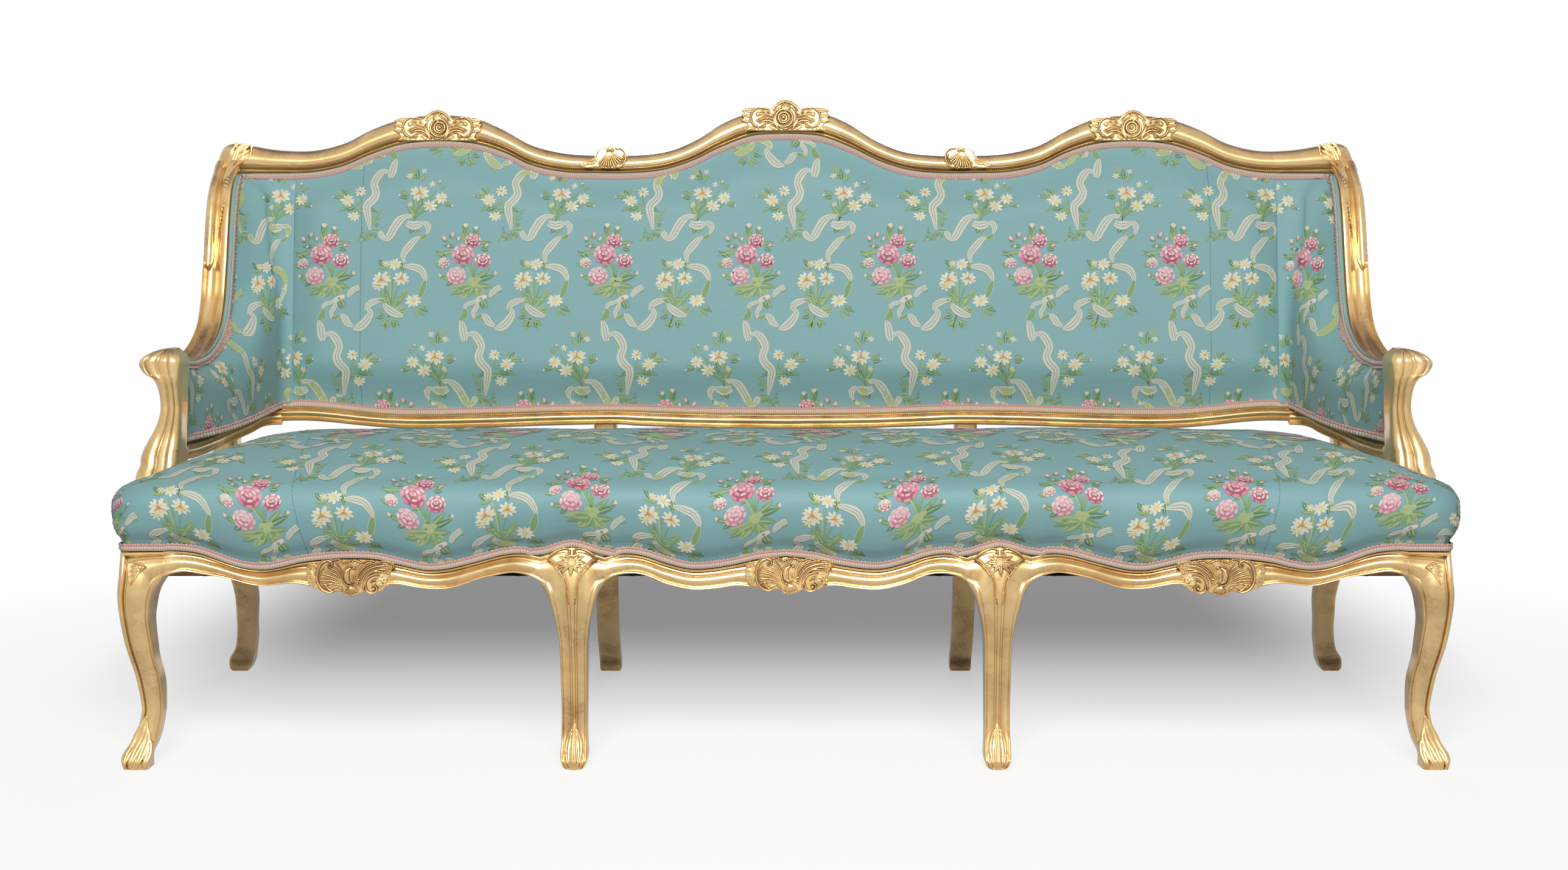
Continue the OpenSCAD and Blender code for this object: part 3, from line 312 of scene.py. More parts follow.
def shade(colour):
    # a colour as seen on screen, turned into the shader's own linear numbers
    return tuple(c / 12.92 if c <= 0.04045 else ((c + 0.055) / 1.055) ** 2.4 for c in colour) + (1.0,)


giltLook = {"bright": (0.96, 0.83, 0.60), "deep": (0.79, 0.64, 0.41),
            "brown": (0.38, 0.24, 0.11), "metal": 0.82,
            "coat": 0.3, "coatRough": 0.16, "bole": (0.62, 0.36, 0.19)}


def giltFinish(name, extraDark=0.0, patinaShadeWeight=1.0, rough=0.20):
    look = giltLook
    f = Finish(name, Coat_Weight=look["coat"] * (0.2 / rough) ** 2, Coat_Roughness=look["coatRough"])
    place = f.node("TexCoord", out="Object")
    patinaShadeMark = f.node("Attribute", {"attribute_name": "tone"}, out="Fac")
    cloud = f.noise(place, 14.0, 5.0, 0.6)
    speck = f.noise(place, 160.0, 4.0, 0.65)
    leaf = f.node("TexVoronoi", {"feature": "F1"},
                  {"Vector": place, "Scale": 26.0, "Randomness": 1.0}, out="Color")
    leafTone = f.node("SeparateColor", sockets={0: leaf})
    # how dark a point goes: the mesh's tone (patina in hollows, the painted dark reflection on upward faces,
    # darkening low down), random clouding and a fixed extra amount
    dark = (patinaShadeMark * patinaShadeWeight + (speck - 0.52) * 0.22 + (cloud - 0.5) * 0.6 + extraDark).held()
    patinaAndShade = f.node("ValToRGB", {"stops": [(0.10, (0, 0, 0)), (0.62, (1, 1, 1))]}, {0: dark})
    rub = f.node("ValToRGB", {"stops": [(0.60, (0, 0, 0)), (0.74, (1, 1, 1))]},
                 {0: speck * 0.55 + cloud * 0.55})
    gold = f.blend((leafTone * 0.35 + cloud * 0.75 - 0.1).held(), shade(look["bright"]), shade(look["deep"]))
    worn = f.blend(rub * 0.35, gold, shade(look["bole"]))
    colour = f.blend(patinaAndShade, worn, shade(look["brown"]))
    brush = f.noise(place, 420.0, 3.0)
    return f.feed(Base_Color=colour, Metallic=(1 - patinaAndShade) * look["metal"],
                  Roughness=rough + patinaAndShade * 0.3 + speck * 0.08,
                  Normal=f.bump(0.10, 0.0005, brush * 0.4 + speck * 0.6))


giltWood = giltFinish("giltWood")
giltBack = giltFinish("giltBack", 0.12)
# the carvings' gilding: a darker, rougher copy whose extra dark is painted shade that keeps their highlights
# down
giltCarved = giltFinish("giltCarved", 0.07, 0.95, 0.36)
# for the wing bottom rails, which sit in shade: a rougher copy with little of the dark tone, painted light
# that keeps them from going dark
giltLow = giltFinish("giltLow", 0.0, 0.35, 0.42)
silkLook = {"ground": (0.515, 0.665, 0.672), "shadow": (0.465, 0.622, 0.632), "sheen": 0.12,
            "between": (0.46, 0.60, 0.58)}


def silkFinish(name):
    f = Finish(name, Sheen_Weight=silkLook["sheen"], Sheen_Roughness=0.4, Specular_IOR_Level=0.35)
    uv = f.node("UVMap", {"uv_map": "UVMap"})
    place = f.node("TexCoord", out="Object")
    warp, weft = f.wave(uv, "X", 420.0, 0.4, 1.0), f.wave(uv, "Y", 260.0, 0.6, 1.0)
    slubs = f.noise(f.stretched(uv, (30.0, 420.0, 1.0)), 1.0, 3.0)
    cloud = f.noise(place, 5.0, 3.0)
    tone = (slubs * 0.9 + cloud * 0.5 + weft * 0.12 - 0.35).held()
    colour = f.blend(tone, shade(silkLook["shadow"]), shade(silkLook["ground"]))
    bump = f.bump(0.25, 0.0004, weft * 0.6 + warp * 0.3 + slubs * 0.8)
    return f.feed(Base_Color=colour, Roughness=0.52 + slubs * 0.12, Normal=bump)


def threadFinish(name):
    f = Finish(name, Sheen_Weight=0.2, Sheen_Roughness=0.4, Specular_IOR_Level=0.35)
    dye = f.node("Attribute", {"attribute_name": "dye"}, out="Color")
    place = f.node("TexCoord", out="Object")
    thread = f.noise(f.stretched(place, (260.0, 260.0, 900.0)), 1.0, 2.0)
    colour = f.blend((thread * 0.5 - 0.05).held(), dye, shade(silkLook["between"]))
    return f.feed(Base_Color=colour, Roughness=0.55 + thread * 0.15, Normal=f.bump(0.3, 0.0003, thread))


braidLook = {"band": ((0.66, 0.57, 0.50), (0.88, 0.81, 0.75)),
             "loops": ((0.64, 0.42, 0.41), (0.86, 0.70, 0.66))}


def braidFinishOf(name):
    f = Finish(name, Sheen_Weight=0.2, Specular_IOR_Level=0.3)
    uv = f.node("UVMap", {"uv_map": "UVMap"})
    tone = f.node("Attribute", {"attribute_name": "tone"}, out="Fac")
    place = f.node("TexCoord", out="Object")
    rib, fuzz = f.wave(uv, "X", 84.0, 0.5), f.noise(place, 700.0, 3.0)
    band = f.blend((rib * 0.5 + fuzz * 0.5 - 0.15).held(), *map(shade, braidLook["band"]))
    loops = f.blend(fuzz, *map(shade, braidLook["loops"]))
    bump = f.bump(0.5, 0.0005, fuzz + rib * 0.5)
    return f.feed(Base_Color=f.blend(tone, band, loops), Roughness=0.8 - fuzz * 0.1, Normal=bump)


silk = silkFinish("silkGround")
threads = threadFinish("silkThreads")
braidFinish = braidFinishOf("gimpBraid")
print("finishes made")

# front frame: ribbons of moulding that run from leg to rail to leg
frontFrame = {
    "across": 30, "legCount": 80, "fanDrop": 0.125,
    "creases": [.03, .115, .135, .155, .70, .72, .77, .785, .80, .815, .825, .86, .955, .985],
    "midTop": [(0, .80), (.123, .743), (.245, .614), (.368, .529), (.46, .529), (.567, .657), (.66, .80),
               (.739, .857), (.804, .829), (.847, .786)],
    "midUnder": [(0, .03), (.12, .06), (.23, .12), (.31, .07), (.402, .03), (.457, .043), (.515, .1),
                 (.574, .18), (.629, .30), (.687, .386), (.745, .40), (.804, .357), (.847, .243)],
    "sideTop": [(.075, .80), (.105, .85), (.134, .857), (.171, .80), (.231, .643), (.291, .514), (.338, .493),
                (.392, .60), (.45, .729), (.509, .757), (.568, .729), (.626, .657), (.667, .56), (.707, .50),
                (.748, .529), (.787, .629), (.826, .771), (.866, .886), (.914, .929), (.937, .914)],
    "sideUnder": [(.075, .243), (.099, .357), (.128, .414), (.155, .40), (.212, .286), (.267, .1),
                  (.306, .043), (.351, .071), (.407, .157), (.456, .086), (.509, .03), (.56, .05),
                  (.604, .114), (.646, .18), (.688, .143), (.716, .121), (.743, .157), (.799, .3),
                  (.856, .386), (.898, .443), (.937, .357)],
    "knee": [(.19, 0), (.28, .006), (.345, .016), (.39, .032), (.42, .06), (.41, .10), (.40, .174),
             (.40, .278), (.41, .388), (.42, .499), (.44, .58), (.52, .664),
             (.64, .736), (.76, .788), (1, .845)],
    "cornerOuter": [(.54, 0), (.60, .055), (.38, .11), (.18, .165), (.06, .232), (.04, .278), (.16, .388),
                    (.24, .443), (.44, .554), (.54, .664), (.58, .774), (.52, .87)],
    "cornerInner": [(-.24, 0), (-.24, .055), (-.42, .11), (-.54, .165), (-.62, .232), (-.64, .278),
                    (-.62, .388), (-.46, .499), (-.42, .554), (-.36, .664), (-.40, .725), (-.46, .774),
                    (-.58, .817), (-.84, .87)],
    "front": [(-.23, 0), (-.27, .035), (-.10, .08), (.10, .145), (.19, .232), (.19, .32), (.10, .435),
              (-.08, .58), (-.27, .71), (-.375, .812), (-.33, .90), (-.15, .965), (-.08, 1)],
    "rear": [(.69, 0), (.73, .04), (.73, .116), (.81, .232), (.875, .348), (.875, .464), (.854, .58),
             (.875, .68), (.96, .76), (1, .826)],
    # depth of the moulding behind the face in millimetres, from its lower edge to its upper edge
    "railRelief": [(0, 9), (.03, 4.6), (.07, 2.8), (.115, 3.4), (.145, 5.4), (.175, 4.6), (.25, 2.2),
                   (.35, .6), (.45, .2), (.55, 1.4), (.65, 4), (.73, 6.2), (.785, 7), (.815, 8.2), (.84, 5.6),
                   (.88, 1.8), (.93, .3), (.965, .6), (1, 4)],
    "legRelief": [(0, 8), (.05, 3.6), (.10, 2.2), (.15, 2.6), (.19, 4.2), (.30, 4.6), (.48, 4.4), (.62, 3.2),
                  (.69, 2.2), (.735, 3.3), (.78, 1.8), (.84, 1.4), (.885, 2.5), (.92, 1.5), (1, .8)],
    "cornerRelief": [(0, 10), (.04, 5), (.08, 3.4), (.115, 6), (.15, 5), (.32, 1.4), (.5, .6), (.66, 1.2),
                     (.70, 1.2), (.72, 3), (.77, 4.4), (.80, 6.4), (.825, 3), (.90, 2), (.96, 4.5), (1, 10)]}


def reliefAt(table, s):
    line = smoothLine(table, 6)
    return np.interp(s, line[:, 0], line[:, 1]) / 1000


ff = frontFrame
bay = sofa["cornerX"] - legX
midTop = placed(ff["midTop"], legX, sofa["rise"], (0, sofa["lowZ"]))
midUnder = placed(ff["midUnder"], legX, sofa["rise"], (0, sofa["lowZ"]))
sideTop = placed(ff["sideTop"], bay, sofa["rise"], (legX, sofa["lowZ"]))
sideUnder = placed(ff["sideUnder"], bay, sofa["rise"], (legX, sofa["lowZ"]))
kneeEdge = placed(ff["knee"], kneeHalf, kneeZ)[::-1]
cornerOuter = placed(ff["cornerOuter"], kneeHalf, kneeZ, (sofa["cornerX"], 0))[::-1]
cornerInner = placed(ff["cornerInner"], kneeHalf, kneeZ, (sofa["cornerX"], 0))[::-1]
legFront = placed(ff["front"], sofa["railThick"], kneeZ)
legRear = placed(ff["rear"], sofa["railThick"], kneeZ)
kneeTop = (legX, kneeZ)
railLine = np.array([*midTop, kneeTop, *sideTop, (railHalf, sofa["sideTop"])])


def byHeight(line, z):
    # x of a leg outline at a height; the outline runs downwards
    return heightAt(line[::-1], z)


def fanned(inner, outerStart, kneeAt, centre, low, firstSteps=12, steps=34):
    # the turn from rail to leg: inner edge slides down while the outer edge rounds the knee
    zs = np.linspace(kneeAt[1], low, steps)
    outer = np.concatenate([spaced([outerStart, kneeAt], firstSteps)[:-1], np.stack([centre(zs), zs], 1)])
    innerPart = inner[inner[:, 1] >= low - 1e-9]
    innerPart = np.concatenate([innerPart, [[byHeight(inner, low), low]]])
    t = np.linspace(0, 1, len(outer))
    d = lengths(innerPart)
    at = (0.35 * t + 0.65 * t ** 1.6) * d[-1]
    return np.stack([np.interp(at, d, innerPart[:, 0]), np.interp(at, d, innerPart[:, 1])], 1), outer


def ribbon(name, inner, outer, legShare, relief, legTable, sideWall=False):
    # one closed band from paired lines: moulded in front, flat behind
    s = np.unique(np.concatenate([np.linspace(0, 1, ff["across"]), ff["creases"]]))
    railDepth, legDepth = reliefAt(relief, s), reliefAt(legTable, s)
    rings = []
    for a, b, w in zip(inner, outer, legShare):
        x, z = mix(a[0], b[0], s), mix(a[1], b[1], s)
        wide = np.hypot(*(b - a))
        face = railY + w * heightAt(legFront, z)
        fade = min(1.0, wide / 0.018)
        y = face + mix(railDepth, legDepth, ease(w)) * fade
        back = railY + heightAt(legRear, z)
        thin = (z > deck) & ~((s > .55) & sideWall)
        back = np.where(thin, railY + sofa["bandThick"] - 0.0005, back - 0.0005)
        pick = np.linspace(len(s) - 1, 0, 9).round().astype(int)
        front = np.stack([x, y, z], 1)
        top = [[x[-1], mix(y[-1], back[-1], t), z[-1]] for t in (.3, .7)]
        low = [[x[0], mix(back[0], y[0], t), z[0]] for t in (.3, .7)]
        rings.append(np.concatenate([front, top, np.stack([x, back, z], 1)[pick], low]))
    return lofted(name, rings)


low = kneeZ - ff["fanDrop"]
legZ = np.linspace(low, 0, ff["legCount"])[1:]


def innerLegHalf(sign, name):
    start = (midTop[-1] if sign < 0 else sideTop[0])
    edge = np.stack([legX + sign * kneeEdge[:, 0], kneeEdge[:, 1]], 1)
    a, b = fanned(edge, start, kneeTop, lambda z: z * 0 + legX, low)
    a = np.concatenate([a, np.stack([byHeight(edge, legZ), legZ], 1)])
    b = np.concatenate([b, np.stack([legZ * 0 + legX, legZ], 1)])
    share = np.concatenate([mix(.45, 1, ease(np.linspace(0, 1, len(a) - len(legZ)) * 1.6)), legZ * 0 + 1])
    return ribbon(name, a, b, share, ff["railRelief"], ff["legRelief"])


def innerLeg(name):
    return joined(name, [innerLegHalf(-1, "halfA"), innerLegHalf(1, "halfB")])


def cornerLeg(name):
    top = (railHalf, sofa["sideTop"])
    outer = np.concatenate([[top], cornerOuter])
    a, b = fanned(cornerInner, sideTop[-1], top, lambda z: byHeight(outer, z), low - 0.01)
    z = legZ[legZ < low - 0.01]
    a = np.concatenate([a, np.stack([byHeight(cornerInner, z), z], 1)])
    b = np.concatenate([b, np.stack([byHeight(outer, z), z], 1)])
    share = np.concatenate([mix(.4, 1, ease(np.linspace(0, 1, len(a) - len(z)) * 1.6)), z * 0 + 1])
    return ribbon(name, a, b, share, ff["railRelief"], ff["cornerRelief"], sideWall=True)


def railRibbon(name, top, under, x, shareAt):
    a, b = (np.stack([x, lineAt(line, x)], 1) for line in (under, top))
    return ribbon(name, a, b, shareAt(x), ff["railRelief"], ff["legRelief"])


midX = np.linspace(-midTop[-1, 0], midTop[-1, 0], 161)
sideX = np.linspace(sideTop[0, 0], sideTop[-1, 0], 181)
frontRailMiddle = railRibbon("frontRailMiddle", np.concatenate([midTop[:0:-1] * (-1, 1), midTop]),
                             np.concatenate([midUnder[:0:-1] * (-1, 1), midUnder]), midX,
                             lambda x: .45 * ease((np.abs(x) - midTop[-1, 0] + .06) / .06))
frontRailRight = railRibbon("frontRailRight", sideTop, sideUnder, sideX,
                            lambda x: (.45 * ease((sideTop[0, 0] + .06 - x) / .06)
                                       + .4 * ease((x - sideTop[-1, 0] + .05) / .05)))
frontInnerLegRight = innerLeg("frontInnerLegRight")
frontCornerLegRight = cornerLeg("frontCornerLegRight")
for piece in (frontRailRight, frontInnerLegRight, frontCornerLegRight, frontRailMiddle):
    # the legs take 0.15 more of the dark tone all over than the rails: painted shade, so that they render
    # darker
    shadeAndHollowTone(smoothed(piece), depth=0.0018, low=0.0 if "Rail" in piece.name else 0.15)
settlePair(frontRailRight, giltWood, "front_rail")
settlePair(frontInnerLegRight, giltWood, "front_inner_leg")
settlePair(frontCornerLegRight, giltWood, "front_corner_leg")
settle(frontRailMiddle, giltWood, "gilt_wood", "front_rail_middle")
print("front frame made")

# side rails
sideRail = {"count": 70, "inner": 0.044, "band": 0.020, "creases": [.03, .155, .825, .86, .955],
            "under": [(.056, .64), (.12, .6), (.23, .4), (.35, .16), (.45, .06),
                      (.58, .2), (.66, .1), (.715, 0)]}


def sideRailPiece(name):
    under = placed(sideRail["under"], sofa["side"], 0.047, (0, 0.262))
    s = np.unique(np.concatenate([np.linspace(0, 1, ff["across"]), sideRail["creases"]]))
    depth = reliefAt(ff["railRelief"], s)
    end = sofa["side"] * 0.711
    rings = []
    for d in np.linspace(sofa["railThick"], end, sideRail["count"]):
        wall = mix(railHalf, backHalf, d / end)
        zLow = lineAt(under, d)
        z = mix(zLow, sofa["sideTop"], s)
        face = np.stack([wall - depth, z * 0 + railY + d, z], 1)
        back = [(wall - sideRail["band"], sofa["sideTop"]), (wall - sideRail["band"], deck),
                (wall - sideRail["inner"], deck), (wall - sideRail["inner"], zLow)]
        rings.append(np.concatenate([face, [[x, railY + d, zz] for x, zz in back]]))
    return shadeAndHollowTone(smoothed(lofted(name, rings)), low=0.08)


settlePair(sideRailPiece("sideRailRight"), giltWood, "side_rail")
print("side rails made")

# rear legs and uprights
rearLegs = {
    "front": [(.951, 0), (.945, .04), (.904, .10), (.848, .20), (.797, .31), (.743, .46), (.718, .60),
              (.713, .66), (.715, .86)],
    "back": [(1, 0), (.995, .04), (.949, .10), (.893, .20), (.844, .31), (.807, .40), (.778, .52),
             (.762, .66), (.760, .80)],
    "outer": [(.98, 0), (1.05, .016), (.98, .05), (.57, .102), (.30, .18), (.18, .24), (.07, .32), (.12, .40),
              (.30, .52), (.5, .66)],
    "inner": [(.22, 0), (0, .04), (-.22, .09), (-.43, .15), (-.58, .22), (-.80, .32), (-.82, .40),
              (-.66, .52), (-.5, .66)],
    "thick": 0.038, "round": 0.007, "innerHalf": 0.020, "lean": 0.007}


def roundedRing(x0, x1, y0, y1, z, radius):
    ring = []
    for cx, cy, a0 in ((x1, y1, 0), (x0, y1, 90), (x0, y0, 180), (x1, y0, 270)):
        sx, sy = (1 if cx == x1 else -1), (1 if cy == y1 else -1)
        for a in np.radians(a0 + np.linspace(0, 90, 6)):
            ring.append((cx - sx * radius + radius * math.cos(a), cy - sy * radius + radius * math.sin(a), z))
    return np.array(ring)


def rearLeg(name, xAt, top):
    front = placed(rearLegs["front"], sofa["side"], footZ)
    back = placed(rearLegs["back"], sofa["side"], footZ)
    slope = upSlope(top)
    upFront, upBack = (onBack(0, np.array([0, slope]), d)[:, 1:] for d in (0, rearLegs["thick"]))
    front = np.concatenate([front + (railY, 0), upFront])
    back = np.concatenate([back + (railY, 0), upBack])
    rings = []
    for z in np.concatenate([[0, .002, .006], np.linspace(.012, .5, 90), np.linspace(.51, top, 30)]):
        y0, y1 = heightAt(front, z), heightAt(back, z)
        x0, x1 = xAt(z)
        r = rearLegs["round"] * (0.6 if z < .001 else 1)
        pinch = 0.002 if z < .001 else (0.0006 if z < .004 else 0)
        rings.append(roundedRing(x0 + pinch, x1 - pinch, y0 + pinch, y1 - pinch, z, r))
    return shadeAndHollowTone(smoothed(lofted(name, rings)), depth=0.004, low=0.04, lowDarkening=0.15)


def cornerWidth(z):
    outer = placed(rearLegs["outer"], board, footZ, (sofa["postX"], 0))
    inner = placed(rearLegs["inner"], board, footZ, (sofa["postX"], 0))
    return heightAt(inner, z), heightAt(outer, z)


def innerWidth(z):
    middle = legX - rearLegs["lean"] * ease(z / .3)
    return middle - rearLegs["innerHalf"], middle + rearLegs["innerHalf"]


rearCornerLegRight = rearLeg("rearCornerLegRight", cornerWidth, crestLow)
rearInnerLegRight = rearLeg("rearInnerLegRight", innerWidth, crestLow - 0.0006)
settlePair(rearCornerLegRight, giltBack, "rear_corner_leg")
settlePair(rearInnerLegRight, giltBack, "rear_inner_leg")
print("rear legs made")

# crest rail and the bottom rail of the back
crest = {
    "top": [(0, .906), (.059, .867), (.109, .719), (.158, .477), (.208, .32), (.267, .266), (.337, .266),
            (.391, .297), (.446, .406), (.495, .617), (.545, .773), (.609, .828), (.673, .773), (.728, .625),
            (.777, .43), (.832, .328), (.891, .336), (.941, .398), (.970, .43),
            (.990, .36), (1, .14), (1, 0)],
    "under": [(0, .547), (.059, .516), (.114, .359), (.163, .172), (.213, .047), (.267, 0), (.337, 0),
              (.391, .016), (.446, .109), (.495, .289), (.545, .406), (.609, .445), (.673, .398),
              (.728, .258), (.777, .094), (.832, .008), (.891, 0), (.956, 0)],
    "step": 0.008, "thick": 0.038, "across": 26, "creases": [.03, .13, .165, .20, .97], "turn": 40,
    "relief": [(0, 9), (.03, 5), (.08, 3), (.13, 5), (.165, 9), (.20, 7), (.28, 2.6), (.40, .4), (.52, 0),
               (.66, 1.6), (.80, 5), (.90, 9.5), (1, 19)]}
crestRise = (sofa["height"] - crestLow) / math.cos(sofa["rake"])
crestTop = placed(crest["top"], backHalf, crestRise, (0, upSlope(crestLow)))
crestUnder = placed(crest["under"], backHalf, crestRise, (0, upSlope(crestLow)))
crestSpan = np.linspace(0, crestUnder[-1, 0], 190)
crestHalfTop = np.stack([crestSpan, lineAt(crestTop, crestSpan)], 1)
crestHalfUnder = np.stack([crestSpan, lineAt(crestUnder, crestSpan)], 1)
pastTurn = crestTop[crestTop[:, 0] > crestSpan[-1]]
crestHalfTop = np.concatenate([crestHalfTop, spaced(pastTurn, crest["turn"])])
crestTip = np.stack([np.linspace(0, .0004, crest["turn"]), np.zeros(crest["turn"])], 1)
crestHalfUnder = np.concatenate([crestHalfUnder, crestHalfUnder[-1:] + crestTip])


def backRibbon(name, inner, outer, relief, front, back, low=0.0, topShade=0.0):
    s = np.unique(np.concatenate([np.linspace(0, 1, crest["across"]), crest["creases"]]))
    depth = reliefAt(relief, s)
    rings = []
    for a, b in zip(inner, outer):
        x, h = mix(a[0], b[0], s), mix(a[1], b[1], s)
        fade = min(1.0, np.hypot(*(b - a)) / 0.02)
        faces = onBack(x, h, front + depth * fade)
        rear = onBack(x[::-4], h[::-4], back)
        rings.append(np.concatenate([faces, rear]))
    return shadeAndHollowTone(smoothed(lofted(name, rings)), depth=0.0024, low=low, topShade=topShade)


# the crest's upper faces carry the painted dark reflection
crestRail = backRibbon("crestRail", np.concatenate([crestHalfUnder[:0:-1] * (-1, 1), crestHalfUnder]),
                       np.concatenate([crestHalfTop[:0:-1] * (-1, 1), crestHalfTop]), crest["relief"],
                       -crest["step"], crest["thick"], topShade=0.75)
settle(crestRail, giltWood, "gilt_wood", "crest_rail")

bottomRail = {
    "line": [(0, -.02), (.137, -.01), (.22, .016), (.302, .042), (.412, .028), (.52, -.008), (.633, -.036),
             (.70, -.022), (.755, .03), (.80, .085), (.845, .12), (.886, .112)],
    "under": [(0, -.31), (.137, -.29), (.25, -.25), (.302, -.22), (.412, -.24), (.52, -.28), (.633, -.30),
              (.70, -.28), (.755, -.23), (.80, -.18), (.845, -.15), (.886, -.155)],
    "thick": 0.020,
    "relief": [(0, 7), (.06, 2.4), (.13, 1.6), (.19, 4.6), (.25, 5.2), (.32, 2.6), (.48, .3), (.60, .2),
                               (.70, 2.2), (.755, 5.4), (.80, 5.6), (.86, 1.8), (.93, .8), (1, 4)]}
bottomUnit, bottomRise = backHalf - board / 4, (footZ - deck) / 2
bottomLine = placed(bottomRail["line"], bottomUnit, bottomRise)
bottomUnder = placed(bottomRail["under"], bottomUnit, bottomRise)
bothWays = np.linspace(-bottomLine[-1, 0], bottomLine[-1, 0], 241)
backBottomRail = backRibbon(
    "backBottomRail", np.stack([bothWays, lineAt(bottomUnder, abs(bothWays))], 1),
    np.stack([bothWays, lineAt(bottomLine, abs(bothWays))], 1), bottomRail["relief"],
    -bottomRail["thick"], 0.0)
settle(backBottomRail, giltWood, "gilt_wood", "back_bottom_rail")
print("back frame made")

# wings: rails, arm supports, bottom rails
wing = {
    "line": [(.728, .935), (.703, .827), (.684, .694), (.668, .554), (.650, .414), (.629, .277), (.592, .149),
             (.523, .058), (.438, .003), (.350, -.012), (.290, -.007), (.216, .01)],
    "width": 0.042, "turn": 0.757, "leaf": 0.0095, "leafAt": .31, "leafWide": .12, "leafHigh": .0018,
    "rings": 330, "across": 64,
    # heights over the rail's line in millimetres, inside to outside: a tube and leaves above, a hollow below
    "tube": [(0, -6), (.05, -2), (.10, -1.5), (.135, -5), (.17, -5), (.21, -2), (.31, -1), (.42, -2.4),
             (.48, -6), (.545, -9), (.61, -7), (.66, -2.5), (.74, -.2), (.82, .2),
             (.90, -1), (.96, -4.5), (1, -10)],
    "plain": [(0, -6), (.05, -2), (.12, -.8), (.25, -1), (.30, -2.2), (.36, -5), (.5, -9), (.65, -10),
              (.80, -8), (.90, -3), (.95, -1), (1, -6)]}
slopeLow = upSlope(crestLow)
wingJoin = onBack(0, slopeLow + board / 2, -crest["step"] - 0.0001)[1:] - (railY, 0)
wingLine = smoothLine([tuple(wingJoin)] + [(a * sofa["side"], armZ + b * (crestLow - armZ))
                                          for a, b in wing["line"]], 12)


def beside(line, d):
    t = unit(np.gradient(line, axis=0))
    return line + d * np.stack([t[:, 1], -t[:, 0]], 1)


def wingRailPiece(name):
    outer = spaced(wingLine, wing["rings"])
    along = lengths(outer)
    t = unit(np.gradient(outer, axis=0))
    inward = -np.stack([t[:, 1], -t[:, 0]], 1)
    share = np.linspace(0, 1, wing["across"])
    tube, plain = reliefAt(wing["tube"], share), reliefAt(wing["plain"], share)
    x = mix(wingIn, backHalf, share)
    band = np.clip(1 - (abs(share - wing["leafAt"]) / wing["leafWide"]) ** 2, 0, 1)
    rings = []
    for d, p, n in zip(along, outer, inward):
        upper = ease((p[1] - wing["turn"] - .02 * ((share - .78) / .2) ** 2) / .006)
        leaf = band * abs(np.sin(np.pi * (d / wing["leaf"] + share * 2))) ** .6
        lift = mix(plain, tube, upper) + wing["leafHigh"] * upper * leaf
        edge = np.stack([x, railY + p[0] - n[0] * lift, p[1] - n[1] * lift], 1)
        # at the front end the rail is only as deep as it can be without passing its end
        far = p + n * wing["width"]
        far[0] = max(far[0], outer[-1, 0])
        if far[1] > 0.90:
            far = p + n * wing["width"] * 0.72
        front = ease((.31 - p[0]) / .09)
        walls = [(backHalf - .003 * front, .25), (backHalf - .001 - .013 * front, .6),
                 (backHalf - .002 - .024 * front, 1), (wingIn + .001, 1), (wingIn + .0005, .6), (wingIn, .25)]
        rest = [[a, railY + mix(p[0], far[0], k), mix(p[1], far[1], k)] for a, k in walls]
        rings.append(np.concatenate([edge, rest]))
    # the rail's upper faces carry the painted dark reflection
    return shadeAndHollowTone(smoothed(lofted(name, rings)), depth=0.0020, topShade=0.6)


settlePair(wingRailPiece("wingRailRight"), giltWood, "wing_rail")

support = {
    "outer": [(-.26, 1.082), (.18, 1.069), (.5, 1.01), (.32, .957), (0, .927), (-.16, .866), (-.18, .774),
              (-.02, .689), (.26, .613), (.5, .54), (.54, .485), (.68, .43), (.7, .29), (.5, .107)],
    "inner": [(-1, 1.08), (-1.06, 1.01), (-1, .91), (-.96, .76), (-.9, .61), (-.86, .43),
              (-.82, .27), (-.72, .107)],
    "front": [(.10, 1.082), (-.02, 1.05), (-.05, .95), (.04, .87), (.12, .78), (.10, .66), (0, .56),
              (-.12, .45), (-.18, .35), (-.14, .22), (-.08, .107)],
    "rear": [(.86, 1.082), (.87, .93), (.84, .83), (.84, .73), (.86, .66), (1.03, .605), (1.06, .56),
             (1.06, .45), (1.15, .3), (1.12, .107)],
    "set": 0.1114, "deep": 0.0836, "crown": 0.622, "head": 0.642, "square": 5, "turn": 2.5,
    # grooves down the front: place across, width, depth in millimetres, and the height from which they run
    "grooves": [(-.40, .05, 2.2, 0), (.06, .06, 1.6, 0), (.60, .08, 3.6, .580)]}


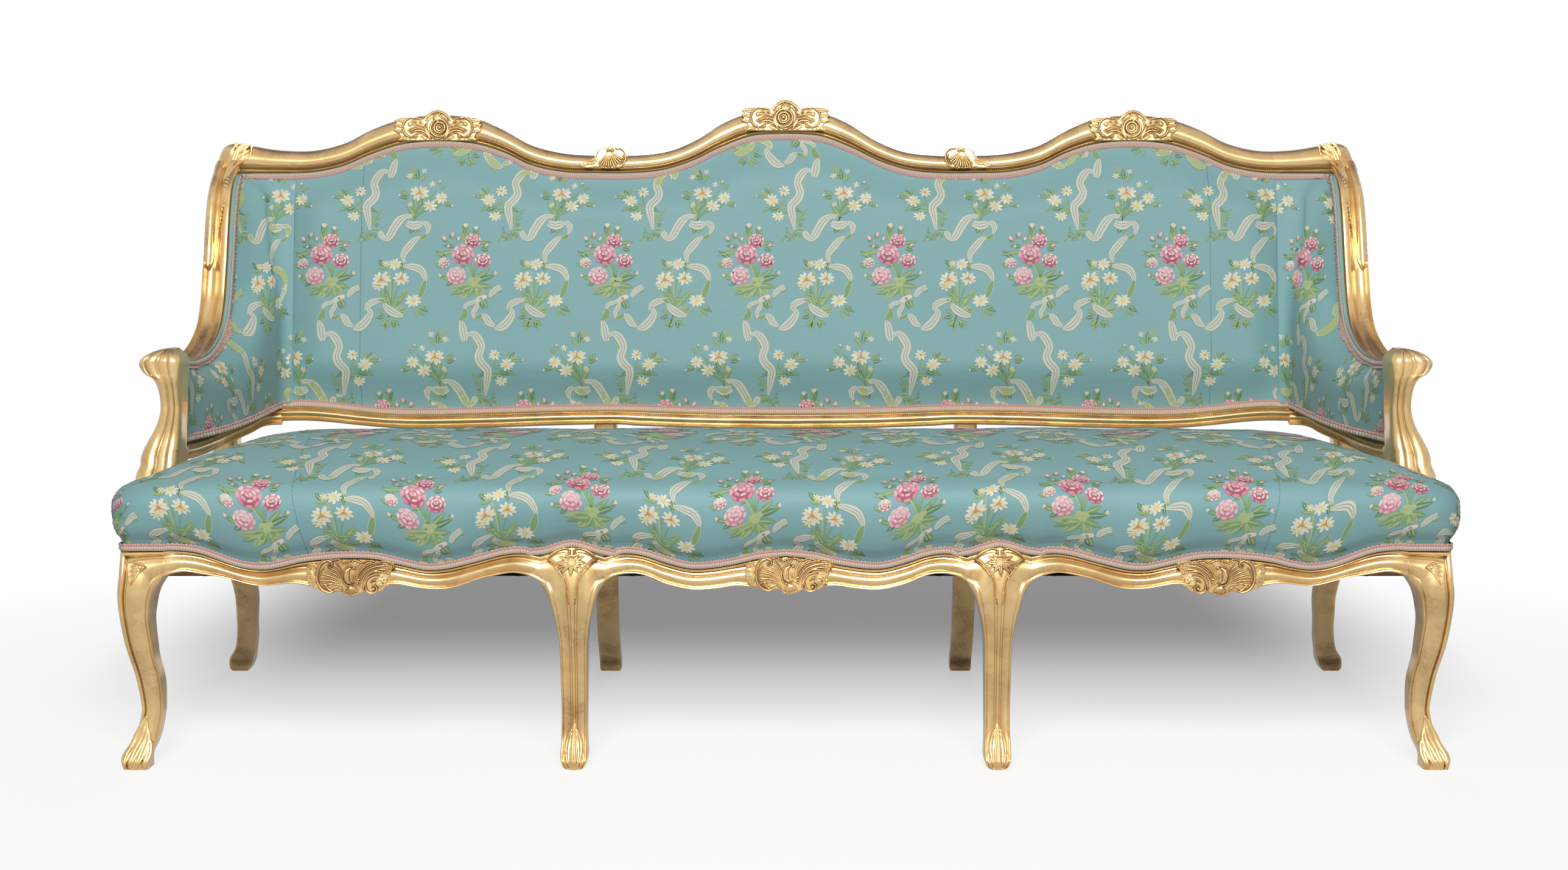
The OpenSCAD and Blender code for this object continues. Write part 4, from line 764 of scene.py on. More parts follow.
def armSupport(name):
    midX, rise = backHalf - board / 2, armZ - deck
    lines = {k: placed(support[k], board, rise, (midX, deck))[::-1] for k in ("outer", "inner")}
    lines.update({k: placed(support[k], support["deep"], rise, (support["set"], deck))[::-1]
                  for k in ("front", "rear")})
    rings = []
    for z in np.concatenate([np.linspace(sofa["sideTop"], .615, 120),
                             np.linspace(.617, support["head"], 26)]):
        at = {k: heightAt(v, z) for k, v in lines.items()}
        x0, x1, y0, y1 = at["inner"], at["outer"], railY + at["front"], railY + at["rear"]
        y1 = min(y1, railY + wingLine[-1, 0] - 0.0003) if z > 0.482 else y1
        t = max(0, (z - support["crown"]) / (support["head"] - support["crown"]))
        close = math.sqrt(1 - (.93 * t) ** 2)
        cx, cy = (x0 + x1) / 2, (y0 + y1) / 2
        hx, hy = (x1 - x0) / 2 * close, (y1 - y0) / 2 * mix(1, close, .6)
        a = np.radians(np.arange(0, 360, support["turn"]))
        c, s = np.cos(a), np.sin(a)
        r = (abs(c) ** support["square"] + abs(s) ** support["square"]) ** (-1 / support["square"])
        u, v = c * r, s * r
        dip = -.003 * np.clip(1 - ((u - .5) / .42) ** 2, 0, 1)
        for across, wide, deep, start in support["grooves"]:
            dip += deep / 1000 * np.exp(-((u - across) / wide) ** 2) * ease((z - start) / .02 + .01)
        rings.append(np.stack([cx + hx * u, cy + hy * v + dip * ease((-v - .78) / .15), np.full(len(a), z)],
                              1))
    # the support's upper faces carry the painted dark reflection
    return shadeAndHollowTone(smoothed(lofted(name, rings)), depth=0.002, topShade=0.6)


settlePair(armSupport("armSupportRight"), giltWood, "arm_support")

lowRail = {
    "top": [(.235, -.026), (.27, -.036), (.35, -.042), (.467, -.044), (.583, -.04), (.653, -.016), (.69, .01),
            (.73, .022)],
    "under": [(.235, -.076), (.27, -.086), (.35, -.094), (.467, -.096), (.583, -.09), (.653, -.066),
              (.69, -.042), (.73, -.034)]}


def wingBottomRail(name):
    side, foot = sofa["side"], footZ
    top, under = (placed(lowRail[k], side, foot, (0, foot)) for k in ("top", "under"))
    w, b, lowEnd = wingIn, board, bottomLine[-1, 0]
    inner = spaced(smoothLine([(w - b * .15, .2003), (w - b * .15, side * .53), (w - b * .28, side * .60),
                               (w - b * .8, side * .655), (mix(lowEnd, w, .3), side * .691),
                               (lowEnd, side * .70)], 8), 90)
    outer = spaced(smoothLine([(w + b * .4, .2003), (w + b * .5, side * .35), (w + b * .7, side * .55),
                               (w + b * .45, side * .65),
                               (w, side * .70), (mix(lowEnd, w, .5), side * .716), (lowEnd, side * .722)], 8),
                               90)
    s = np.linspace(0, 1, 24)
    depth = reliefAt(bottomRail["relief"], s)
    rings = []
    for a, c in zip(inner, outer):
        far = unit(c - a)
        z = mix(lineAt(under, a[1]), lineAt(top, a[1]), s)
        face = np.stack([a[0] + far[0] * depth, railY + a[1] + far[1] * depth, z], 1)
        rear = np.stack([c[0] + 0 * z, railY + c[1] + 0 * z, z], 1)[::-4]
        rings.append(np.concatenate([face, rear]))
    return shadeAndHollowTone(smoothed(lofted(name, rings)), depth=0.0040)


settlePair(wingBottomRail("wingBottomRailRight"), giltLow, "wing_bottom_rail")
print("wings made")

# carvings: low reliefs drawn on a fine grid in each panel's own small units, heights in millimetres
# metres for one unit of each drawing, across and down
carvingUnit = {"rail": (.1304e-3, .1323e-3), "crest": (.1521e-3, .1525e-3), "valley": (.1106e-3, .1112e-3),
               "knee": (.0947e-3, .0962e-3), "toe": (.2592e-3, .2645e-3),
               "corner": (0.265786452e-3, .2652e-3)}


class Relief:
    def __init__(self, left, top, right, foot, cell):
        self.x, self.y = np.meshgrid(np.arange(left, right + cell, cell), np.arange(top, foot + cell, cell))
        self.high = np.full(self.x.shape, -1.0)

    def raised(self, where, top):
        self.high = np.where(where, np.maximum(self.high, top), self.high)

    def dome(self, k, height, base):
        # k falls from 1 in the middle to 0 at the edge
        self.raised(k > 0, base + height * np.sqrt(np.clip(k, 0, 1)))

    def near(self, line):
        # distance of every place from a line, and the share along the line at which it is nearest
        best, share = np.full(self.x.shape, 1e9), np.zeros(self.x.shape)
        d = lengths(line)
        for a, b, s0, s1 in zip(line, line[1:], d, d[1:]):
            run = b - a
            t = np.clip(((self.x - a[0]) * run[0] + (self.y - a[1]) * run[1]) / (run @ run), 0, 1)
            q = np.hypot(self.x - a[0] - t * run[0], self.y - a[1] - t * run[1])
            closer = q < best
            best, share = np.where(closer, q, best), np.where(closer, mix(s0, s1, t) / d[-1], share)
        return best, share

    def rod(self, points, width, height, base=0.5, crease=0.0, flip=None):
        # a rounded band along a line, and its mirror image about flip; width and height may vary along it
        points = np.array(points, float)
        if flip is not None:
            self.rod(points, width, height, base, crease)
            points[:, 0] = 2 * flip - points[:, 0]
        line = smoothLine(points, 5) if len(points) > 2 else points
        dist, share = self.near(line)
        w = np.interp(share, np.linspace(0, 1, np.size(width)), np.atleast_1d(width)) / 2
        h = np.interp(share, np.linspace(0, 1, np.size(height)), np.atleast_1d(height))
        r = 1 - (dist / np.maximum(w, 1e-6)) ** 2
        middle = np.exp(-(dist / (.22 * np.maximum(w, 1e-6))) ** 2)
        self.raised(r > 0, base + h * np.sqrt(np.clip(r, 0, 1)) - crease * h * middle)

    def leaf(self, points, width, height, base=0.5, flip=None):
        # a pointed lobe with a sunk middle vein
        self.rod(points, [width * k for k in (.35, .85, 1, .9, .62, .22)],
                 [height * k for k in (.6, 1, 1, .9, .75, .4)],
                 base, .38, flip)

    def ground(self, outline, height, soft=14):
        # the flat of a panel inside its outline, eased down to the edge
        line = np.array([*outline, outline[0]], float)
        inside = np.zeros(self.x.shape, bool)
        for a, b in zip(line, line[1:]):
            crossed = (a[1] > self.y) != (b[1] > self.y)
            cut = (b[0] - a[0]) * (self.y - a[1]) / ((b[1] - a[1]) or 1e-9) + a[0]
            inside ^= crossed & (self.x < cut)
        edge = self.near(line)[0]
        self.raised(inside, .02 + height * ease(edge / soft))

    def cut(self, points, width, depth):
        line = smoothLine(points, 5) if len(points) > 2 else np.array(points, float)
        dist = self.near(line)[0]
        lower = np.maximum(self.high - depth * np.exp(-(dist / (width / 2)) ** 2), .02)
        self.high = np.where(self.high > 0, lower, self.high)

    def bead(self, x, y, r, height, base=.8):
        self.dome(1 - ((self.x - x) ** 2 + (self.y - y) ** 2) / r ** 2, height, base)

    def beads(self, points, count, r, height, base=.8):
        for x, y in spaced(smoothLine(points, 5), count):
            self.bead(x, y, r, height, base)

    def ring(self, x, y, r, width, height, base=.6, squeeze=1.0):
        a = np.linspace(0, 2 * math.pi, 33)
        dist = self.near(np.stack([x + r * np.cos(a), y + squeeze * r * np.sin(a)], 1))[0]
        self.dome(1 - (dist / (width / 2)) ** 2, height, base)


def carved(name, relief, place, thick=0.004):
    # keeps the part of the grid that is above the ground, sets it on the wood and closes its back
    high = relief.high.copy()
    high[[0, -1]], high[:, [0, -1]] = -1, -1
    kept = high > 0
    for axis in (0, 1):
        for step in (1, -1):
            kept &= np.roll(high > 0, step, axis) | (high > 0)
    low = np.zeros_like(kept)
    for axis in (0, 1):
        for step in (1, -1):
            low |= np.roll(~kept, step, axis)
    high = np.where(low, np.minimum(high, .15), high)
    piece = drawnGrid(name, place(relief.x, relief.y, np.maximum(high, 0) / 1000))
    chooseOnly(piece)
    piece.data.vertices.foreach_set("select", (~kept).reshape(-1))
    piece.data.edges.foreach_set("select", [False] * len(piece.data.edges))
    piece.data.polygons.foreach_set("select", [False] * len(piece.data.polygons))
    bpy.ops.object.mode_set(mode="EDIT")
    bpy.ops.mesh.select_mode(type="VERT")
    bpy.ops.mesh.delete(type="VERT")
    bpy.ops.mesh.select_all(action="SELECT")
    bpy.ops.mesh.extrude_region_move(TRANSFORM_OT_translate={"value": (0, thick, 0)})
    bpy.ops.mesh.select_all(action="SELECT")
    bpy.ops.mesh.normals_make_consistent(inside=False)
    bpy.ops.object.mode_set(mode="OBJECT")
    return shadeAndHollowTone(smoothed(piece, 50), spread=5, depth=0.0011)


def shellwork():
    # the asymmetric shell and scrolls at the middle of each front rail
    r = Relief(150, 180, 1240, 660, 4.4)
    r.ground([(170, 300), (185, 262), (235, 245), (290, 262), (350, 212), (430, 203), (520, 198), (620, 222),
              (700, 200), (790, 205), (850, 230), (930, 205), (1010, 230), (1090, 212), (1200, 232),
              (1218, 290), (1172, 335), (1165, 400), (1122, 440), (1118, 510), (1060, 572), (960, 607),
              (900, 605), (850, 582), (810, 602), (770, 622), (700, 638), (620, 628), (588, 590), (555, 577),
              (500, 592), (440, 608), (370, 592), (300, 550), (245, 545), (200, 500), (168, 430), (172, 360)],
              1.3)
    # the small leaf outside the left scroll
    r.rod([(285, 300), (255, 262), (215, 262), (190, 290), (212, 312), (236, 296)],
          [14, 20, 20, 18, 14, 8], 2.6)
    for tip, bend in (((180, 372), (230, 350)), ((172, 425), (225, 400)), ((195, 485), (235, 445)),
                      ((240, 532), (262, 480))):
        r.leaf([(288, 400), bend, tip], 46, 2.6)
    # left scroll with its inner band
    r.rod([(440, 214), (370, 236), (322, 300), (300, 400), (314, 490), (370, 560), (450, 588), (505, 560)],
          [20, 34, 30, 24, 26, 30, 30, 14], [3.2, 4.6, 4.2, 3.4, 3.6, 4.0, 3.6, 2.2], .8)
    r.rod([(385, 300), (345, 350), (334, 430), (352, 505), (405, 552)], [8, 14, 14, 14, 8], 2.6, .8)
    r.rod([(420, 212), (462, 226), (482, 262), (462, 296), (436, 284), (446, 262)],
          [22, 26, 22, 18, 14, 10], 4.0, 1.0)
    r.rod([(470, 575), (430, 545), (400, 500), (372, 480)], [10, 26, 22, 8], 3.0, .8)
    r.leaf([(440, 590), (470, 545), (530, 520), (570, 530)], 34, 3.0)
    # ribs that fan out from the kidney's foot
    for a, b in (((352, 372), (585, 462)), ((345, 448), (565, 486)), ((362, 500), (560, 505)),
                 ((395, 330), (592, 436)),
                 ((455, 300), (600, 410)), ((500, 268), (606, 384))):
        c = ((a[0] + b[0]) / 2 + 6, (a[1] + b[1]) / 2 - 16)
        r.rod([a, c, b], [16, 20, 16, 8], [2.2, 3.0, 2.4, 1.4], .7)
    for a, b in (((350, 412), (560, 474)), ((520, 232), (612, 350))):
        r.beads([a, ((a[0] + b[0]) / 2, (a[1] + b[1]) / 2 - 8), b], 9, 9, 2.4, .8)
    for x in (566, 604, 642, 682, 722):
        r.rod([(x, 226), (mix(x, 660, .35), 256), (mix(x, 668, .6), 290)], [22, 16, 8], [2.4, 1.8, 1.0], .6)
    # the kidney in its ring
    r.rod([(712, 286), (648, 300), (606, 372), (606, 450), (640, 502), (702, 512), (726, 470)],
          [10, 16, 18, 18, 18, 16, 8], 3.2, .8)
    r.rod([(692, 306), (656, 336), (645, 400), (656, 455), (688, 480)], [26, 56, 70, 62, 30],
          [3.0, 5.4, 6.2, 5.6, 3.4], .8)
    r.cut([(668, 330), (660, 400), (668, 450)], 22, .7)
    r.bead(733, 302, 17, 4.4)
    for a in (-1.9, -1.45, -1.0, -.55, -.1, .35):
        r.rod([(735, 470), (735 + 52 * math.cos(a), 470 + 62 * math.sin(a)),
               (735 + 84 * math.cos(a + .12), 470 + 104 * math.sin(a + .12))],
              [10, 20, 8], [1.6, 3.0, 1.6], .7)
    # bands sweeping up to the right, with beads between the first two
    for path, w in (([(775, 440), (800, 360), (868, 288), (950, 252), (1060, 246)], 18),
                    ([(800, 486), (838, 388), (912, 318), (1010, 282), (1120, 272), (1200, 262)], 24),
                    ([(838, 522), (868, 424), (932, 358), (1030, 318), (1120, 316), (1180, 300)], 22),
                    ([(900, 380), (970, 340), (1060, 345), (1132, 358)], 20)):
        r.rod(path, [w * .5, w, w, w * .9, w * .6], [2.2, 3.8, 3.8, 3.2, 2.4], .8)
    r.beads([(792, 440), (822, 372), (890, 302), (960, 272)], 8, 10, 2.6, .9)
    for x0, x1 in ((790, 742), (836, 758), (890, 776)):
        r.rod([(x0, 246), (mix(x0, x1, .5), 300), (x1, 372)], [20, 18, 8], [2.2, 2.0, 1.0], .6)
    r.bead(1136, 360, 19, 4.0)
    r.bead(1197, 246, 22, 4.2)
    # right scroll with its leaf
    r.rod([(845, 560), (862, 480), (898, 416), (960, 384), (1030, 380)], [16, 24, 24, 22, 10], 3.8, .8)
    r.rod([(872, 500), (880, 560), (925, 596), (985, 582), (1004, 540), (978, 510), (944, 522)],
          [12, 22, 28, 28, 22, 18, 10], 4.0, .9)
    r.bead(962, 545, 20, 4.6)
    for tip in ((1062, 392), (1104, 424), (1112, 472), (1090, 520), (1048, 552)):
        r.leaf([(985, 470), ((985 + tip[0]) / 2 + 8, (470 + tip[1]) / 2 - 10), tip], 44, 3.6)
    r.rod([(930, 470), (985, 436), (1040, 446), (1076, 474)], [10, 18, 16, 8], 3.4, 1.2)
    r.bead(1128, 505, 17, 3.4)
    # drop of small lobes under the kidney
    for tip, w in (((622, 598), 44), ((658, 614), 44), ((700, 622), 46), ((742, 612), 44), ((786, 590), 46)):
        r.leaf([(705, 520), ((705 + tip[0]) / 2, (520 + tip[1]) / 2), tip], w, 4.0, .8)
    r.rod([(545, 520), (575, 540), (600, 572)], [14, 24, 10], 2.8, .8)
    # rippled rim
    r.rod([(470, 222), (520, 204), (575, 208), (628, 234), (692, 210), (762, 212), (832, 240), (898, 214),
           (962, 218), (1012, 240), (1082, 222), (1150, 232), (1204, 258), (1196, 300)],
           [16, 20, 20, 20, 20, 20, 16], 3.6, .9)
    return r


def onRail(centre, drop):
    def place(x, y, high):
        a, b = carvingUnit["rail"]
        return np.stack([centre + (x - 692) * a, railY - .0012 - high, .3298 + drop - (y - 200) * b], -1)
    return place


railShell = shellwork()
settle(carved("railCarvingMiddle", railShell, onRail(.0056, 0)),
       giltCarved, "gilt_wood", "rail_carving_middle")
settlePair(carved("railCarvingLeft", railShell, onRail(-.667, -.003)), giltCarved, "rail_carving")


def crestwork():
    # the hump of the crest: a rosette between two scrolls, drawn left and mirrored
    r = Relief(240, 112, 1330, 520, 4.6)
    m = 785
    half = [(785, 126), (718, 140), (660, 182), (612, 238), (560, 222), (480, 216), (400, 222), (330, 228),
            (268, 252), (296, 290), (262, 300), (290, 345), (262, 372), (330, 420), (348, 452),
            (318, 496), (500, 500), (785, 496)]
    r.ground(half + [(2 * m - x, y) for x, y in half[-2:0:-1]], 1.6)
    # leaf tips at both ends
    for points, w in (([(420, 262), (350, 258), (280, 258)], 46), ([(400, 330), (345, 322), (276, 316)], 40),
                      ([(400, 380), (345, 385), (276, 372)], 40), ([(440, 470), (385, 462), (330, 488)], 40)):
        r.leaf(points, w, 2.8, flip=m)
    # scroll ring
    r.rod([(604, 300), (580, 248), (520, 226), (452, 232), (398, 272), (378, 335), (396, 405), (446, 448),
           (506, 456), (534, 432)],
          [10, 16, 18, 20, 20, 20, 20, 20, 18, 14],
          [2.2, 3.0, 3.4, 3.8, 3.8, 3.8, 3.8, 3.8, 3.4, 3.0], .9, flip=m)
    for x in (536, 2 * m - 536):
        r.bead(x, 444, 17, 4.0)
    # leaf curled inside the ring
    for points, w in (([(626, 316), (560, 270), (500, 262), (446, 290)], 44),
                      ([(626, 322), (560, 300), (490, 300), (432, 330)], 34)):
        r.leaf(points, w, 3.2, flip=m)
    for k in (1, -1):
        r.bead(m + k * (462 - m), 300, 26, 3.0)
        r.cut([(m + k * (580 - m), 286), (m + k * (590 - m), 296)], 26, 2.2)
    # beaded bands running in to the rosette
    r.rod([(450, 392), (520, 352), (590, 346), (646, 366)], [10, 18, 18, 12], 2.6, .9, flip=m)
    for k in (1, -1):
        r.beads([(m + k * (440 - m), 372), (m + k * (520 - m), 334), (m + k * (622 - m), 336)], 11, 8, 2.0,
                1.2)
    r.rod([(470, 410), (530, 380), (600, 380), (664, 420), (690, 470)], [10, 22, 22, 20, 10], 3.2, .9, flip=m)
    r.rod([(500, 440), (560, 408), (620, 412), (664, 452)], [8, 18, 18, 10], 2.6, .8, flip=m)
    r.leaf([(670, 484), (620, 452), (565, 444)], 36, 2.8, flip=m)
    r.leaf([(560, 484), (500, 478), (420, 482)], 26, 2.2, flip=m)
    r.rod([(632, 306), (644, 372), (680, 424), (712, 486)], [12, 20, 20, 14], 3.2, .9, flip=m)
    # egg-shaped frame, its rings and the knob
    egg = [(785, 480), (716, 446), (668, 390), (652, 326), (672, 262), (716, 220)]
    r.rod(egg, [18, 18, 18, 16, 14, 8], [3.6, 3.6, 3.4, 3.0, 2.4, 1.6], 1.0, flip=m)
    r.ring(768, 345, 100, 22, 3.2, 1.0, 1.02)
    r.ring(764, 342, 62, 26, 4.0, 1.2)
    r.bead(760, 340, 24, 4.6, 1.4)
    r.rod([(700, 440), (785, 468), (868, 440)], [8, 20, 8], 2.4, 1.0)
    # rim of the hump and the tuft of petals under it
    r.rod([(640, 262), (672, 214), (722, 172), (785, 152)], [10, 18, 20, 20],
          [2.2, 3.2, 3.4, 3.4], .9, flip=m)
    for tip in ((728, 214), (738, 184), (762, 166), (792, 158), (822, 170), (842, 192), (846, 222)):
        r.leaf([(784, 248), ((784 + tip[0]) / 2, (248 + tip[1]) / 2), tip], 36, 3.8, 1.0)
    for x, y in ((758, 196), (786, 186), (814, 196), (770, 214), (800, 214)):
        r.bead(x, y, 11, 4.0, 1.2)
    r.leaf([(784, 300), (784, 262), (780, 232)], 36, 3.2, 1.0)
    return r


def onCrest(centre, top):
    def place(x, y, high):
        a, b = carvingUnit["crest"]
        return onBack(centre + (x - 785) * a, upSlope(top) - (y - 126) * b, -crest["step"] - .0016 - high)
    return place


crestShell = crestwork()
settle(carved("crestCarvingMiddle", crestShell, onCrest(0, 1.0534), .011),
       giltCarved, "gilt_wood", "crest_carving_middle")
settlePair(carved("crestCarvingRight", crestShell, onCrest(.620, 1.0356), .011), giltCarved, "crest_carving")


def valleywork():
    # the shell with a trailing leaf in each valley of the crest
    r = Relief(140, 205, 970, 590, 4.8)
    r.ground([(170, 492), (230, 462), (330, 452), (410, 400), (452, 320), (500, 252), (590, 226), (700, 220),
              (830, 232), (905, 268), (940, 360), (922, 455), (862, 542), (760, 566), (640, 566), (560, 550),
              (440, 540), (300, 560), (200, 530)], 1.4)
    for tip in ((178, 492), (196, 520), (250, 545)):
        r.leaf([(470, 400), (400, 470), (300, 486), tip], 48, 2.8)
    r.rod([(470, 270), (440, 360), (380, 430), (300, 462)], [14, 26, 24, 10], 2.6)
    for tip in ((500, 470), (530, 500), (566, 516), (604, 522), (642, 528), (684, 524), (726, 516),
                (770, 500), (806, 478), (838, 448), (852, 410)):
        r.rod([(650, 296), (mix(650, tip[0], .5), mix(296, tip[1], .5) - 6), tip],
              [12, 22, 30], [1.6, 3.0, 3.4], .8)
    r.rod([(480, 480), (520, 540), (600, 556), (700, 556)], [10, 20, 20, 10], 2.6, .8)
    r.bead(636, 272, 27, 4.0)
    r.bead(702, 270, 27, 4.0)
    r.rod([(760, 242), (840, 246), (900, 296), (922, 370), (906, 450), (852, 528), (780, 552), (722, 536)],
          [16, 26, 28, 28, 28, 26, 22, 12], 4.0, .9)
    r.rod([(870, 330), (884, 390), (866, 450), (822, 502)], [8, 14, 14, 8], 3.0, .8)
    r.bead(745, 528, 22, 4.2)
    for x, y in ((600, 544), (656, 548), (560, 530)):
        r.bead(x, y, 14, 3.0)
    return r


def onValley(x, y, high):
    a, b = carvingUnit["valley"]
    return onBack(-.3245 + (x - 560) * a, upSlope(.9685) - (y - 220) * b, -crest["step"] - .0010 - high)


settlePair(carved("crestShellLeft", valleywork(), onValley, .005), giltCarved, "crest_shell")


def kneework():
    # the cartouche of an inner leg: two curled leaf tips over a flower on a smooth shield
    r = Relief(-10, -10, 870, 960, 5.6)
    half = [(430, 40), (330, 12), (230, 22), (110, 90), (14, 190), (110, 250), (215, 340), (290, 450),
            (338, 600), (372, 760), (400, 930)]
    r.ground(half + [(860 - x, y) for x, y in half[:0:-1]], 1.6, 60)
    r.rod([(20, 196), (120, 100), (230, 42), (330, 28), (382, 62), (376, 104), (350, 96)],
          [16, 34, 40, 38, 26, 20, 10], [2.0, 3.6, 4.2, 4.4, 4.6, 4.0, 2.4], 1.0, flip=430)
    r.rod([(60, 196), (140, 140), (240, 96), (330, 92)], [6, 10, 12, 8], 2.0, 1.2, flip=430)
    r.leaf([(412, 122), (392, 96), (404, 50)], 34, 4.4, 1.2, flip=430)
    for side in (-1, 1):
        r.rod([(430 + side * 410, 215), (430 + side * 290, 292), (430 + side * 178, 410),
               (430 + side * 112, 560), (430 + side * 78, 720), (430 + side * 56, 920)],
               [12, 22, 22, 20, 18, 14], [1.6, 2.2, 2.4, 2.4, 2.2, 1.6], .6)
    for tip, w in (((206, 250), 76), ((232, 150), 56), ((330, 392), 74), ((446, 452), 78),
                   ((590, 392), 74), ((704, 262), 78),
                   ((640, 150), 58), ((530, 120), 46), ((318, 124), 46), ((262, 330), 54), ((668, 338), 50)):
        r.leaf([(430, 232), (mix(430, tip[0], .55), mix(232, tip[1], .55)), tip], w, 3.4, 1.4)
    r.bead(432, 234, 84, 3.0, 2.4)
    for ring, count in ((58, 13), (34, 8), (0, 1)):
        for k in range(count):
            a = 2 * math.pi * k / count
            r.bead(432 + ring * math.cos(a), 234 + ring * math.sin(a), 13, 1.0,
                   2.4 + 2.7 * math.sqrt(1 - (ring / 90) ** 2))
    return r


def onKnee(x, y, high):
    a, b = carvingUnit["knee"]
    dx, z = (x - 430) * a, .3452 - (y - 14) * b
    bow = heightAt(legFront, z) * mix(1, .40, np.clip(abs(dx) / .042, 0, 1) ** 2)
    return np.stack([legX + dx, railY + bow - .0004 - high, z], -1)


kneeRight = carved("kneeRight", kneework(), onKnee, .005)
settle(joined("kneeFlowers", [kneeRight, mirrored(kneeRight, "kneeLeft")]),
       giltCarved, "gilt_wood", "knee_flowers")


def toework():
    # acanthus over the toe of an inner leg
    r = Relief(240, 1140, 432, 1475, 2.2)
    r.leaf([(335, 1300), (300, 1330), (274, 1400), (276, 1462)], 46, 3.4, .3)
    r.leaf([(335, 1300), (372, 1330), (396, 1400), (394, 1462)], 46, 3.4, .3)
    r.leaf([(335, 1230), (305, 1280), (292, 1350), (306, 1465)], 50, 3.8, .5)
    r.leaf([(335, 1230), (366, 1280), (380, 1350), (364, 1465)], 50, 3.8, .5)
    r.rod([(335, 1160), (334, 1200), (334, 1260), (335, 1330), (335, 1400), (335, 1468)],
          [6, 30, 52, 54, 50, 44], [1.0, 3.0, 4.2, 4.6, 4.8, 4.0], .6, .3)
    for x in (320, 350):
        r.cut([(mix(335, x, .4), 1200), (x, 1290), (x, 1380), (mix(335, x, .8), 1460)], 8, 1.0)
    for x, y in ((292, 1296), (378, 1296), (272, 1372), (398, 1372)):
        r.bead(x, y, 9, 2.2, .8)
    return r


def onToe(x, y, high):
    a, b = carvingUnit["toe"]
    z = np.maximum((1466 - y) * b, 0.0002)
    bow = heightAt(legFront, z)
    dx = (x - 335) * a * mix(.52, .92, ease((z + .003) / .022))
    return np.stack([legX + dx, railY + bow + .0010 + 22 * dx ** 2 - high * mix(.3, 1, ease(z / .016)), z],
                    -1)


def cornerwork():
    # leaf at the top of a corner leg and acanthus over its toe
    top = Relief(176, 192, 316, 350, 1.9)
    top.ground([(186, 205), (228, 203), (262, 212), (300, 232), (262, 262), (236, 300), (212, 336),
                (196, 322), (188, 270)], 1.2, 6)
    top.rod([(188, 208), (230, 208), (268, 218), (298, 234)], [6, 10, 10, 5], 2.2)
    top.rod([(296, 236), (258, 266), (234, 302), (212, 336)], [5, 9, 9, 5], 2.2)
    for tip in ((204, 232), (200, 262), (204, 292), (212, 322)):
        top.leaf([(262, 236), (mix(262, tip[0], .5) + 4, mix(236, tip[1], .5) - 4), tip], 22, 2.6)
    top.bead(262, 234, 13, 2.8)
    top.bead(240, 226, 8, 2.6)
    toe = Relief(120, 1112, 330, 1440, 2.2)
    toe.leaf([(262, 1125), (236, 1190), (196, 1280), (160, 1340), (146, 1405)], 60, 3.4, .4)
    toe.leaf([(262, 1150), (252, 1230), (212, 1310), (184, 1380), (176, 1430)], 56, 4.0, .5)
    toe.leaf([(262, 1170), (268, 1250), (244, 1330), (222, 1390), (214, 1432)], 52, 4.0, .5)
    toe.leaf([(280, 1240), (284, 1310), (270, 1370), (254, 1428)], 46, 3.2, .4)
    toe.rod([(262, 1120), (268, 1180), (280, 1240)], [5, 10, 5], 2.4)
    return top, toe


def onCorner(x, y, high):
    a, b = carvingUnit["corner"]
    z = np.maximum((1424 - y) * b, 0.0002)
    bow = heightAt(legFront, z) * mix(1, .55, ease((z - .26) / .08))
    return np.stack([1.056788 - x * a, railY + bow + .0008 - high * mix(.55, 1, ease(z / .02)), z], -1)


def shoulderwork():
    # the acanthus that wraps the corner where the crest meets a wing
    r = Relief(150, 190, 306, 440, 2.2)
    r.leaf([(268, 206), (240, 222), (212, 256), (190, 312), (176, 372), (168, 426)], 40, 3.2, 1.0)
    for tips in (((292, 216), (268, 228), (236, 252)), ((294, 244), (266, 254), (228, 284)),
                 ((288, 276), (258, 284), (220, 312)),
                 ((262, 300), (236, 312), (208, 340)), ((240, 200), (216, 206), (194, 232)),
                 ((206, 222), (186, 244), (178, 280)),
                 ((226, 330), (206, 346), (190, 372)), ((206, 362), (192, 378), (180, 402))):
        r.leaf(tips[::-1], 24, 3.0, 1.2)
    r.rod([(296, 208), (300, 240), (292, 276), (270, 300)], [8, 12, 12, 6], 2.6, 1.0)
    return r


def onShoulder(x, y, high):
    # over the crest's end and down the front of the wing rail
    across = 0.0028 + (958 - x / 3.647) * 1.084e-3
    z = 1.0534 - (11.8 + y / 3.647) * 1.128e-3
    level = upSlope(z)
    crestFace = onBack(across, level, -crest["step"])[..., 1]
    wingFront = railY + heightAt(wingLine[::-1], z)
    ahead = np.where(z > wingJoin[1], crestFace, wingFront)
    return np.stack([across, ahead + .0008 - high * .6, z], -1)


settlePair(carved("shoulderLeavesRight", shoulderwork(), onShoulder, .010), giltCarved)
cornerTop, cornerToe = cornerwork()
toeRight = carved("toeRight", toework(), onToe, .006)
cornerRight = joined("cornerRight", [
    carved("cornerTop", cornerTop, onCorner, .004), carved("cornerToe", cornerToe, onCorner, .006)])
settle(joined("toeLeaves", [toeRight, mirrored(toeRight, "toeLeft")]), giltCarved, "gilt_wood")
settle(joined("cornerLeaves", [cornerRight, mirrored(cornerRight, "cornerLeft")]),
       giltCarved, "gilt_wood", "corner_leaves")
print("carvings made")

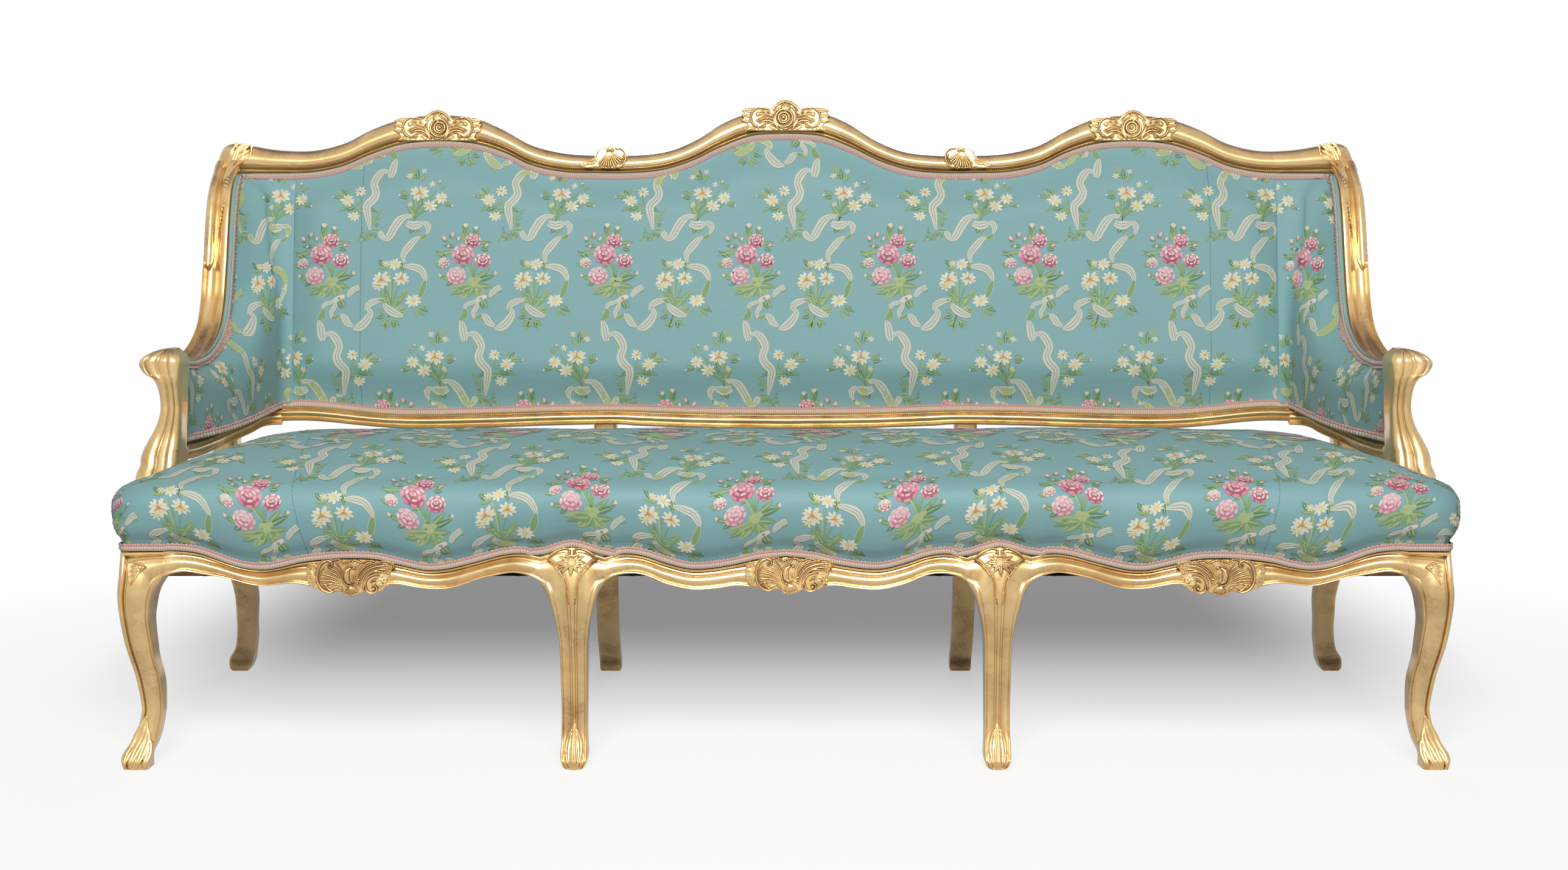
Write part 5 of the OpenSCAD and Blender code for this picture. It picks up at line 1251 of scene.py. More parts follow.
# cushions: one surface each, drawn over its own cloth, so that the weave and the bouquets can follow it
seat = {
    "cell": 0.010, "crown": 0.500, "overSide": 0.024, "overFront": 0.030, "rear": 0.6067, "rearLine": 0.3127,
    "gather": 0.86, "rearSink": 0.12, "sideSink": 0.18, "wave": 0.0028,
    # out over the rail, height share, both against the length of cloth that it takes
    "bulge": [(0, 0), (0, .085), (.45, .16), (.83, .31), (1, .46), (.9, .57), (.45, .66)],
    "crownRings": [(.05, .72), (.14, .79), (.27, .865), (.43, .93), (.62, .975), (.84, .998)],
    "square": [60, 60, 30, 18, 14, 12, 12, 11, 10, 10, 10, 10, 10, 10]}
gap = 0.0003  # between a pad and the wood beside it
padLine = sofa["lowZ"] + sofa["rise"] * 0.757
padRise = seat["crown"] - padLine
halfDeep = seat["rear"] / 2


def seatProfile():
    rows = [(o * seat["overSide"], z * padRise) for o, z in seat["bulge"]]
    rows += [(-i * halfDeep, z * padRise) for i, z in seat["crownRings"]] + [(-halfDeep, padRise)]
    line = smoothLine(rows, 6)
    square = np.interp(np.linspace(0, len(rows) - 1, len(line)), range(len(rows)), seat["square"])
    return lengths(line), line, square


seatCloth, seatShape, seatSquare = seatProfile()
seatFull = seatCloth[-1] - halfDeep
seatHalfU = railHalf + seatFull
seatLong = seat["rear"] + 2 * seatFull


def gathered(s, real, cloth):
    # cloth hangs straight down: the spare width gathers only near the corners
    k = seat["gather"]
    straight = np.abs(s) * cloth / real
    rest = k + (1 - k) * np.clip((straight - k) / np.maximum(cloth / real - k, 1e-6), 0, 1)
    return np.sign(s) * np.where(straight < k, straight, rest)


def seatPoint(u, v):
    # u across and v back over the cloth, from the front gimp; both in metres
    e = np.minimum(np.minimum(seatHalfU - abs(u), v), seatLong - v)
    e = np.clip(e, 0, seatCloth[-1] - 1e-4)
    out, up = np.interp(e, seatCloth, seatShape[:, 0]), np.interp(e, seatCloth, seatShape[:, 1])
    p = np.interp(e, seatCloth, seatSquare)
    su, sv = np.clip(u / (seatHalfU - e), -1, 1), np.clip((v - seatLong / 2) / (seatLong / 2 - e), -1, 1)
    su = gathered(su, railHalf + out, seatHalfU - e)
    # each ring is a rounded square: its points are drawn in towards the corners
    edge = np.maximum(abs(su), abs(sv))
    r = edge * (abs(su) ** p + abs(sv) ** p) ** (-1 / p) / np.maximum(edge, 1e-6)
    px, py = su * r, sv * r
    taper = (backHalf - railHalf) * (py + 1) / 2
    outY = np.where(out > 0, np.where(py > 0, out * .1, out * seat["overFront"] / seat["overSide"]), out)
    x = px * (railHalf + taper + out)
    y = railY + halfDeep + py * (halfDeep + outY)
    inset = np.clip(-out / halfDeep, 0, 1)
    rearSink = ease((sv + .2) / 1.2) * seat["rearSink"] * (1 - inset)
    sideSink = ease((abs(su) - .9) / .1) * ease((sv + 1) / .5) * seat["sideSink"] * (1 - inset) ** 2
    line = lineAt(railLine, abs(x))
    line = np.where((abs(su) > .99) & (sv > -.97), sofa["sideTop"], line)
    line = np.where(sv > .98, seat["rearLine"], line)
    level = np.interp(e, [0, seatCloth[12], seatCloth[24], seatCloth[36]], [0, .05, .45, 1])
    z = mix(line, padLine, level) + gap + up * (1 - rearSink - sideSink)
    return np.stack([x, y, z], -1)


seatU = np.linspace(-seatHalfU, seatHalfU, int(2 * seatHalfU / seat["cell"]) + 1)
seatV = np.linspace(0, seatLong, int(seatLong / seat["cell"]) + 1)
gridU, gridV = np.meshgrid(seatU, seatV)
seatSkin = seatPoint(gridU, gridV)


def normalsOf(skin):
    return unit(np.cross(np.gradient(skin, axis=1), np.gradient(skin, axis=0)))


def between(field, i, j):
    # a grid of numbers or places, read between its points
    a, b = np.clip(i.astype(int), 0, field.shape[0] - 2), np.clip(j.astype(int), 0, field.shape[1] - 2)
    s, t = (i - a)[:, None], (j - b)[:, None]
    return (field[a, b] * (1 - s) * (1 - t) + field[a + 1, b] * s * (1 - t)
            + field[a, b + 1] * (1 - s) * t + field[a + 1, b + 1] * s * t)


def clothLengths(skin):
    # how far each grid point lies along the cloth itself, across from the middle and up from the front edge
    across = np.linalg.norm(np.diff(skin, axis=1), axis=-1)
    across = np.concatenate([np.zeros((len(skin), 1)), np.cumsum(across, 1)], 1)
    across -= across[:, skin.shape[1] // 2][:, None]
    up = np.linalg.norm(np.diff(skin, axis=0), axis=-1)
    return np.stack([across, np.concatenate([np.zeros((1, skin.shape[1])), np.cumsum(up, 0)])], -1)


def waved(skin, where, size, seed, stretch=(1, 1)):
    # padding is never quite even: low soft dents across the cloth, along its own normals
    chance = random.Random(seed)
    normal = normalsOf(skin)
    u, v = np.meshgrid(np.arange(skin.shape[1]) * stretch[0], np.arange(skin.shape[0]) * stretch[1])
    wave = np.zeros(skin.shape[:2])
    for _ in range(14):
        turn, long = chance.uniform(0, math.pi), chance.uniform(.08, .26)
        phase = chance.uniform(0, 2 * math.pi)
        wave += np.cos((u * math.cos(turn) + v * math.sin(turn)) * 2 * math.pi / long + phase) * long
    wave *= size / abs(wave).max()
    return skin + normal * (wave * where)[..., None]


seatEdge = np.minimum(np.minimum(seatHalfU - abs(gridU), gridV), seatLong - gridV)
seatSkin = waved(seatSkin, ease((seatEdge - .015) / .05), seat["wave"], 5, (seat["cell"],) * 2)
seatUV = clothLengths(seatSkin)
seatCushion = drawnGrid("seatCushion", seatSkin, seatUV)
settle(smoothed(seatCushion, 60), silk, "brocade", "seat_pad")

backPad = {"columns": 180, "rows": 60, "rim": 0.005, "swell": 0.030, "x": 0.8904,
           "curl": 0.018, "wave": 0.0024}


def padEdges(x):
    # heights up the slope of the pad's lower and upper edge
    return lineAt(bottomLine, abs(x)), lineAt(crestUnder, abs(x))


def backPadPoint(x, t):
    lowEdge, highEdge = padEdges(x)
    edge = np.minimum(t, 1 - t)
    ends = .3 + .7 * ease((1 - np.abs(x) / backPad["x"]) / .08)
    swell = backPad["rim"] + backPad["swell"] * ease(edge / .2) * ends
    # at its two ends it sinks to let the wings' cloth curl over it
    swell = mix(.0008, swell, ease((backPad["x"] - abs(x)) / (backPad["curl"] + .003)))
    swell = np.where(edge < 1e-9, 0.0, swell)
    return onBack(x, mix(lowEdge + gap, highEdge - gap, t), -swell)


backX = np.linspace(-backPad["x"], backPad["x"], backPad["columns"] + 1)
backT = np.concatenate([[0, .0008], np.linspace(.02, .98, backPad["rows"] - 3), [.9992, 1]])
gridX, gridT = np.meshgrid(backX, backT)
padded = ease((np.minimum(gridT, 1 - gridT) - .04) / .1) * ease((backPad["x"] - .03 - abs(gridX)) / .05)
backSkin = waved(backPadPoint(gridX, gridT), padded, backPad["wave"], 8, (.0099, .0068))
backH = (backSkin[..., 2] - footZ) / math.cos(sofa["rake"])
backCushion = drawnGrid("backCushion", backSkin, np.stack([gridX, backH], -1))
settle(smoothed(backCushion, 60), silk, "brocade", "back_pad")
print("cushions made")

wingPad = {"rows": 60, "columns": 40, "edge": 0.015, "swell": 0.079, "relief": 0.008, "foot": 0.4872,
           "curl": 6}  # curl: columns round the turn
wingFace = wingIn - 0.0015
wingEdgeX = wingFace - wingPad["relief"] * .7
wingFrontY = wingLine[-1, 0] + .0003
armRun = beside(wingLine[::-1], -.0003)
armRun = armRun[armRun[:, 1] < crestLow - .001]
armRun = np.concatenate([[[wingFrontY, wingPad["foot"]], [wingFrontY, mix(wingPad["foot"], armZ, .5)]],
                         armRun])
armRun = spaced(armRun, 240)


def toArm(places):
    # distance from the wood's edge
    return np.array([np.hypot(*(armRun - q).T).min() for q in places])


def creasePoint(v):
    h = mix(bottomLine[-1, 1] + gap, upSlope(crestLow) - .001, v)
    return onBack(0, h, -.0016)[..., 1:] - (railY, 0)


def wingPoint(v, s):
    # v up the wing from 0 to 1, s from the gimp back to the crease from 0 to 1
    d = lengths(armRun)
    a = np.stack([np.interp(v * d[-1], d, armRun[:, k]) for k in (0, 1)], -1)
    b = creasePoint(v)
    p = mix(a, b, s[..., None])
    run = toArm(p.reshape(-1, 2)).reshape(v.shape)
    long = np.hypot(*(np.moveaxis(b - a, -1, 0)))
    t = np.clip((s * long - wingPad["edge"]) / (long - wingPad["edge"]), 0, 1)
    full = wingPad["swell"] * t ** 1.5 + wingPad["relief"] * 1.6 * np.sin(np.pi * t)
    # near the frame the pad is flat; at the back it always reaches the back cushion
    swell = mix(np.minimum(full, np.maximum(0, (run - .010) * .8)), full, ease((s - .3) / .45))
    # softened where the swell leaves the flat edge
    swell = swell * np.maximum(ease(np.clip(run / .03, 0, 1)), ease((s - .3) / .45))
    swell = swell + .0015 * ease(run / .012)
    dip = wingPad["relief"] * np.sin(np.pi * s) * np.maximum(0, 1 - 6 * v)
    return np.stack([wingEdgeX - swell * mix(.93, 1, ease(5 * v)), railY + p[..., 0], p[..., 1] - dip], -1)


wingUp = np.linspace(0, 1, wingPad["rows"])
wingV, wingS = np.meshgrid(wingUp, np.linspace(0, 1, wingPad["columns"] - wingPad["curl"]), indexing="ij")
wingFlat = wingPoint(wingV, wingS)


def curled(skin):
    # the last of the cloth turns on a quarter circle until it lies on the back cushion
    turn = np.linspace(0, np.pi / 2, wingPad["curl"] + 2)[1:-1]
    tipX = np.array([backPad["x"] - backPad["curl"]])
    low, high = bottomLine[-1, 1] + gap, crestUnder[-1, 1] - gap
    rows = []
    for row in skin:
        t = np.clip((upSlope(row[-1, 2]) - low) / (high - low), .002, .998)
        tip = backPadPoint(tipX, np.array([t]))[0] + (0, -.0006, 0)
        before = row[:, 1] < tip[1] - backPad["curl"] * 1.1
        keep = row[before] if before.sum() > 4 else row[:-6]
        arc = [mix(keep[-1], tip, np.array([1 - math.cos(a), math.sin(a), math.sin(a)])) for a in turn]
        rows.append(spaced(np.concatenate([keep, arc, [tip]]), wingPad["columns"] - 1))
    return np.array(rows)


# a last column, hidden behind the back cushion
wingHem = np.concatenate([np.full((wingPad["rows"], 1), backPad["x"] + .0004),
                          creasePoint(wingUp) + (railY, 0)], 1)
wingSkin = np.concatenate([curled(wingFlat), wingHem[:, None]], 1)
# the cloth of a wing is measured along its rows from the crease, and up the slope as on the back
wingRun = np.linalg.norm(np.diff(wingSkin, axis=1), axis=-1)
wingHemWide = .004
wingRun[:, -1] = wingHemWide
wingRun = np.concatenate([np.cumsum(wingRun[:, ::-1], axis=1)[:, ::-1], np.zeros((wingPad["rows"], 1))], 1)
wingRun -= backPad["curl"] + wingHemWide
wingUV = np.stack([wingRun, upSlope(wingSkin[..., 2])], -1)


def wingCushion(name, side):
    # the cloth in view, with a flange all round it that goes back to the wing's own plane
    around = ((1, 1), (1, 1), (0, 0))
    sheet = np.pad(wingSkin * (side, 1, 1), around, mode="edge")
    sheet[[0, -1], :, 0] = sheet[:, [0, -1], 0] = side * wingFace
    return smoothed(closeUp(drawnGrid(name, sheet, np.pad(wingUV, around, mode="edge"))), 60)


for side, word in ((-1, "Left"), (1, "Right")):
    cushion = wingCushion("wingCushion" + word, side)
    settle(cushion, silk, "brocade", "wing_pad_" + word.lower())
print("wing cushions made")

# the silk's pattern: one repeat of bouquets and ribbons, woven on every cushion
weave = {
    "seamShade": (.36, .50, .52), "thread": 0.000278, "wide": 900, "row": 1050, "axis": 752, "rose": (530, 270),
    "lift": 0.00034, "layer": 0.00005, "seam": [(-.0007, .00004), (0, .00012), (.0007, .00004)],
    "dyes": {"crimson": (.66, .19, .33), "rose": (.83, .47, .56), "pink": (.89, .66, .69),
             "blush": (.90, .79, .77),
             "white": (.87, .86, .79), "cream": (.87, .83, .70),
             "yellow": (.90, .79, .48), "gold": (.78, .56, .26),
             "leaf": (.47, .60, .36), "deepLeaf": (.30, .46, .29),
             "paleLeaf": (.67, .71, .47), "dark": (.47, .34, .27),
             "silk": (.82, .81, .75), "stripe": (.60, .61, .59), "reverse": (.47, .60, .34),
             "lilac": (.78, .72, .80)}}


class Pattern:
    # points, dyes and faces of the repeat, in threads, with y down
    def __init__(self):
        self.points, self.dyes, self.layers, self.faces = [], [], [], []
        self.chance = random.Random(11)

    def fan(self, rim, middle, dye, layer):
        start = len(self.points)
        k = 1 + self.chance.uniform(-.05, .05)
        tone = tuple(min(1, c * k) for c in weave["dyes"][dye])
        self.points += [middle, *rim]
        self.dyes += [tone] * (len(rim) + 1)
        self.layers += [layer] * (len(rim) + 1)
        n = len(rim)
        self.faces += [(start, start + 1 + (i + 1) % n, start + 1 + i) for i in range(n)]

    def oval(self, x, y, a, b, turn, dye, layer, count=8, rough=.08):
        c, s = math.cos(turn), math.sin(turn)
        rim = []
        for i in range(count):
            t = 2 * math.pi * i / count
            k = 1 + self.chance.uniform(-rough, rough)
            px, py = a * k * math.cos(t), b * k * math.sin(t)
            rim.append((x + px * c - py * s, y + px * s + py * c))
        self.fan(rim, (x, y), dye, layer)

    def strip(self, path, widths, dye, layer, near=-.5, far=.5):
        path = np.array(path, float)
        t = unit(np.gradient(path, axis=0))
        n = np.stack([-t[:, 1], t[:, 0]], 1)
        start = len(self.points)
        w = np.array(widths)[:, None]
        for p, q in zip(path + n * w * near, path + n * w * far):
            self.points += [tuple(p), tuple(q)]
        self.dyes += [weave["dyes"][dye]] * (2 * len(path))
        self.layers += [layer] * (2 * len(path))
        for i in range(len(path) - 1):
            k = start + 2 * i
            self.faces += [(k, k + 1, k + 3), (k, k + 3, k + 2)]

    def stem(self, points, width=6, dye="leaf", layer=1):
        path = smoothLine(points, 4)
        self.strip(path, [width] * len(path), dye, layer)

    def ribbon(self, points, dye="silk", layer=6):
        # (x, y, width) along the ribbon; stripes run its whole length
        line = smoothLine([(x, y, w * 1.16) for x, y, w in points], 6)
        line = spaced(line, max(4, int(lengths(line[:, :2])[-1] / 17)))
        path, width = line[:, :2], line[:, 2]
        if dye == "silk":
            self.strip(path, width + 5, "paleLeaf", layer - 1)
            cuts = [-.5, -.24, -.12, .10, .22, .5]
            for k, (near, far) in enumerate(zip(cuts, cuts[1:])):
                self.strip(path, width, ("silk", "stripe")[k % 2], layer, near, far)
        else:
            self.strip(path, width + 5, "silk", layer - 1)
            self.strip(path, width, dye, layer, -.5, .05)
            self.strip(path, width, "leaf", layer, .05, .5)

    def leaf(self, x0, y0, x1, y1, width, dye="leaf", layer=2, bend=0.0):
        width *= 1.12
        long = math.hypot(x1 - x0, y1 - y0)
        dx, dy = (x1 - x0) / long, (y1 - y0) / long
        rim = []
        for side in (1, -1):
            for t in ((0, .18, .42, .68, .88, 1) if side > 0 else (.88, .68, .42, .18)):
                w = side * width / 2 * math.sin(math.pi * t ** .8) * (1 + self.chance.uniform(-.1, .1))
                off = bend * long * math.sin(math.pi * t)
                rim.append((x0 + dx * long * t - dy * (w + off), y0 + dy * long * t + dx * (w + off)))
        middle = (x0 + dx * long * .5 - dy * bend * long, y0 + dy * long * .5 + dx * bend * long)
        self.fan(rim, middle, dye, layer)
        path = []
        for t in (.05, .35, .65, .92):
            off = bend * long * math.sin(math.pi * t)
            path.append((x0 + dx * long * t - dy * off, y0 + dy * long * t + dx * off))
        vein = "paleLeaf" if dye != "paleLeaf" else "leaf"
        self.strip(path, [width * .16, width * .2, width * .16, 1], vein, layer + 1)

    def leaves(self, *rows):
        for row in rows:
            self.leaf(*row)

    def rose(self, x, y, r, dyes=("crimson", "rose", "pink", "blush"), layer=7, turn=0.0):
        # cupped petals, each with a paler lip; dark ones below, lighter ones towards the heart
        r *= 1.06
        for i in range(8):
            a = turn + 2 * math.pi * i / 8
            low = math.sin(a)
            c, s = math.cos(a), low * .9
            self.oval(x + .62 * r * c, y + .62 * r * s, .37 * r, .31 * r, a + 1.57,
                      dyes[int(low <= .1)], layer, 7, .12)
            self.oval(x + .80 * r * c, y + .80 * r * s, .25 * r, .12 * r, a + 1.57,
                      dyes[1 if low > .5 else 2 + i % 2],
                      layer + 1, 7, .12)
        for i in range(6):
            a = turn + .35 + 2 * math.pi * i / 6
            low = math.sin(a)
            c, s = math.cos(a), low * .85
            up = y - .06 * r
            self.oval(x + .36 * r * c, up + .36 * r * s, .28 * r, .21 * r, a + 1.57,
                      dyes[int(low <= .4)], layer + 2, 7, .1)
            self.oval(x + .46 * r * c, up + .46 * r * s, .22 * r, .10 * r, a + 1.57,
                      dyes[2 + i % 2], layer + 3, 7, .1)
        self.oval(x, y - .08 * r, .24 * r, .18 * r, .3, dyes[3], layer + 4, 7)
        for a0, k in ((.4, .20), (3.3, .17)):
            path = [(x + k * r * math.cos(a0 + t), y - .08 * r + k * .75 * r * math.sin(a0 + t))
                    for t in (0, .6, 1.2, 1.8)]
            self.strip(path, [2, .07 * r, .06 * r, 2], dyes[0], layer + 5)
        self.oval(x, y - .08 * r, .09 * r, .07 * r, .4, dyes[1], layer + 5, 6)

    def daisy(self, x, y, r, petals=9, dye="white", eye="gold", layer=7, turn=0.2, flat=.85):
        for i in range(petals):
            a = turn + 2 * math.pi * i / petals + self.chance.uniform(-.1, .1)
            k = r * (1 + self.chance.uniform(-.12, .12))
            c, s = math.cos(a), math.sin(a) * flat
            w = k * .19
            nx, ny = -math.sin(a), math.cos(a)
            rim = [(x + t * k * c + b * w * nx, y + t * k * s + b * w * ny) for t, b in
                   ((.15, -.4), (.62, -1), (.94, -.55), (1, 0), (.94, .55), (.62, 1), (.15, .4))]
            self.fan(rim, (x + .55 * k * c, y + .55 * k * s), dye if i % 3 else "cream", layer + i % 2)
        big = eye == "gold" and r > 48
        out, up, long, wide = (.30, .26, .27, .085) if big else (.25, .22, .20, .08)
        for i in range(6 if r > 30 else 0):
            a = turn + .3 + math.pi * i / 3
            self.oval(x + out * r * math.cos(a), y + up * r * math.sin(a), long * r, wide * r, a,
                      "gold" if big and i % 2 == 0 else "yellow", layer + 2, 6)
        self.oval(x, y, .21 * r, .17 * r, 0, eye, layer + 3, 7)

    def bud(self, x, y, r, turn=-1.57, dye="pink", layer=6):
        c, s = math.cos(turn), math.sin(turn)
        for k, w in ((-.6, .45), (.6, .45), (0, .55)):
            a = turn + k
            self.oval(x + .35 * r * math.cos(a), y + .35 * r * math.sin(a), .62 * r, w * r * .62,
                      a, dye if k else "blush",
                      layer + (k == 0), 7)
        x0, y0 = x - .7 * r * c, y - .7 * r * s
        for k, green in ((.8, "leaf"), (-.8, "deepLeaf")):
            self.leaf(x0, y0, x0 + r * (.9 * c - k * s), y0 + r * (.9 * s + k * c), r * .5, green, layer + 2)

    def sprig(self, points, size, dye="leaf", layer=2, tips=()):
        self.stem(points, 5, dye, layer)
        path = spaced(smoothLine(points, 4), max(4, int(lengths(np.array(points, float))[-1] / (size * .62))))
        t = unit(np.gradient(path, axis=0))
        for i, (p, d) in enumerate(zip(path[1:], t[1:])):
            side = 1 if i % 2 else -1
            for sign in ((side,) if size < 30 else (1, -1)):
                q = p + size * (d * .8 + sign * np.array([-d[1], d[0]]) * .62)
                self.leaf(*p, *q, size * .34,
                          ("leaf", "deepLeaf", "paleLeaf")[(i + (sign > 0)) % 3], layer, .08 * sign)
        for x, y, r in tips:
            self.daisy(x, y, r, 6, "white", "yellow", layer + 3)


def silkRepeat():
    w = Pattern()
    deep, pale = "deepLeaf", "paleLeaf"
    # rose bouquet
    w.leaves(
        (600, 470, 428, 492, 40, pale), (600, 470, 452, 528, 42), (590, 475, 505, 560, 44, pale),
        (600, 470, 560, 545, 34), (610, 470, 625, 560, 40), (610, 470, 672, 530, 42, pale),
        (610, 465, 712, 478, 40), (610, 440, 735, 402, 34, deep), (620, 420, 700, 360, 34),
        (470, 250, 345, 275, 30), (430, 300, 350, 245, 26, deep), (400, 350, 345, 330, 26),
        (440, 430, 380, 405, 26), (620, 200, 715, 190, 26), (640, 230, 690, 245, 24, deep),
        (545, 200, 520, 120, 26), (580, 160, 625, 130, 24, deep), (480, 220, 400, 215, 24, deep),
        (470, 440, 420, 470, 26, deep), (560, 330, 520, 350, 20, deep))
    for a in ((545, 330), (562, 325), (580, 325), (600, 330), (618, 340)):
        w.stem([a, (a[0] * .4 + 600 * .6, 390), (600, 440)], 8, "paleLeaf" if a[0] % 2 else "leaf", 4)
    for x, y, r in ((585, 435, 26), (618, 432, 26), (600, 455, 28), (570, 450, 18)):
        w.oval(x, y, r, r * .75, 0, "paleLeaf", 6)
    w.rose(530, 270, 74)
    w.rose(592, 182, 52, turn=.5)
    w.rose(655, 310, 54, ("crimson", "rose", "blush", "white"), turn=.2)
    w.rose(488, 405, 64, ("rose", "pink", "blush", "blush"), turn=.9)
    w.rose(408, 322, 38, ("rose", "blush", "white", "cream"), turn=.3)
    for x, y, r, t in ((415, 172, 26, -2.2), (460, 150, 27, -1.4), (497, 176, 20, -1.2), (440, 210, 20, 2.2)):
        w.bud(x, y, r, t, "rose")
    w.bud(672, 212, 22, -.4, "crimson")
    for x, y, r in ((545, 92, 26), (610, 108, 22)):
        w.bud(x, y, r, -1.5, "cream")
        w.leaf(x + 4, y + 60, x - 22, y - 6, 18, "deepLeaf")
        w.leaf(x, y + 60, x + 26, y - 4, 18, "leaf")
    w.bud(727, 390, 20, -.2, "cream")
    w.bud(392, 402, 18, 3.0, "cream")
    w.stem([(560, 190), (550, 150), (545, 100)], 6)
    w.stem([(590, 150), (600, 130), (610, 110)], 6)
    # bow and ribbons
    w.leaf(655, 560, 690, 612, 34, "leaf", 5)
    w.leaf(640, 560, 665, 620, 30, "deepLeaf", 5)
    w.oval(632, 556, 30, 18, -.5, "silk", 7)
    w.oval(655, 545, 30, 16, -.3, "blush", 8)
    w.oval(644, 552, 12, 9, 0, "stripe", 9)
    w.ribbon([(700, 545, 8), (708, 525, 26), (730, 500, 30), (772, 476, 26)])
    w.leaf(735, 500, 782, 508, 16, "leaf", 5)
    w.ribbon([(632, 560, 12), (590, 578, 20), (552, 590, 22), (541, 618, 16)], "silk")
    w.ribbon([(541, 618, 14), (548, 648, 34), (530, 672, 34), (514, 690, 12)], "reverse")
    w.ribbon([(514, 690, 12), (528, 730, 38), (538, 790, 44), (545, 825, 22)])
    w.ribbon([(545, 800, 10), (585, 775, 28), (622, 800, 44), (650, 860, 40), (632, 920, 42), (650, 965, 46),
              (690, 1010, 44), (682, 1075, 36), (672, 1140, 16), (668, 1165, 6)])
    w.ribbon([(600, 820, 10), (628, 870, 16), (626, 920, 10)], "reverse", 4)
    w.ribbon([(628, 568, 12), (616, 610, 24), (596, 640, 22), (604, 680, 14)], "silk")
    w.ribbon([(604, 680, 12), (628, 672, 26), (650, 658, 12)], "reverse")
    w.ribbon([(650, 655, 14), (678, 672, 36), (700, 710, 36), (735, 728, 14)])
    w.ribbon([(735, 745, 12), (780, 732, 46), (822, 690, 44), (846, 640, 30), (822, 612, 16)])
    w.ribbon([(815, 628, 12), (832, 592, 34), (872, 570, 34), (925, 558, 14)])
    w.ribbon([(925, 550, 8), (950, 560, 16), (958, 590, 12)], "reverse", 5)
    # daisy bouquet
    w.leaves(
        (960, 600, 905, 520, 26), (970, 600, 930, 480, 22, deep), (985, 610, 1075, 500, 34),
        (980, 620, 1090, 470, 20, pale), (965, 540, 900, 510, 22), (985, 560, 1055, 560, 30),
        (990, 640, 1060, 590, 28, pale), (1000, 650, 1085, 620, 26), (940, 650, 890, 620, 24),
        (935, 665, 880, 680, 24, deep), (950, 690, 905, 730, 30), (975, 690, 1035, 722, 26),
        (965, 700, 930, 750, 26), (985, 690, 1000, 745, 24, deep), (930, 350, 890, 300, 26, deep),
        (950, 360, 925, 305, 26), (960, 350, 890, 360, 24), (1050, 380, 1030, 300, 20, deep),
        (1080, 560, 1070, 500, 20), (1140, 610, 1200, 600, 22), (1150, 600, 1215, 640, 24, deep),
        (1140, 620, 1190, 665, 22), (1130, 620, 1140, 680, 18))
    for a, b in (((930, 450), (965, 560)), ((985, 430), (975, 560)), ((1030, 450), (985, 570)),
                 ((960, 370), (972, 500))):
        w.stem([a, b, (965, 650), (940, 735)], 9, "leaf" if a[0] % 20 else "paleLeaf", 3)
    w.stem([(1110, 590), (1060, 640), (1000, 690)], 6, "paleLeaf", 3)
    w.daisy(912, 432, 64, 10, turn=.1)
    w.daisy(1036, 424, 54, 9, turn=.5)
    w.daisy(996, 332, 44, 9, eye="yellow")
    w.daisy(938, 328, 26, 7, "cream", "yellow")
    w.daisy(1116, 566, 52, 10, eye="yellow", turn=.3)
    w.daisy(890, 475, 34, 6, "cream", "yellow", layer=6)
    w.ribbon([(930, 585, 14), (955, 618, 40), (1000, 648, 40), (1052, 664, 16)], layer=9)
    w.ribbon([(898, 560, 8), (925, 566, 16), (945, 592, 10)], "reverse", 6)
    # lower daisies, tied with a ribbon
    w.leaves(
        (370, 1060, 240, 900, 20), (375, 1070, 330, 960, 18, deep), (380, 1080, 440, 985, 34),
        (370, 840, 375, 760, 26, deep), (360, 850, 315, 800, 26), (375, 800, 432, 745, 26, pale),
        (380, 830, 420, 790, 22), (225, 900, 180, 875, 20), (240, 880, 225, 850, 18),
        (200, 1000, 145, 985, 22), (205, 990, 150, 1015, 18, deep), (260, 1010, 215, 1000, 20),
        (420, 940, 480, 905, 24), (425, 960, 485, 945, 22, deep), (345, 1020, 300, 990, 20),
        (350, 990, 340, 940, 24, deep), (380, 1000, 385, 940, 24), (385, 1140, 345, 1170, 24),
        (390, 1140, 415, 1185, 28, deep), (375, 1130, 380, 1190, 22), (400, 1010, 440, 1005, 26, pale))
    for a, b in (((355, 950), (375, 1030)), ((290, 1030), (350, 1060)), ((230, 980), (320, 1030)),
                 ((400, 960), (385, 1040))):
        w.stem([a, b, (385, 1095), (388, 1140)], 8, "leaf", 3)
    w.daisy(355, 925, 60, 10)
    w.daisy(215, 955, 44, 9, eye="yellow", turn=.4)
    w.daisy(290, 1010, 48, 8, eye="yellow", turn=.1)
    w.daisy(275, 870, 24, 7, eye="yellow")
    w.daisy(330, 780, 22, 6, eye="yellow")
    w.daisy(420, 812, 24, 7, eye="yellow")
    w.daisy(415, 998, 20, 6, eye="yellow")
    w.bud(225, 855, 13, -1.5, "white")
    w.bud(478, 940, 12, -.5, "white")
    w.bud(150, 1005, 12, 2.8, "white")
    w.ribbon([(332, 1118, 20), (365, 1130, 44), (400, 1134, 44), (436, 1118, 30)], layer=9)
    w.ribbon([(332, 1110, 12), (300, 1130, 36), (298, 1165, 22), (310, 1190, 10)])
    w.ribbon([(425, 1090, 8), (395, 1072, 10), (440, 1075, 24), (480, 1100, 44), (515, 1150, 44),
              (545, 1205, 40), (575, 1222, 22), (598, 1190, 34), (606, 1168, 16)])
    w.ribbon([(606, 1166, 10), (635, 1162, 18), (664, 1165, 8)], "reverse", 5)
    w.ribbon([(306, 1185, 10), (325, 1210, 26), (352, 1215, 10)], "reverse", 5)
    w.ribbon([(350, 1208, 10), (380, 1225, 30), (420, 1270, 40), (456, 1322, 30), (448, 1372, 12)])
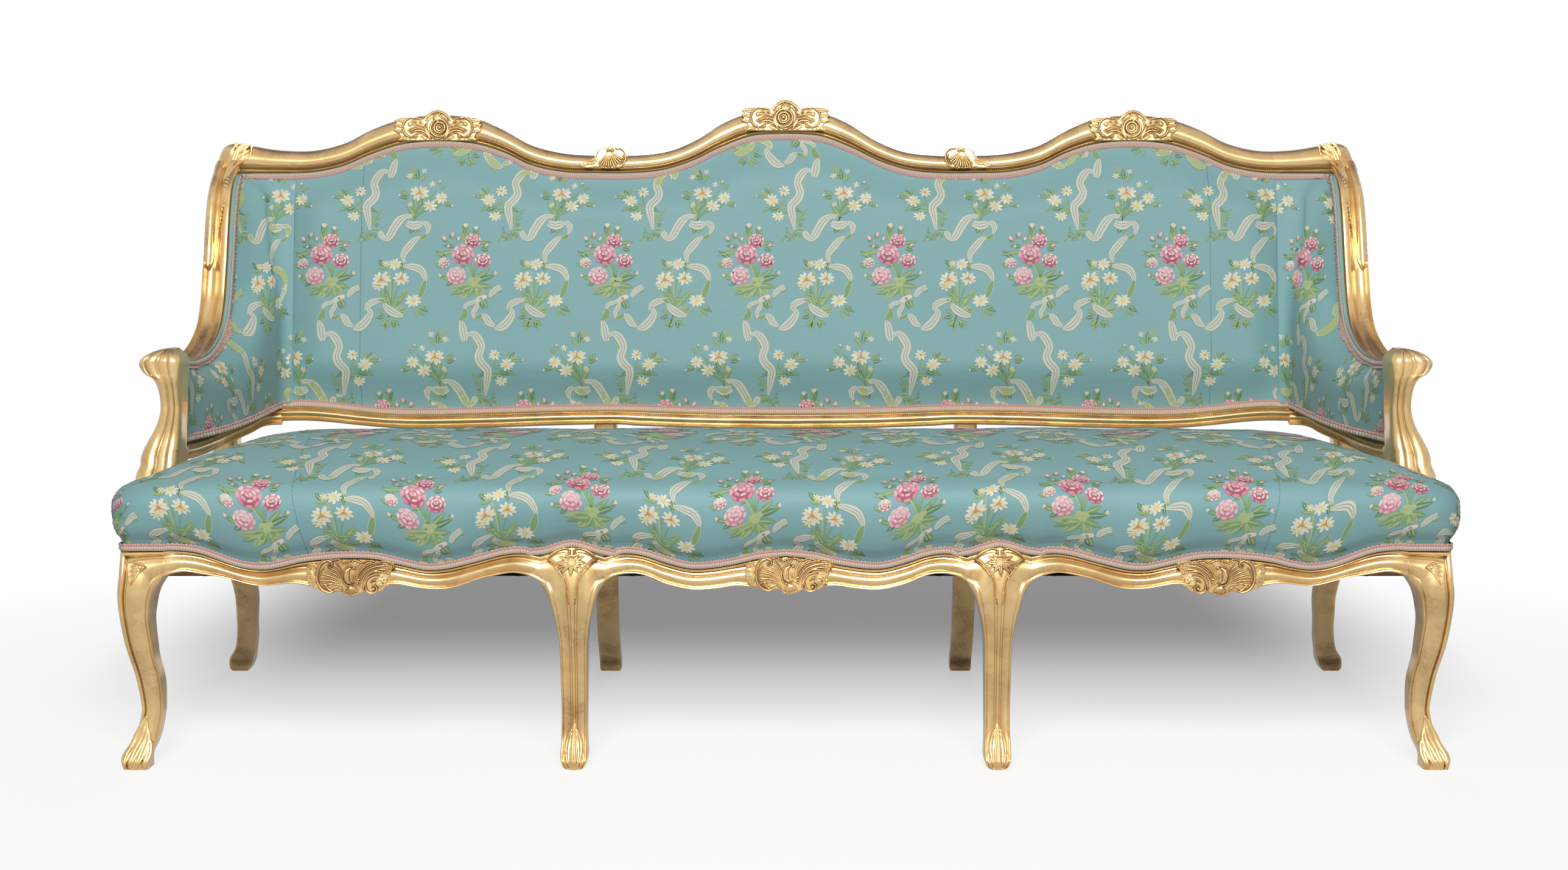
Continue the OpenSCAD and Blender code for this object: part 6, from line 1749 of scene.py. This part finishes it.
    w.ribbon([(450, 1370, 10), (435, 1392, 14), (430, 1404, 8)], "reverse", 5)
    w.ribbon([(455, 1395, 12), (400, 1398, 36), (346, 1415, 40), (318, 1460, 30), (312, 1492, 12)])
    w.ribbon([(312, 1488, 12), (326, 1530, 30), (342, 1575, 26), (352, 1604, 10)], "reverse")
    # side daisies and sprigs
    w.leaves(
        (700, 1000, 690, 965, 22), (700, 1010, 620, 1050, 20, deep), (640, 1080, 585, 1025, 18),
        (640, 1100, 600, 1085, 18), (645, 1130, 650, 1060, 20), (700, 1040, 790, 1040, 24),
        (760, 1010, 830, 1040, 24, deep), (800, 1000, 870, 1045, 22), (740, 980, 760, 1010, 22),
        (830, 940, 860, 890, 20, deep), (835, 950, 915, 945, 22), (835, 940, 885, 905, 18, pale),
        (825, 930, 820, 885, 18), (720, 1060, 700, 1010, 22, deep), (640, 1140, 615, 1120, 16, deep))
    w.stem([(740, 930), (725, 1000), (700, 1050), (640, 1100)], 6)
    w.stem([(810, 980), (760, 1030), (705, 1060)], 6)
    w.daisy(736, 912, 42, 8)
    w.daisy(812, 972, 50, 9, eye="yellow", turn=.5)
    w.daisy(772, 1076, 40, 8, eye="yellow")
    w.bud(905, 945, 13, -.2, "pink")
    w.sprig([(610, 1180), (660, 1205), (735, 1215)], 30)
    w.sprig([(640, 1180), (690, 1190), (720, 1165)], 24)
    return w


repeat = silkRepeat()
repeatPoints = np.array(repeat.points)
repeatDyes = np.array([[*shade(c)[:3], 1] for c in repeat.dyes])
repeatLift = weave["lift"] + weave["layer"] * np.array(repeat.layers)
repeatFaces = np.array(repeat.faces)
print("silk repeat drawn:", len(repeatFaces), "faces")


def woven(name, skin, anchor, inside, flip=1, seams=()):
    # lays the repeats on a cushion: skin is its grid of points, inside finds a cloth place on it
    normal = normalsOf(skin) * flip
    spots, dyes, faces, total = [], [], [], 0
    span = weave["thread"]
    for row in range(-5, 6):
        for column in range(-6, 7):
            x, y = repeatPoints[:, 0], repeatPoints[:, 1]
            if row % 2:
                x = 2 * weave["axis"] - x
            u = anchor[0] + (x - weave["rose"][0] + column * weave["wide"]) * span
            v = anchor[1] - (y - weave["rose"][1] + row * weave["row"]) * span
            i, j, ok = inside(u, v)
            if not ok.any():
                continue
            spread = np.ptp(i[repeatFaces], axis=1) + np.ptp(j[repeatFaces], axis=1)
            keep = ok[repeatFaces].all(1) & (spread < 9)
            if not keep.any():
                continue
            face = repeatFaces[keep]
            if row % 2:
                face = face[:, ::-1]
            used, back = np.unique(face, return_inverse=True)
            base = between(skin, i[used], j[used])
            spots.append(base + unit(between(normal, i[used], j[used])) * repeatLift[used][:, None])
            dyes.append(repeatDyes[used])
            faces.append(back.reshape(face.shape) + total)
            total += len(used)
    for seam in seams:
        # a line of stitching: a narrow strip, dark with painted shade along the seam
        line = spaced(seam, 160)
        line = line[inside(line[:, 0], line[:, 1])[2]]
        strip = []
        for off, high in weave["seam"]:
            i, j, _ = inside(line[:, 0] + off, line[:, 1])
            strip.append(between(skin, i, j) + unit(between(normal, i, j)) * high)
        n = len(line)
        k = np.arange(n - 1)
        quads = np.concatenate([np.stack([k, k + n, k + n + 1], 1), np.stack([k, k + n + 1, k + 1], 1)])
        faces += [quads + total, quads + total + n]
        spots.append(np.concatenate(strip))
        dyes.append(np.tile(np.append(shade(weave["seamShade"])[:3], 1), (3 * n, 1)))
        total += 3 * n
    mesh = bpy.data.meshes.new(name)
    mesh.from_pydata(np.concatenate(spots).tolist(), [], np.concatenate(faces).tolist())
    layer = mesh.attributes.new("dye", "FLOAT_COLOR", "POINT")
    layer.data.foreach_set("color", np.concatenate(dyes).reshape(-1).astype(np.float32))
    piece = bpy.data.objects.new(name, mesh)
    bpy.context.scene.collection.objects.link(piece)
    print(name, len(mesh.polygons), "faces")
    return piece


def clothGrid(uv):
    # finds cloth places on a cushion's grid by stepping towards them
    rows, columns = uv.shape[:2]
    slopes = np.concatenate([np.gradient(uv, axis=1), np.gradient(uv, axis=0)], -1)

    def inside(u, v):
        near = (abs(u) < uv[..., 0].max()) & (v > 0) & (v < uv[..., 1].max())
        i = np.interp(v, uv[:, columns // 2, 1], range(rows))
        j = np.interp(u, uv[rows // 2, :, 0], range(columns))
        if not near.any():
            return i, j, near
        for _ in range(12):
            e = np.stack([u, v], 1) - between(uv, i, j)
            g = between(slopes, i, j)
            det = g[:, 0] * g[:, 3] - g[:, 2] * g[:, 1]
            det = np.where(abs(det) < 1e-9, 1e-9, det)
            j = np.clip(j + np.clip((e[:, 0] * g[:, 3] - g[:, 2] * e[:, 1]) / det, -3, 3), 0, columns - 1.001)
            i = np.clip(i + np.clip((g[:, 0] * e[:, 1] - e[:, 0] * g[:, 1]) / det, -3, 3), 0, rows - 1.001)
        e = np.stack([u, v], 1) - between(uv, i, j)
        ok = near & (np.hypot(*e.T) < .0015) & (j > .5) & (j < columns - 1.5) & (i > .5) & (i < rows - 1.5)
        return i, j, ok
    return inside


seatRow = np.interp(.442 - .3284, np.cumsum(np.r_[0, np.abs(np.diff(seatShape[:, 1]))]), seatCloth)
seatSeams = [[(k * .745, .01), (k * .755, .2), (k * .787, .75)] for k in (-1, 1)]
seatBouquets = woven("seatBouquets", seatSkin, (-.066, seatRow), clothGrid(seatUV), seams=seatSeams)
settle(seatBouquets, threads, "brocade")


def insideBack(u, v):
    lowEdge, highEdge = padEdges(u)
    t = (v - lowEdge) / (highEdge - lowEdge)
    j = (u - backX[0]) / (backX[1] - backX[0])
    i = np.interp(t, backT, range(len(backT)))
    return i, j, (t > .008) & (t < .992) & (abs(u) < backPad["x"] - backPad["curl"] - .0005)


backAnchor = (-.069, upSlope(.775))
backSeams = [[(k * .750, .0), (k * .750, .55)] for k in (-1, 1)]
backBouquets = woven("backBouquets", backSkin, backAnchor, insideBack, seams=backSeams)
settle(backBouquets, threads, "brocade")


def insideWing(allU, allV, side):
    # the cloth goes on round the corner from the back; the place on the wing's slanting rows is the nearest
    # grid point, then a step from it
    allU = side * allU - backPad["x"]
    grid = wingUV.reshape(-1, 2)
    places = np.stack([allU, allV], 1)
    close = ((places > grid.min(0)) & (places < grid.max(0))).all(1)
    i, j, ok = np.zeros(len(allU)), np.zeros(len(allU)), np.zeros(len(allU), bool)
    if close.any():
        i[close], j[close], ok[close] = onWing(allU[close], allV[close], grid)
    return i, j, ok


def onWing(u, v, grid):
    near = np.zeros(len(u), int)
    for k in range(0, len(u), 2000):
        d = (grid[None, :, 0] - u[k:k + 2000, None]) ** 2 + (grid[None, :, 1] - v[k:k + 2000, None]) ** 2
        near[k:k + 2000] = d.argmin(1)
    i, j = (near // wingPad["columns"]).astype(float), (near % wingPad["columns"]).astype(float)
    gu, gv = np.gradient(wingUV, axis=1), np.gradient(wingUV, axis=0)
    for _ in range(2):
        a = np.clip(i.round().astype(int), 0, wingPad["rows"] - 1)
        b = np.clip(j.round().astype(int), 0, wingPad["columns"] - 1)
        e = np.stack([u, v], 1) - wingUV[a, b]
        g, h = gu[a, b], gv[a, b]
        det = g[:, 0] * h[:, 1] - g[:, 1] * h[:, 0]
        det = np.where(abs(det) < 1e-12, 1e-12, det)
        j = b + np.clip((e[:, 0] * h[:, 1] - e[:, 1] * h[:, 0]) / det, -1.5, 1.5)
        i = a + np.clip((g[:, 0] * e[:, 1] - g[:, 1] * e[:, 0]) / det, -1.5, 1.5)
    ok = (i > .3) & (i < wingPad["rows"] - 1.3) & (j > .3) & (j < wingPad["columns"] - 2.05)
    return i, j, ok


for side, word in ((1, "Right"), (-1, "Left")):
    piece = woven("wingBouquets" + word, wingSkin * (side, 1, 1), backAnchor,
                  lambda u, v, side=side: insideWing(u, v, side), -side)
    settle(piece, threads, "brocade")
print("bouquets woven")

# gimp braid round the upholstery
braid = {"wide": 0.011, "pitch": 0.0066, "step": 0.0011, "rib": 0.0019,
         # distance from the frame's edge and height above the cloth, in millimetres; the loops come last
         "section": [(0, .2), (.25, 1.6), (1.5, 2.6), (3.4, 2.9), (5.5, 2.6), (7.0, 1.5), (7.6, .9),
                     (8.3, 2.2), (10.2, 2.5), (12.2, .4)]}


def braidStrip(name, path, ground, thick=1.0):
    # path: (count, 3) points of the frame's edge; ground(k, q): a place on the cloth q metres in from point k
    d = lengths(path)
    count = len(path)
    rows, tones, uv = [], [], []
    for k, (q, high) in enumerate(braid["section"]):
        q, high = q / 1000, high / 1000
        wave = np.abs(np.sin(np.pi * d / braid["pitch"])) ** .55
        if k >= 8:
            q = .0081 + (q - .0081) * (.35 + .65 * wave)
            high = high * (.5 + .5 * wave)
        elif k == 7:
            high = high * (.75 + .25 * wave)
        high = high * thick
        rib = .00028 * thick * np.cos(2 * np.pi * d / braid["rib"]) if 1 <= k <= 5 else 0 * d
        place, up = ground(np.full(count, q) if np.ndim(q) == 0 else q)
        rows.append(place + up * (high + rib)[:, None])
        tones.append(np.full(count, 1.0 if k >= 7 else 0.55 if k == 6 else 0.0))
        uv.append(np.stack([d, np.full(count, k / 10)], 1))
    piece = drawnGrid(name, np.array(rows), np.array(uv))
    layer = piece.data.attributes.new("tone", "FLOAT", "POINT")
    layer.data.foreach_set("value", np.array(tones).reshape(-1).astype(np.float32))
    edited(piece, lambda: bpy.ops.mesh.normals_make_consistent(inside=False))
    chooseOnly(piece)
    bpy.ops.object.shade_smooth()
    return piece


def facing(piece, towards):
    # turns a strip so that its faces look the way given
    total = Vector((0, 0, 0))
    for polygon in piece.data.polygons:
        total += polygon.normal * polygon.area
    if total.dot(Vector(towards)) < 0:
        piece.data.flip_normals()
    return piece


def seatGimp():
    kneeArch = [(.262, .3298), (.285, .3344), (.305, .3408), (.327, .3456), (.349, .3408),
                (.369, .3346), (.392, .3318)]
    half = np.concatenate([midTop[midTop[:, 0] < .255], smoothLine(kneeArch, 6),
                           sideTop[sideTop[:, 0] > .398],
                           [(1.006, sofa["sideTop"])]])
    corner = [(railHalf - .012 * (1 - math.sin(a)), railY + .012 * (1 - math.cos(a)), sofa["sideTop"])
              for a in np.linspace(0, math.pi / 2, 10)]
    sides = [(mix(railHalf, backHalf, d / .609), railY + d, sofa["sideTop"])
             for d in np.linspace(.02, .600, 60)]
    right = np.concatenate([np.stack([half[:, 0], np.full(len(half), railY), half[:, 1]], 1), corner, sides])
    line = np.concatenate([right[:0:-1] * (-1, 1, 1), right])
    path = spaced(line, int(lengths(line)[-1] / braid["step"]))
    along = unit(np.gradient(path, axis=0))
    out = unit(np.cross(along, (0, 0, 1.0)))
    up = unit(np.cross(out, along))

    def ground(q):
        q = np.asarray(q)[:, None]
        return path + up * q + out * (.0004 + .0022 * (q / .011)), out
    return facing(braidStrip("seatGimp", path, ground), (0, -1, 0))


settle(seatGimp(), braidFinish, "gimp", "seat_gimp")


def backGimp():
    x = np.linspace(-backPad["x"] + .002, backPad["x"] - .002, int(2 * backPad["x"] / braid["step"]))
    away = onBack(0, 0, -1) - onBack(0, 0, 0)
    strips = []
    for name, line, sign in (("top", crestUnder, -1), ("low", bottomLine, 1)):
        h = lineAt(line, abs(x))
        tangent = np.gradient(h, x)
        k = np.sqrt(1 + tangent ** 2)
        lowEdge, highEdge = padEdges(x)

        def ground(q, h=h, tangent=tangent, k=k, sign=sign):
            px, ph = x - sign * q * tangent / k, h + sign * q / k
            t = np.clip((ph - lowEdge) / (highEdge - lowEdge), .0009, .9991)
            at = backPadPoint(np.clip(px, -backPad["x"], backPad["x"]), t)
            return at + away * .0003, np.tile(away, (len(x), 1))
        path = onBack(x, h, 0)
        strips.append(facing(braidStrip(name, path, ground), (0, -1, 0)))
    return joined("backGimp", strips)


settle(backGimp(), braidFinish, "gimp", "back_gimp")


def wingGimp(name, side):
    # along the foot, which hangs a little, and up the arm and the wing rail
    start, turn = creasePoint(np.array([0.0]))[0] + (-.004, 0), (wingFrontY + .012, wingPad["foot"] + .001)
    low = spaced([start, turn], 40)
    low[:, 1] -= .0075 * np.sin(np.pi * np.linspace(0, 1, 40))
    line = np.concatenate([low, [(wingFrontY + .001, wingPad["foot"] + .006)],
                           armRun[armRun[:, 1] > wingPad["foot"] + .014]])
    flat = spaced(line, int(lengths(line)[-1] / braid["step"]))
    t = unit(np.gradient(flat, axis=0))
    inward = np.stack([t[:, 1], -t[:, 0]], 1)
    cloth = wingSkin.reshape(-1, 3)

    def ground(q):
        # the braid rides on the swelling cloth where this stands out
        p = flat + inward * np.asarray(q)[:, None]
        d = (cloth[:, 1] - (railY + p[:, None, 0])) ** 2 + (cloth[:, 2] - p[:, None, 1]) ** 2
        x = np.minimum(wingEdgeX - .0004, cloth[d.argmin(1), 0] - .0002)
        normals = np.tile((-side, 0, 0), (len(p), 1)).astype(float)
        return np.stack([side * x, railY + p[:, 0], p[:, 1]], 1), normals

    path = np.stack([np.full(len(flat), side * wingEdgeX), railY + flat[:, 0], flat[:, 1]], 1)
    long = facing(braidStrip(name, path, ground), (-side, 0, 0))
    # along the top, under the crest
    head, below = wingSkin[-1, 2:] * (side, 1, 1), wingSkin[-3, 2:] * (side, 1, 1)
    d = lengths(head)
    at = np.linspace(0, d[-1], int(d[-1] / braid["step"]))
    edge, under = (np.stack([np.interp(at, d, row[:, k]) for k in range(3)], 1) for row in (head, below))
    down = unit(under - edge)
    face = unit(np.cross(np.gradient(edge, axis=0), down))
    face *= np.sign(face[:, :1] * -side)
    head = edge + face * .0004
    top = braidStrip(name + "Top", edge, lambda q: (head + down * np.asarray(q)[:, None], face))
    return joined(name, [long, facing(top, (-side, -1, 0))])


for side, word in ((1, "Right"), (-1, "Left")):
    settle(wingGimp("wingGimp" + word, side), braidFinish, "gimp", "wing_gimp_" + word.lower())
print("gimp laid")

# outer panels: silk stretched over the outside of the back and of the wings, with its own braid
outside = {"backHalf": 1.0112, "behind": 0.0388, "crown": 0.004, "reach": 0.020, "proud": 0.0004,
           "braidStep": 0.0016, "braidThick": 0.45}


def rimBraid(name, flat, lay, up):
    # flat: the panel's outline as a closed line in its own plane; lay puts places of that plane on the panel
    line = spaced(flat, int(lengths(flat)[-1] / outside["braidStep"]))
    t = unit(np.gradient(line, axis=0))
    inward = np.stack([-t[:, 1], t[:, 0]], 1)
    middle = line.mean(0)
    if ((middle - line) * inward).sum() < 0:
        inward = -inward
    ups = np.tile(up, (len(line), 1)).astype(float)
    strip = braidStrip(name, lay(line), lambda q: (lay(line + inward * np.asarray(q)[:, None]), ups),
                       outside["braidThick"])
    return facing(strip, up)


def panelTop(x):
    # the cloth goes up behind the crest rail and follows its curves
    return lineAt(crestHalfUnder, abs(x)) + crestRise / 8


def onBackPanel(p):
    x, h = p[..., 0], p[..., 1]
    full = np.clip(1 - (x / outside["backHalf"]) ** 8, 0, 1)
    full = full * np.sqrt(np.clip(np.sin(np.pi * np.clip(h / panelTop(x), 0, 1)), 0, 1))
    return onBack(x, h, outside["behind"] + outside["crown"] * full)


panelX, panelH = np.meshgrid(np.linspace(-outside["backHalf"], outside["backHalf"], 220),
                             np.linspace(0, 1, 32))
panelH = mix(.0008, panelTop(panelX), panelH)
backOuterPanel = drawnGrid("backOuterPanel", onBackPanel(np.stack([panelX, panelH], -1)),
                           np.stack([-panelX, panelH], -1))
settle(facing(smoothed(backOuterPanel, 60), (0, 1, 0)), silk, "brocade", "back_outer_panel")
rimX = np.linspace(outside["backHalf"] - .001, .001 - outside["backHalf"], 240)
rim = np.concatenate([[(rimX[-1], .0015), (rimX[0], .0015)],
                      np.stack([rimX, panelTop(rimX) - .0015], 1), [(rimX[-1], .0015)]])
settle(rimBraid("backOuterGimp", rim, onBackPanel, (0, 1, 0)), braidFinish, "gimp")

panelLow, panelRear = (onBack(0, h, crest["thick"] / 2)[1:] - (railY, 0) for h in (0, slopeLow))
panelRun = beside(wingLine[::-1], outside["reach"])
panelRun = panelRun[(panelRun[:, 0] > wingFrontY + outside["reach"]) & (panelRun[:, 1] < panelRear[1] - .004)]
panelRun = np.concatenate([[[wingFrontY + outside["reach"], panelLow[1] - .016]], panelRun])
panelRun = spaced(panelRun, 90)


def onWingPanel(p):
    d, z = p[..., 0], p[..., 1]
    taper = .027 * ease((.33 - d) / .11) * ease((.604 - z) / .018)
    full = ease((d - .23) / .1) * ease((panelRear[0] - d + .03) / .08) * ease((z - .49) / .05)
    return np.stack([backHalf + outside["proud"] + .002 * full - taper, railY + d, z], -1)


def wingPanel(side, word):
    v, s = np.meshgrid(np.linspace(0, 1, 90), np.linspace(0, 1, 40), indexing="ij")
    flat = mix(panelRun[:, None], mix(panelLow, panelRear, v[:, :1])[:, None], s[..., None])
    skin = onWingPanel(flat) * (side, 1, 1)
    name = "wingOuterPanel" + word
    piece = drawnGrid(name, skin, np.stack([side * flat[..., 0], flat[..., 1]], -1))
    settle(facing(smoothed(piece, 60), (side, 0, 0)), silk, "brocade", "wing_outer_panel_" + word.lower())
    loop = np.concatenate([panelRun, [panelRear, panelLow, panelRun[0]]])
    settle(rimBraid("wingOuterGimp" + word, loop, lambda p: onWingPanel(p) * (side, 1, 1), (side, 0, 0)),
           braidFinish, "gimp")


wingPanel(1, "Right")
wingPanel(-1, "Left")
print("outer panels made")


# hidden structure: the part's own solids, with finishes of their own
def grained(name, pale, deep, scale, rough, stretch=(1, 1, 1), metal=0.0):
    f = Finish(name, Metallic=metal)
    place = f.node("TexCoord", out="Object")
    grain = f.noise(f.stretched(place, stretch), scale, 5.0, 0.6)
    return f.feed(Base_Color=f.blend(grain, shade(deep), shade(pale)), Roughness=grain * 0.2 + rough,
                  Normal=f.bump(0.3, 0.0004, grain))


def plainWeave(name, pale, deep, pitch):
    f = Finish(name, Specular_IOR_Level=0.2)
    place = f.node("TexCoord", out="Object")
    warp, weft = (f.wave(place, way, pitch, 0.8, 1.0) for way in ("X", "DIAGONAL"))
    fuzz = f.noise(place, pitch * 4, 3.0)
    threadsUp = (warp * 0.35 + weft * 0.35 + fuzz * 0.5 - 0.1).held()
    return f.feed(Base_Color=f.blend(threadsUp, shade(deep), shade(pale)), Roughness=0.85 - fuzz * 0.1,
                  Normal=f.bump(0.5, 0.0006, threadsUp))


hidden = [
    (grained("beech", (.72, .56, .38), (.50, .36, .22), 9.0, 0.5, (1, 9, 9)),
     ["cross_rail_left", "cross_rail_right", "corner_blocks"]),
    (plainWeave("juteWebbing", (.66, .56, .40), (.42, .34, .22), 95.0), ["seat_webbing"]),
    (grained("springSteel", (.60, .50, .42), (.38, .30, .24), 60.0, 0.3, metal=0.9), ["seat_springs"]),
    (plainWeave("hessianCloth", (.68, .57, .41), (.45, .36, .23), 130.0),
     ["spring_hessian", "back_hessian", "wing_hessian_left", "wing_hessian_right"]),
    (plainWeave("blackCambric", (.17, .16, .16), (.08, .08, .08), 240.0), ["dust_cover"]),
    (grained("bluedTacks", (.30, .31, .34), (.14, .15, .18), 300.0, 0.35, metal=0.9), ["dust_cover_tacks"]),
    (giltBack, ["rear_rail_left", "rear_rail_middle", "rear_rail_right"])]
for finish, names in hidden:
    for node in names:
        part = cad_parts[node]
        part.data.materials.clear()
        part.data.materials.append(finish)
print("hidden structure finished")

# studio
camera = {"at": (-0.0028, -4.203, 0.8643), "down": 5.226, "lens": 4100 * 36 / 2576}
bpy.ops.object.camera_add(location=camera["at"], rotation=(math.radians(90 - camera["down"]), 0, 0))
eye = bpy.context.object
eye.name = "photoCamera"
eye.data.sensor_width, eye.data.lens = 36, camera["lens"]
eye.data.clip_end = 100
bpy.context.scene.camera = eye
studio = {
    "size": 16, "floor": (0.98, 0.98, 0.98), "world": 0.10, "bounce": 0.42, "fade": 0.80, "gloss": 0.74,
    # dark: the paper's level at the deepest part of its painted shadow
    "floorGloss": 0.42, "dark": 0.29,
    # where the painted shadow on the paper begins and ends: going back, to each side, far behind, and its
    # edge
    "behind": (-0.25, 1.0), "beside": (0.85, 1.4), "far": (1.8, 3.2), "clear": (1.3, 2.4),
    "lamps": [("keyLamp", (-0.5, -4.7, 3.5), 1.2, 172), ("fillLamp", (0.6, -4.8, 3.3), 1.5, 122),
              ("backLamp", (0.4, 4.6, 1.6), 2.4, 95)]}


def paperFinish():
    # paper with a painted shadow: it darkens behind the sofa, as in the photograph, and is white in front and
    # at the sides
    f = Finish("studioPaper", Roughness=0.9)
    place = f.node("TexCoord", out="Object")
    across, back = (f.node("SeparateXYZ", sockets={0: place}, out=k) for k in (0, 1))

    def eased(value, limits, low, high):
        return f.node("MapRange", {"interpolation_type": "SMOOTHSTEP"},
                      {0: value, 1: limits[0], 2: limits[1], 3: low, 4: high})
    # the painted shadow: full behind the sofa and within its width, fading out far behind
    behind = eased(back, studio["behind"], 0.0, 1.0)
    within = eased(f.node("Math", {"operation": "ABSOLUTE"}, {0: across}), studio["beside"], 1.0, 0.0)
    level = 1 - behind * within * eased(back, studio["far"], 1.0, 0.0) * (1 - studio["dark"])
    paintedShadow = f.node("CombineColor", sockets={0: level, 1: level, 2: level})
    shadowedPaper = f.node("Mix", {"data_type": "RGBA", "blend_type": "MULTIPLY"},
                   {0: 1.0, 6: paintedShadow, 7: shade(studio["floor"])}, out=2)
    mirror = f.node("LightPath", out="Is Glossy Ray")
    seen = f.node("LightPath", out="Is Camera Ray") + mirror * studio["floorGloss"]
    f.feed(Base_Color=f.blend(seen.held(), (studio["bounce"],) * 3 + (1,), shadowedPaper))
    # seen from the camera the paper glows in its own colour, painted shadow included
    white = f.node("Emission", sockets={"Color": paintedShadow, "Strength": 1.0})
    away = f.node("VectorMath", {"operation": "LENGTH"}, {0: place}, out=1)
    clear = eased(away, studio["clear"], studio["fade"], 1.0)
    both = f.node("MixShader", sockets={0: (clear * seen).held(), 1: Wire(f, f.shader.outputs[0]), 2: white})
    f.tree.links.new(both.socket, f.tree.nodes["Material Output"].inputs["Surface"])
    return f.material


def studioSet():
    bpy.ops.object.select_all(action="DESELECT")
    bpy.ops.mesh.primitive_plane_add(size=studio["size"], location=(0, 0, 0))
    floor = bpy.context.object
    floor.name = "studioFloor"
    floor.data.materials.append(paperFinish())
    world = bpy.data.worlds.new("studioWorld")
    bpy.context.scene.world = world
    world.use_nodes = True
    w = Nodes(world.node_tree)
    sky = world.node_tree.nodes["Background"]
    sky.inputs[0].default_value = (1, 1, 1, 1)
    mirror = w.node("LightPath", out="Is Glossy Ray")
    seen = (w.node("LightPath", out="Is Camera Ray") + mirror * studio["gloss"]).held()
    seen = (seen + w.node("LightPath", out="Is Transmission Ray")).held()
    strength = w.node("MapRange", sockets={0: seen, 3: studio["world"], 4: 1.0})
    world.node_tree.links.new(strength.socket, sky.inputs[1])
    for name, spot, size, power in studio["lamps"]:
        bpy.ops.object.light_add(type="AREA", location=spot)
        lamp = bpy.context.object
        lamp.name = name
        lamp.data.shape, lamp.data.size, lamp.data.energy = "DISK", size, power
        lamp.rotation_euler = (Vector((0, 0, .5)) - Vector(spot)).to_track_quat("-Z", "Y").to_euler()


studioSet()
bpy.context.scene.view_settings.view_transform = "Standard"

print("scene ready")
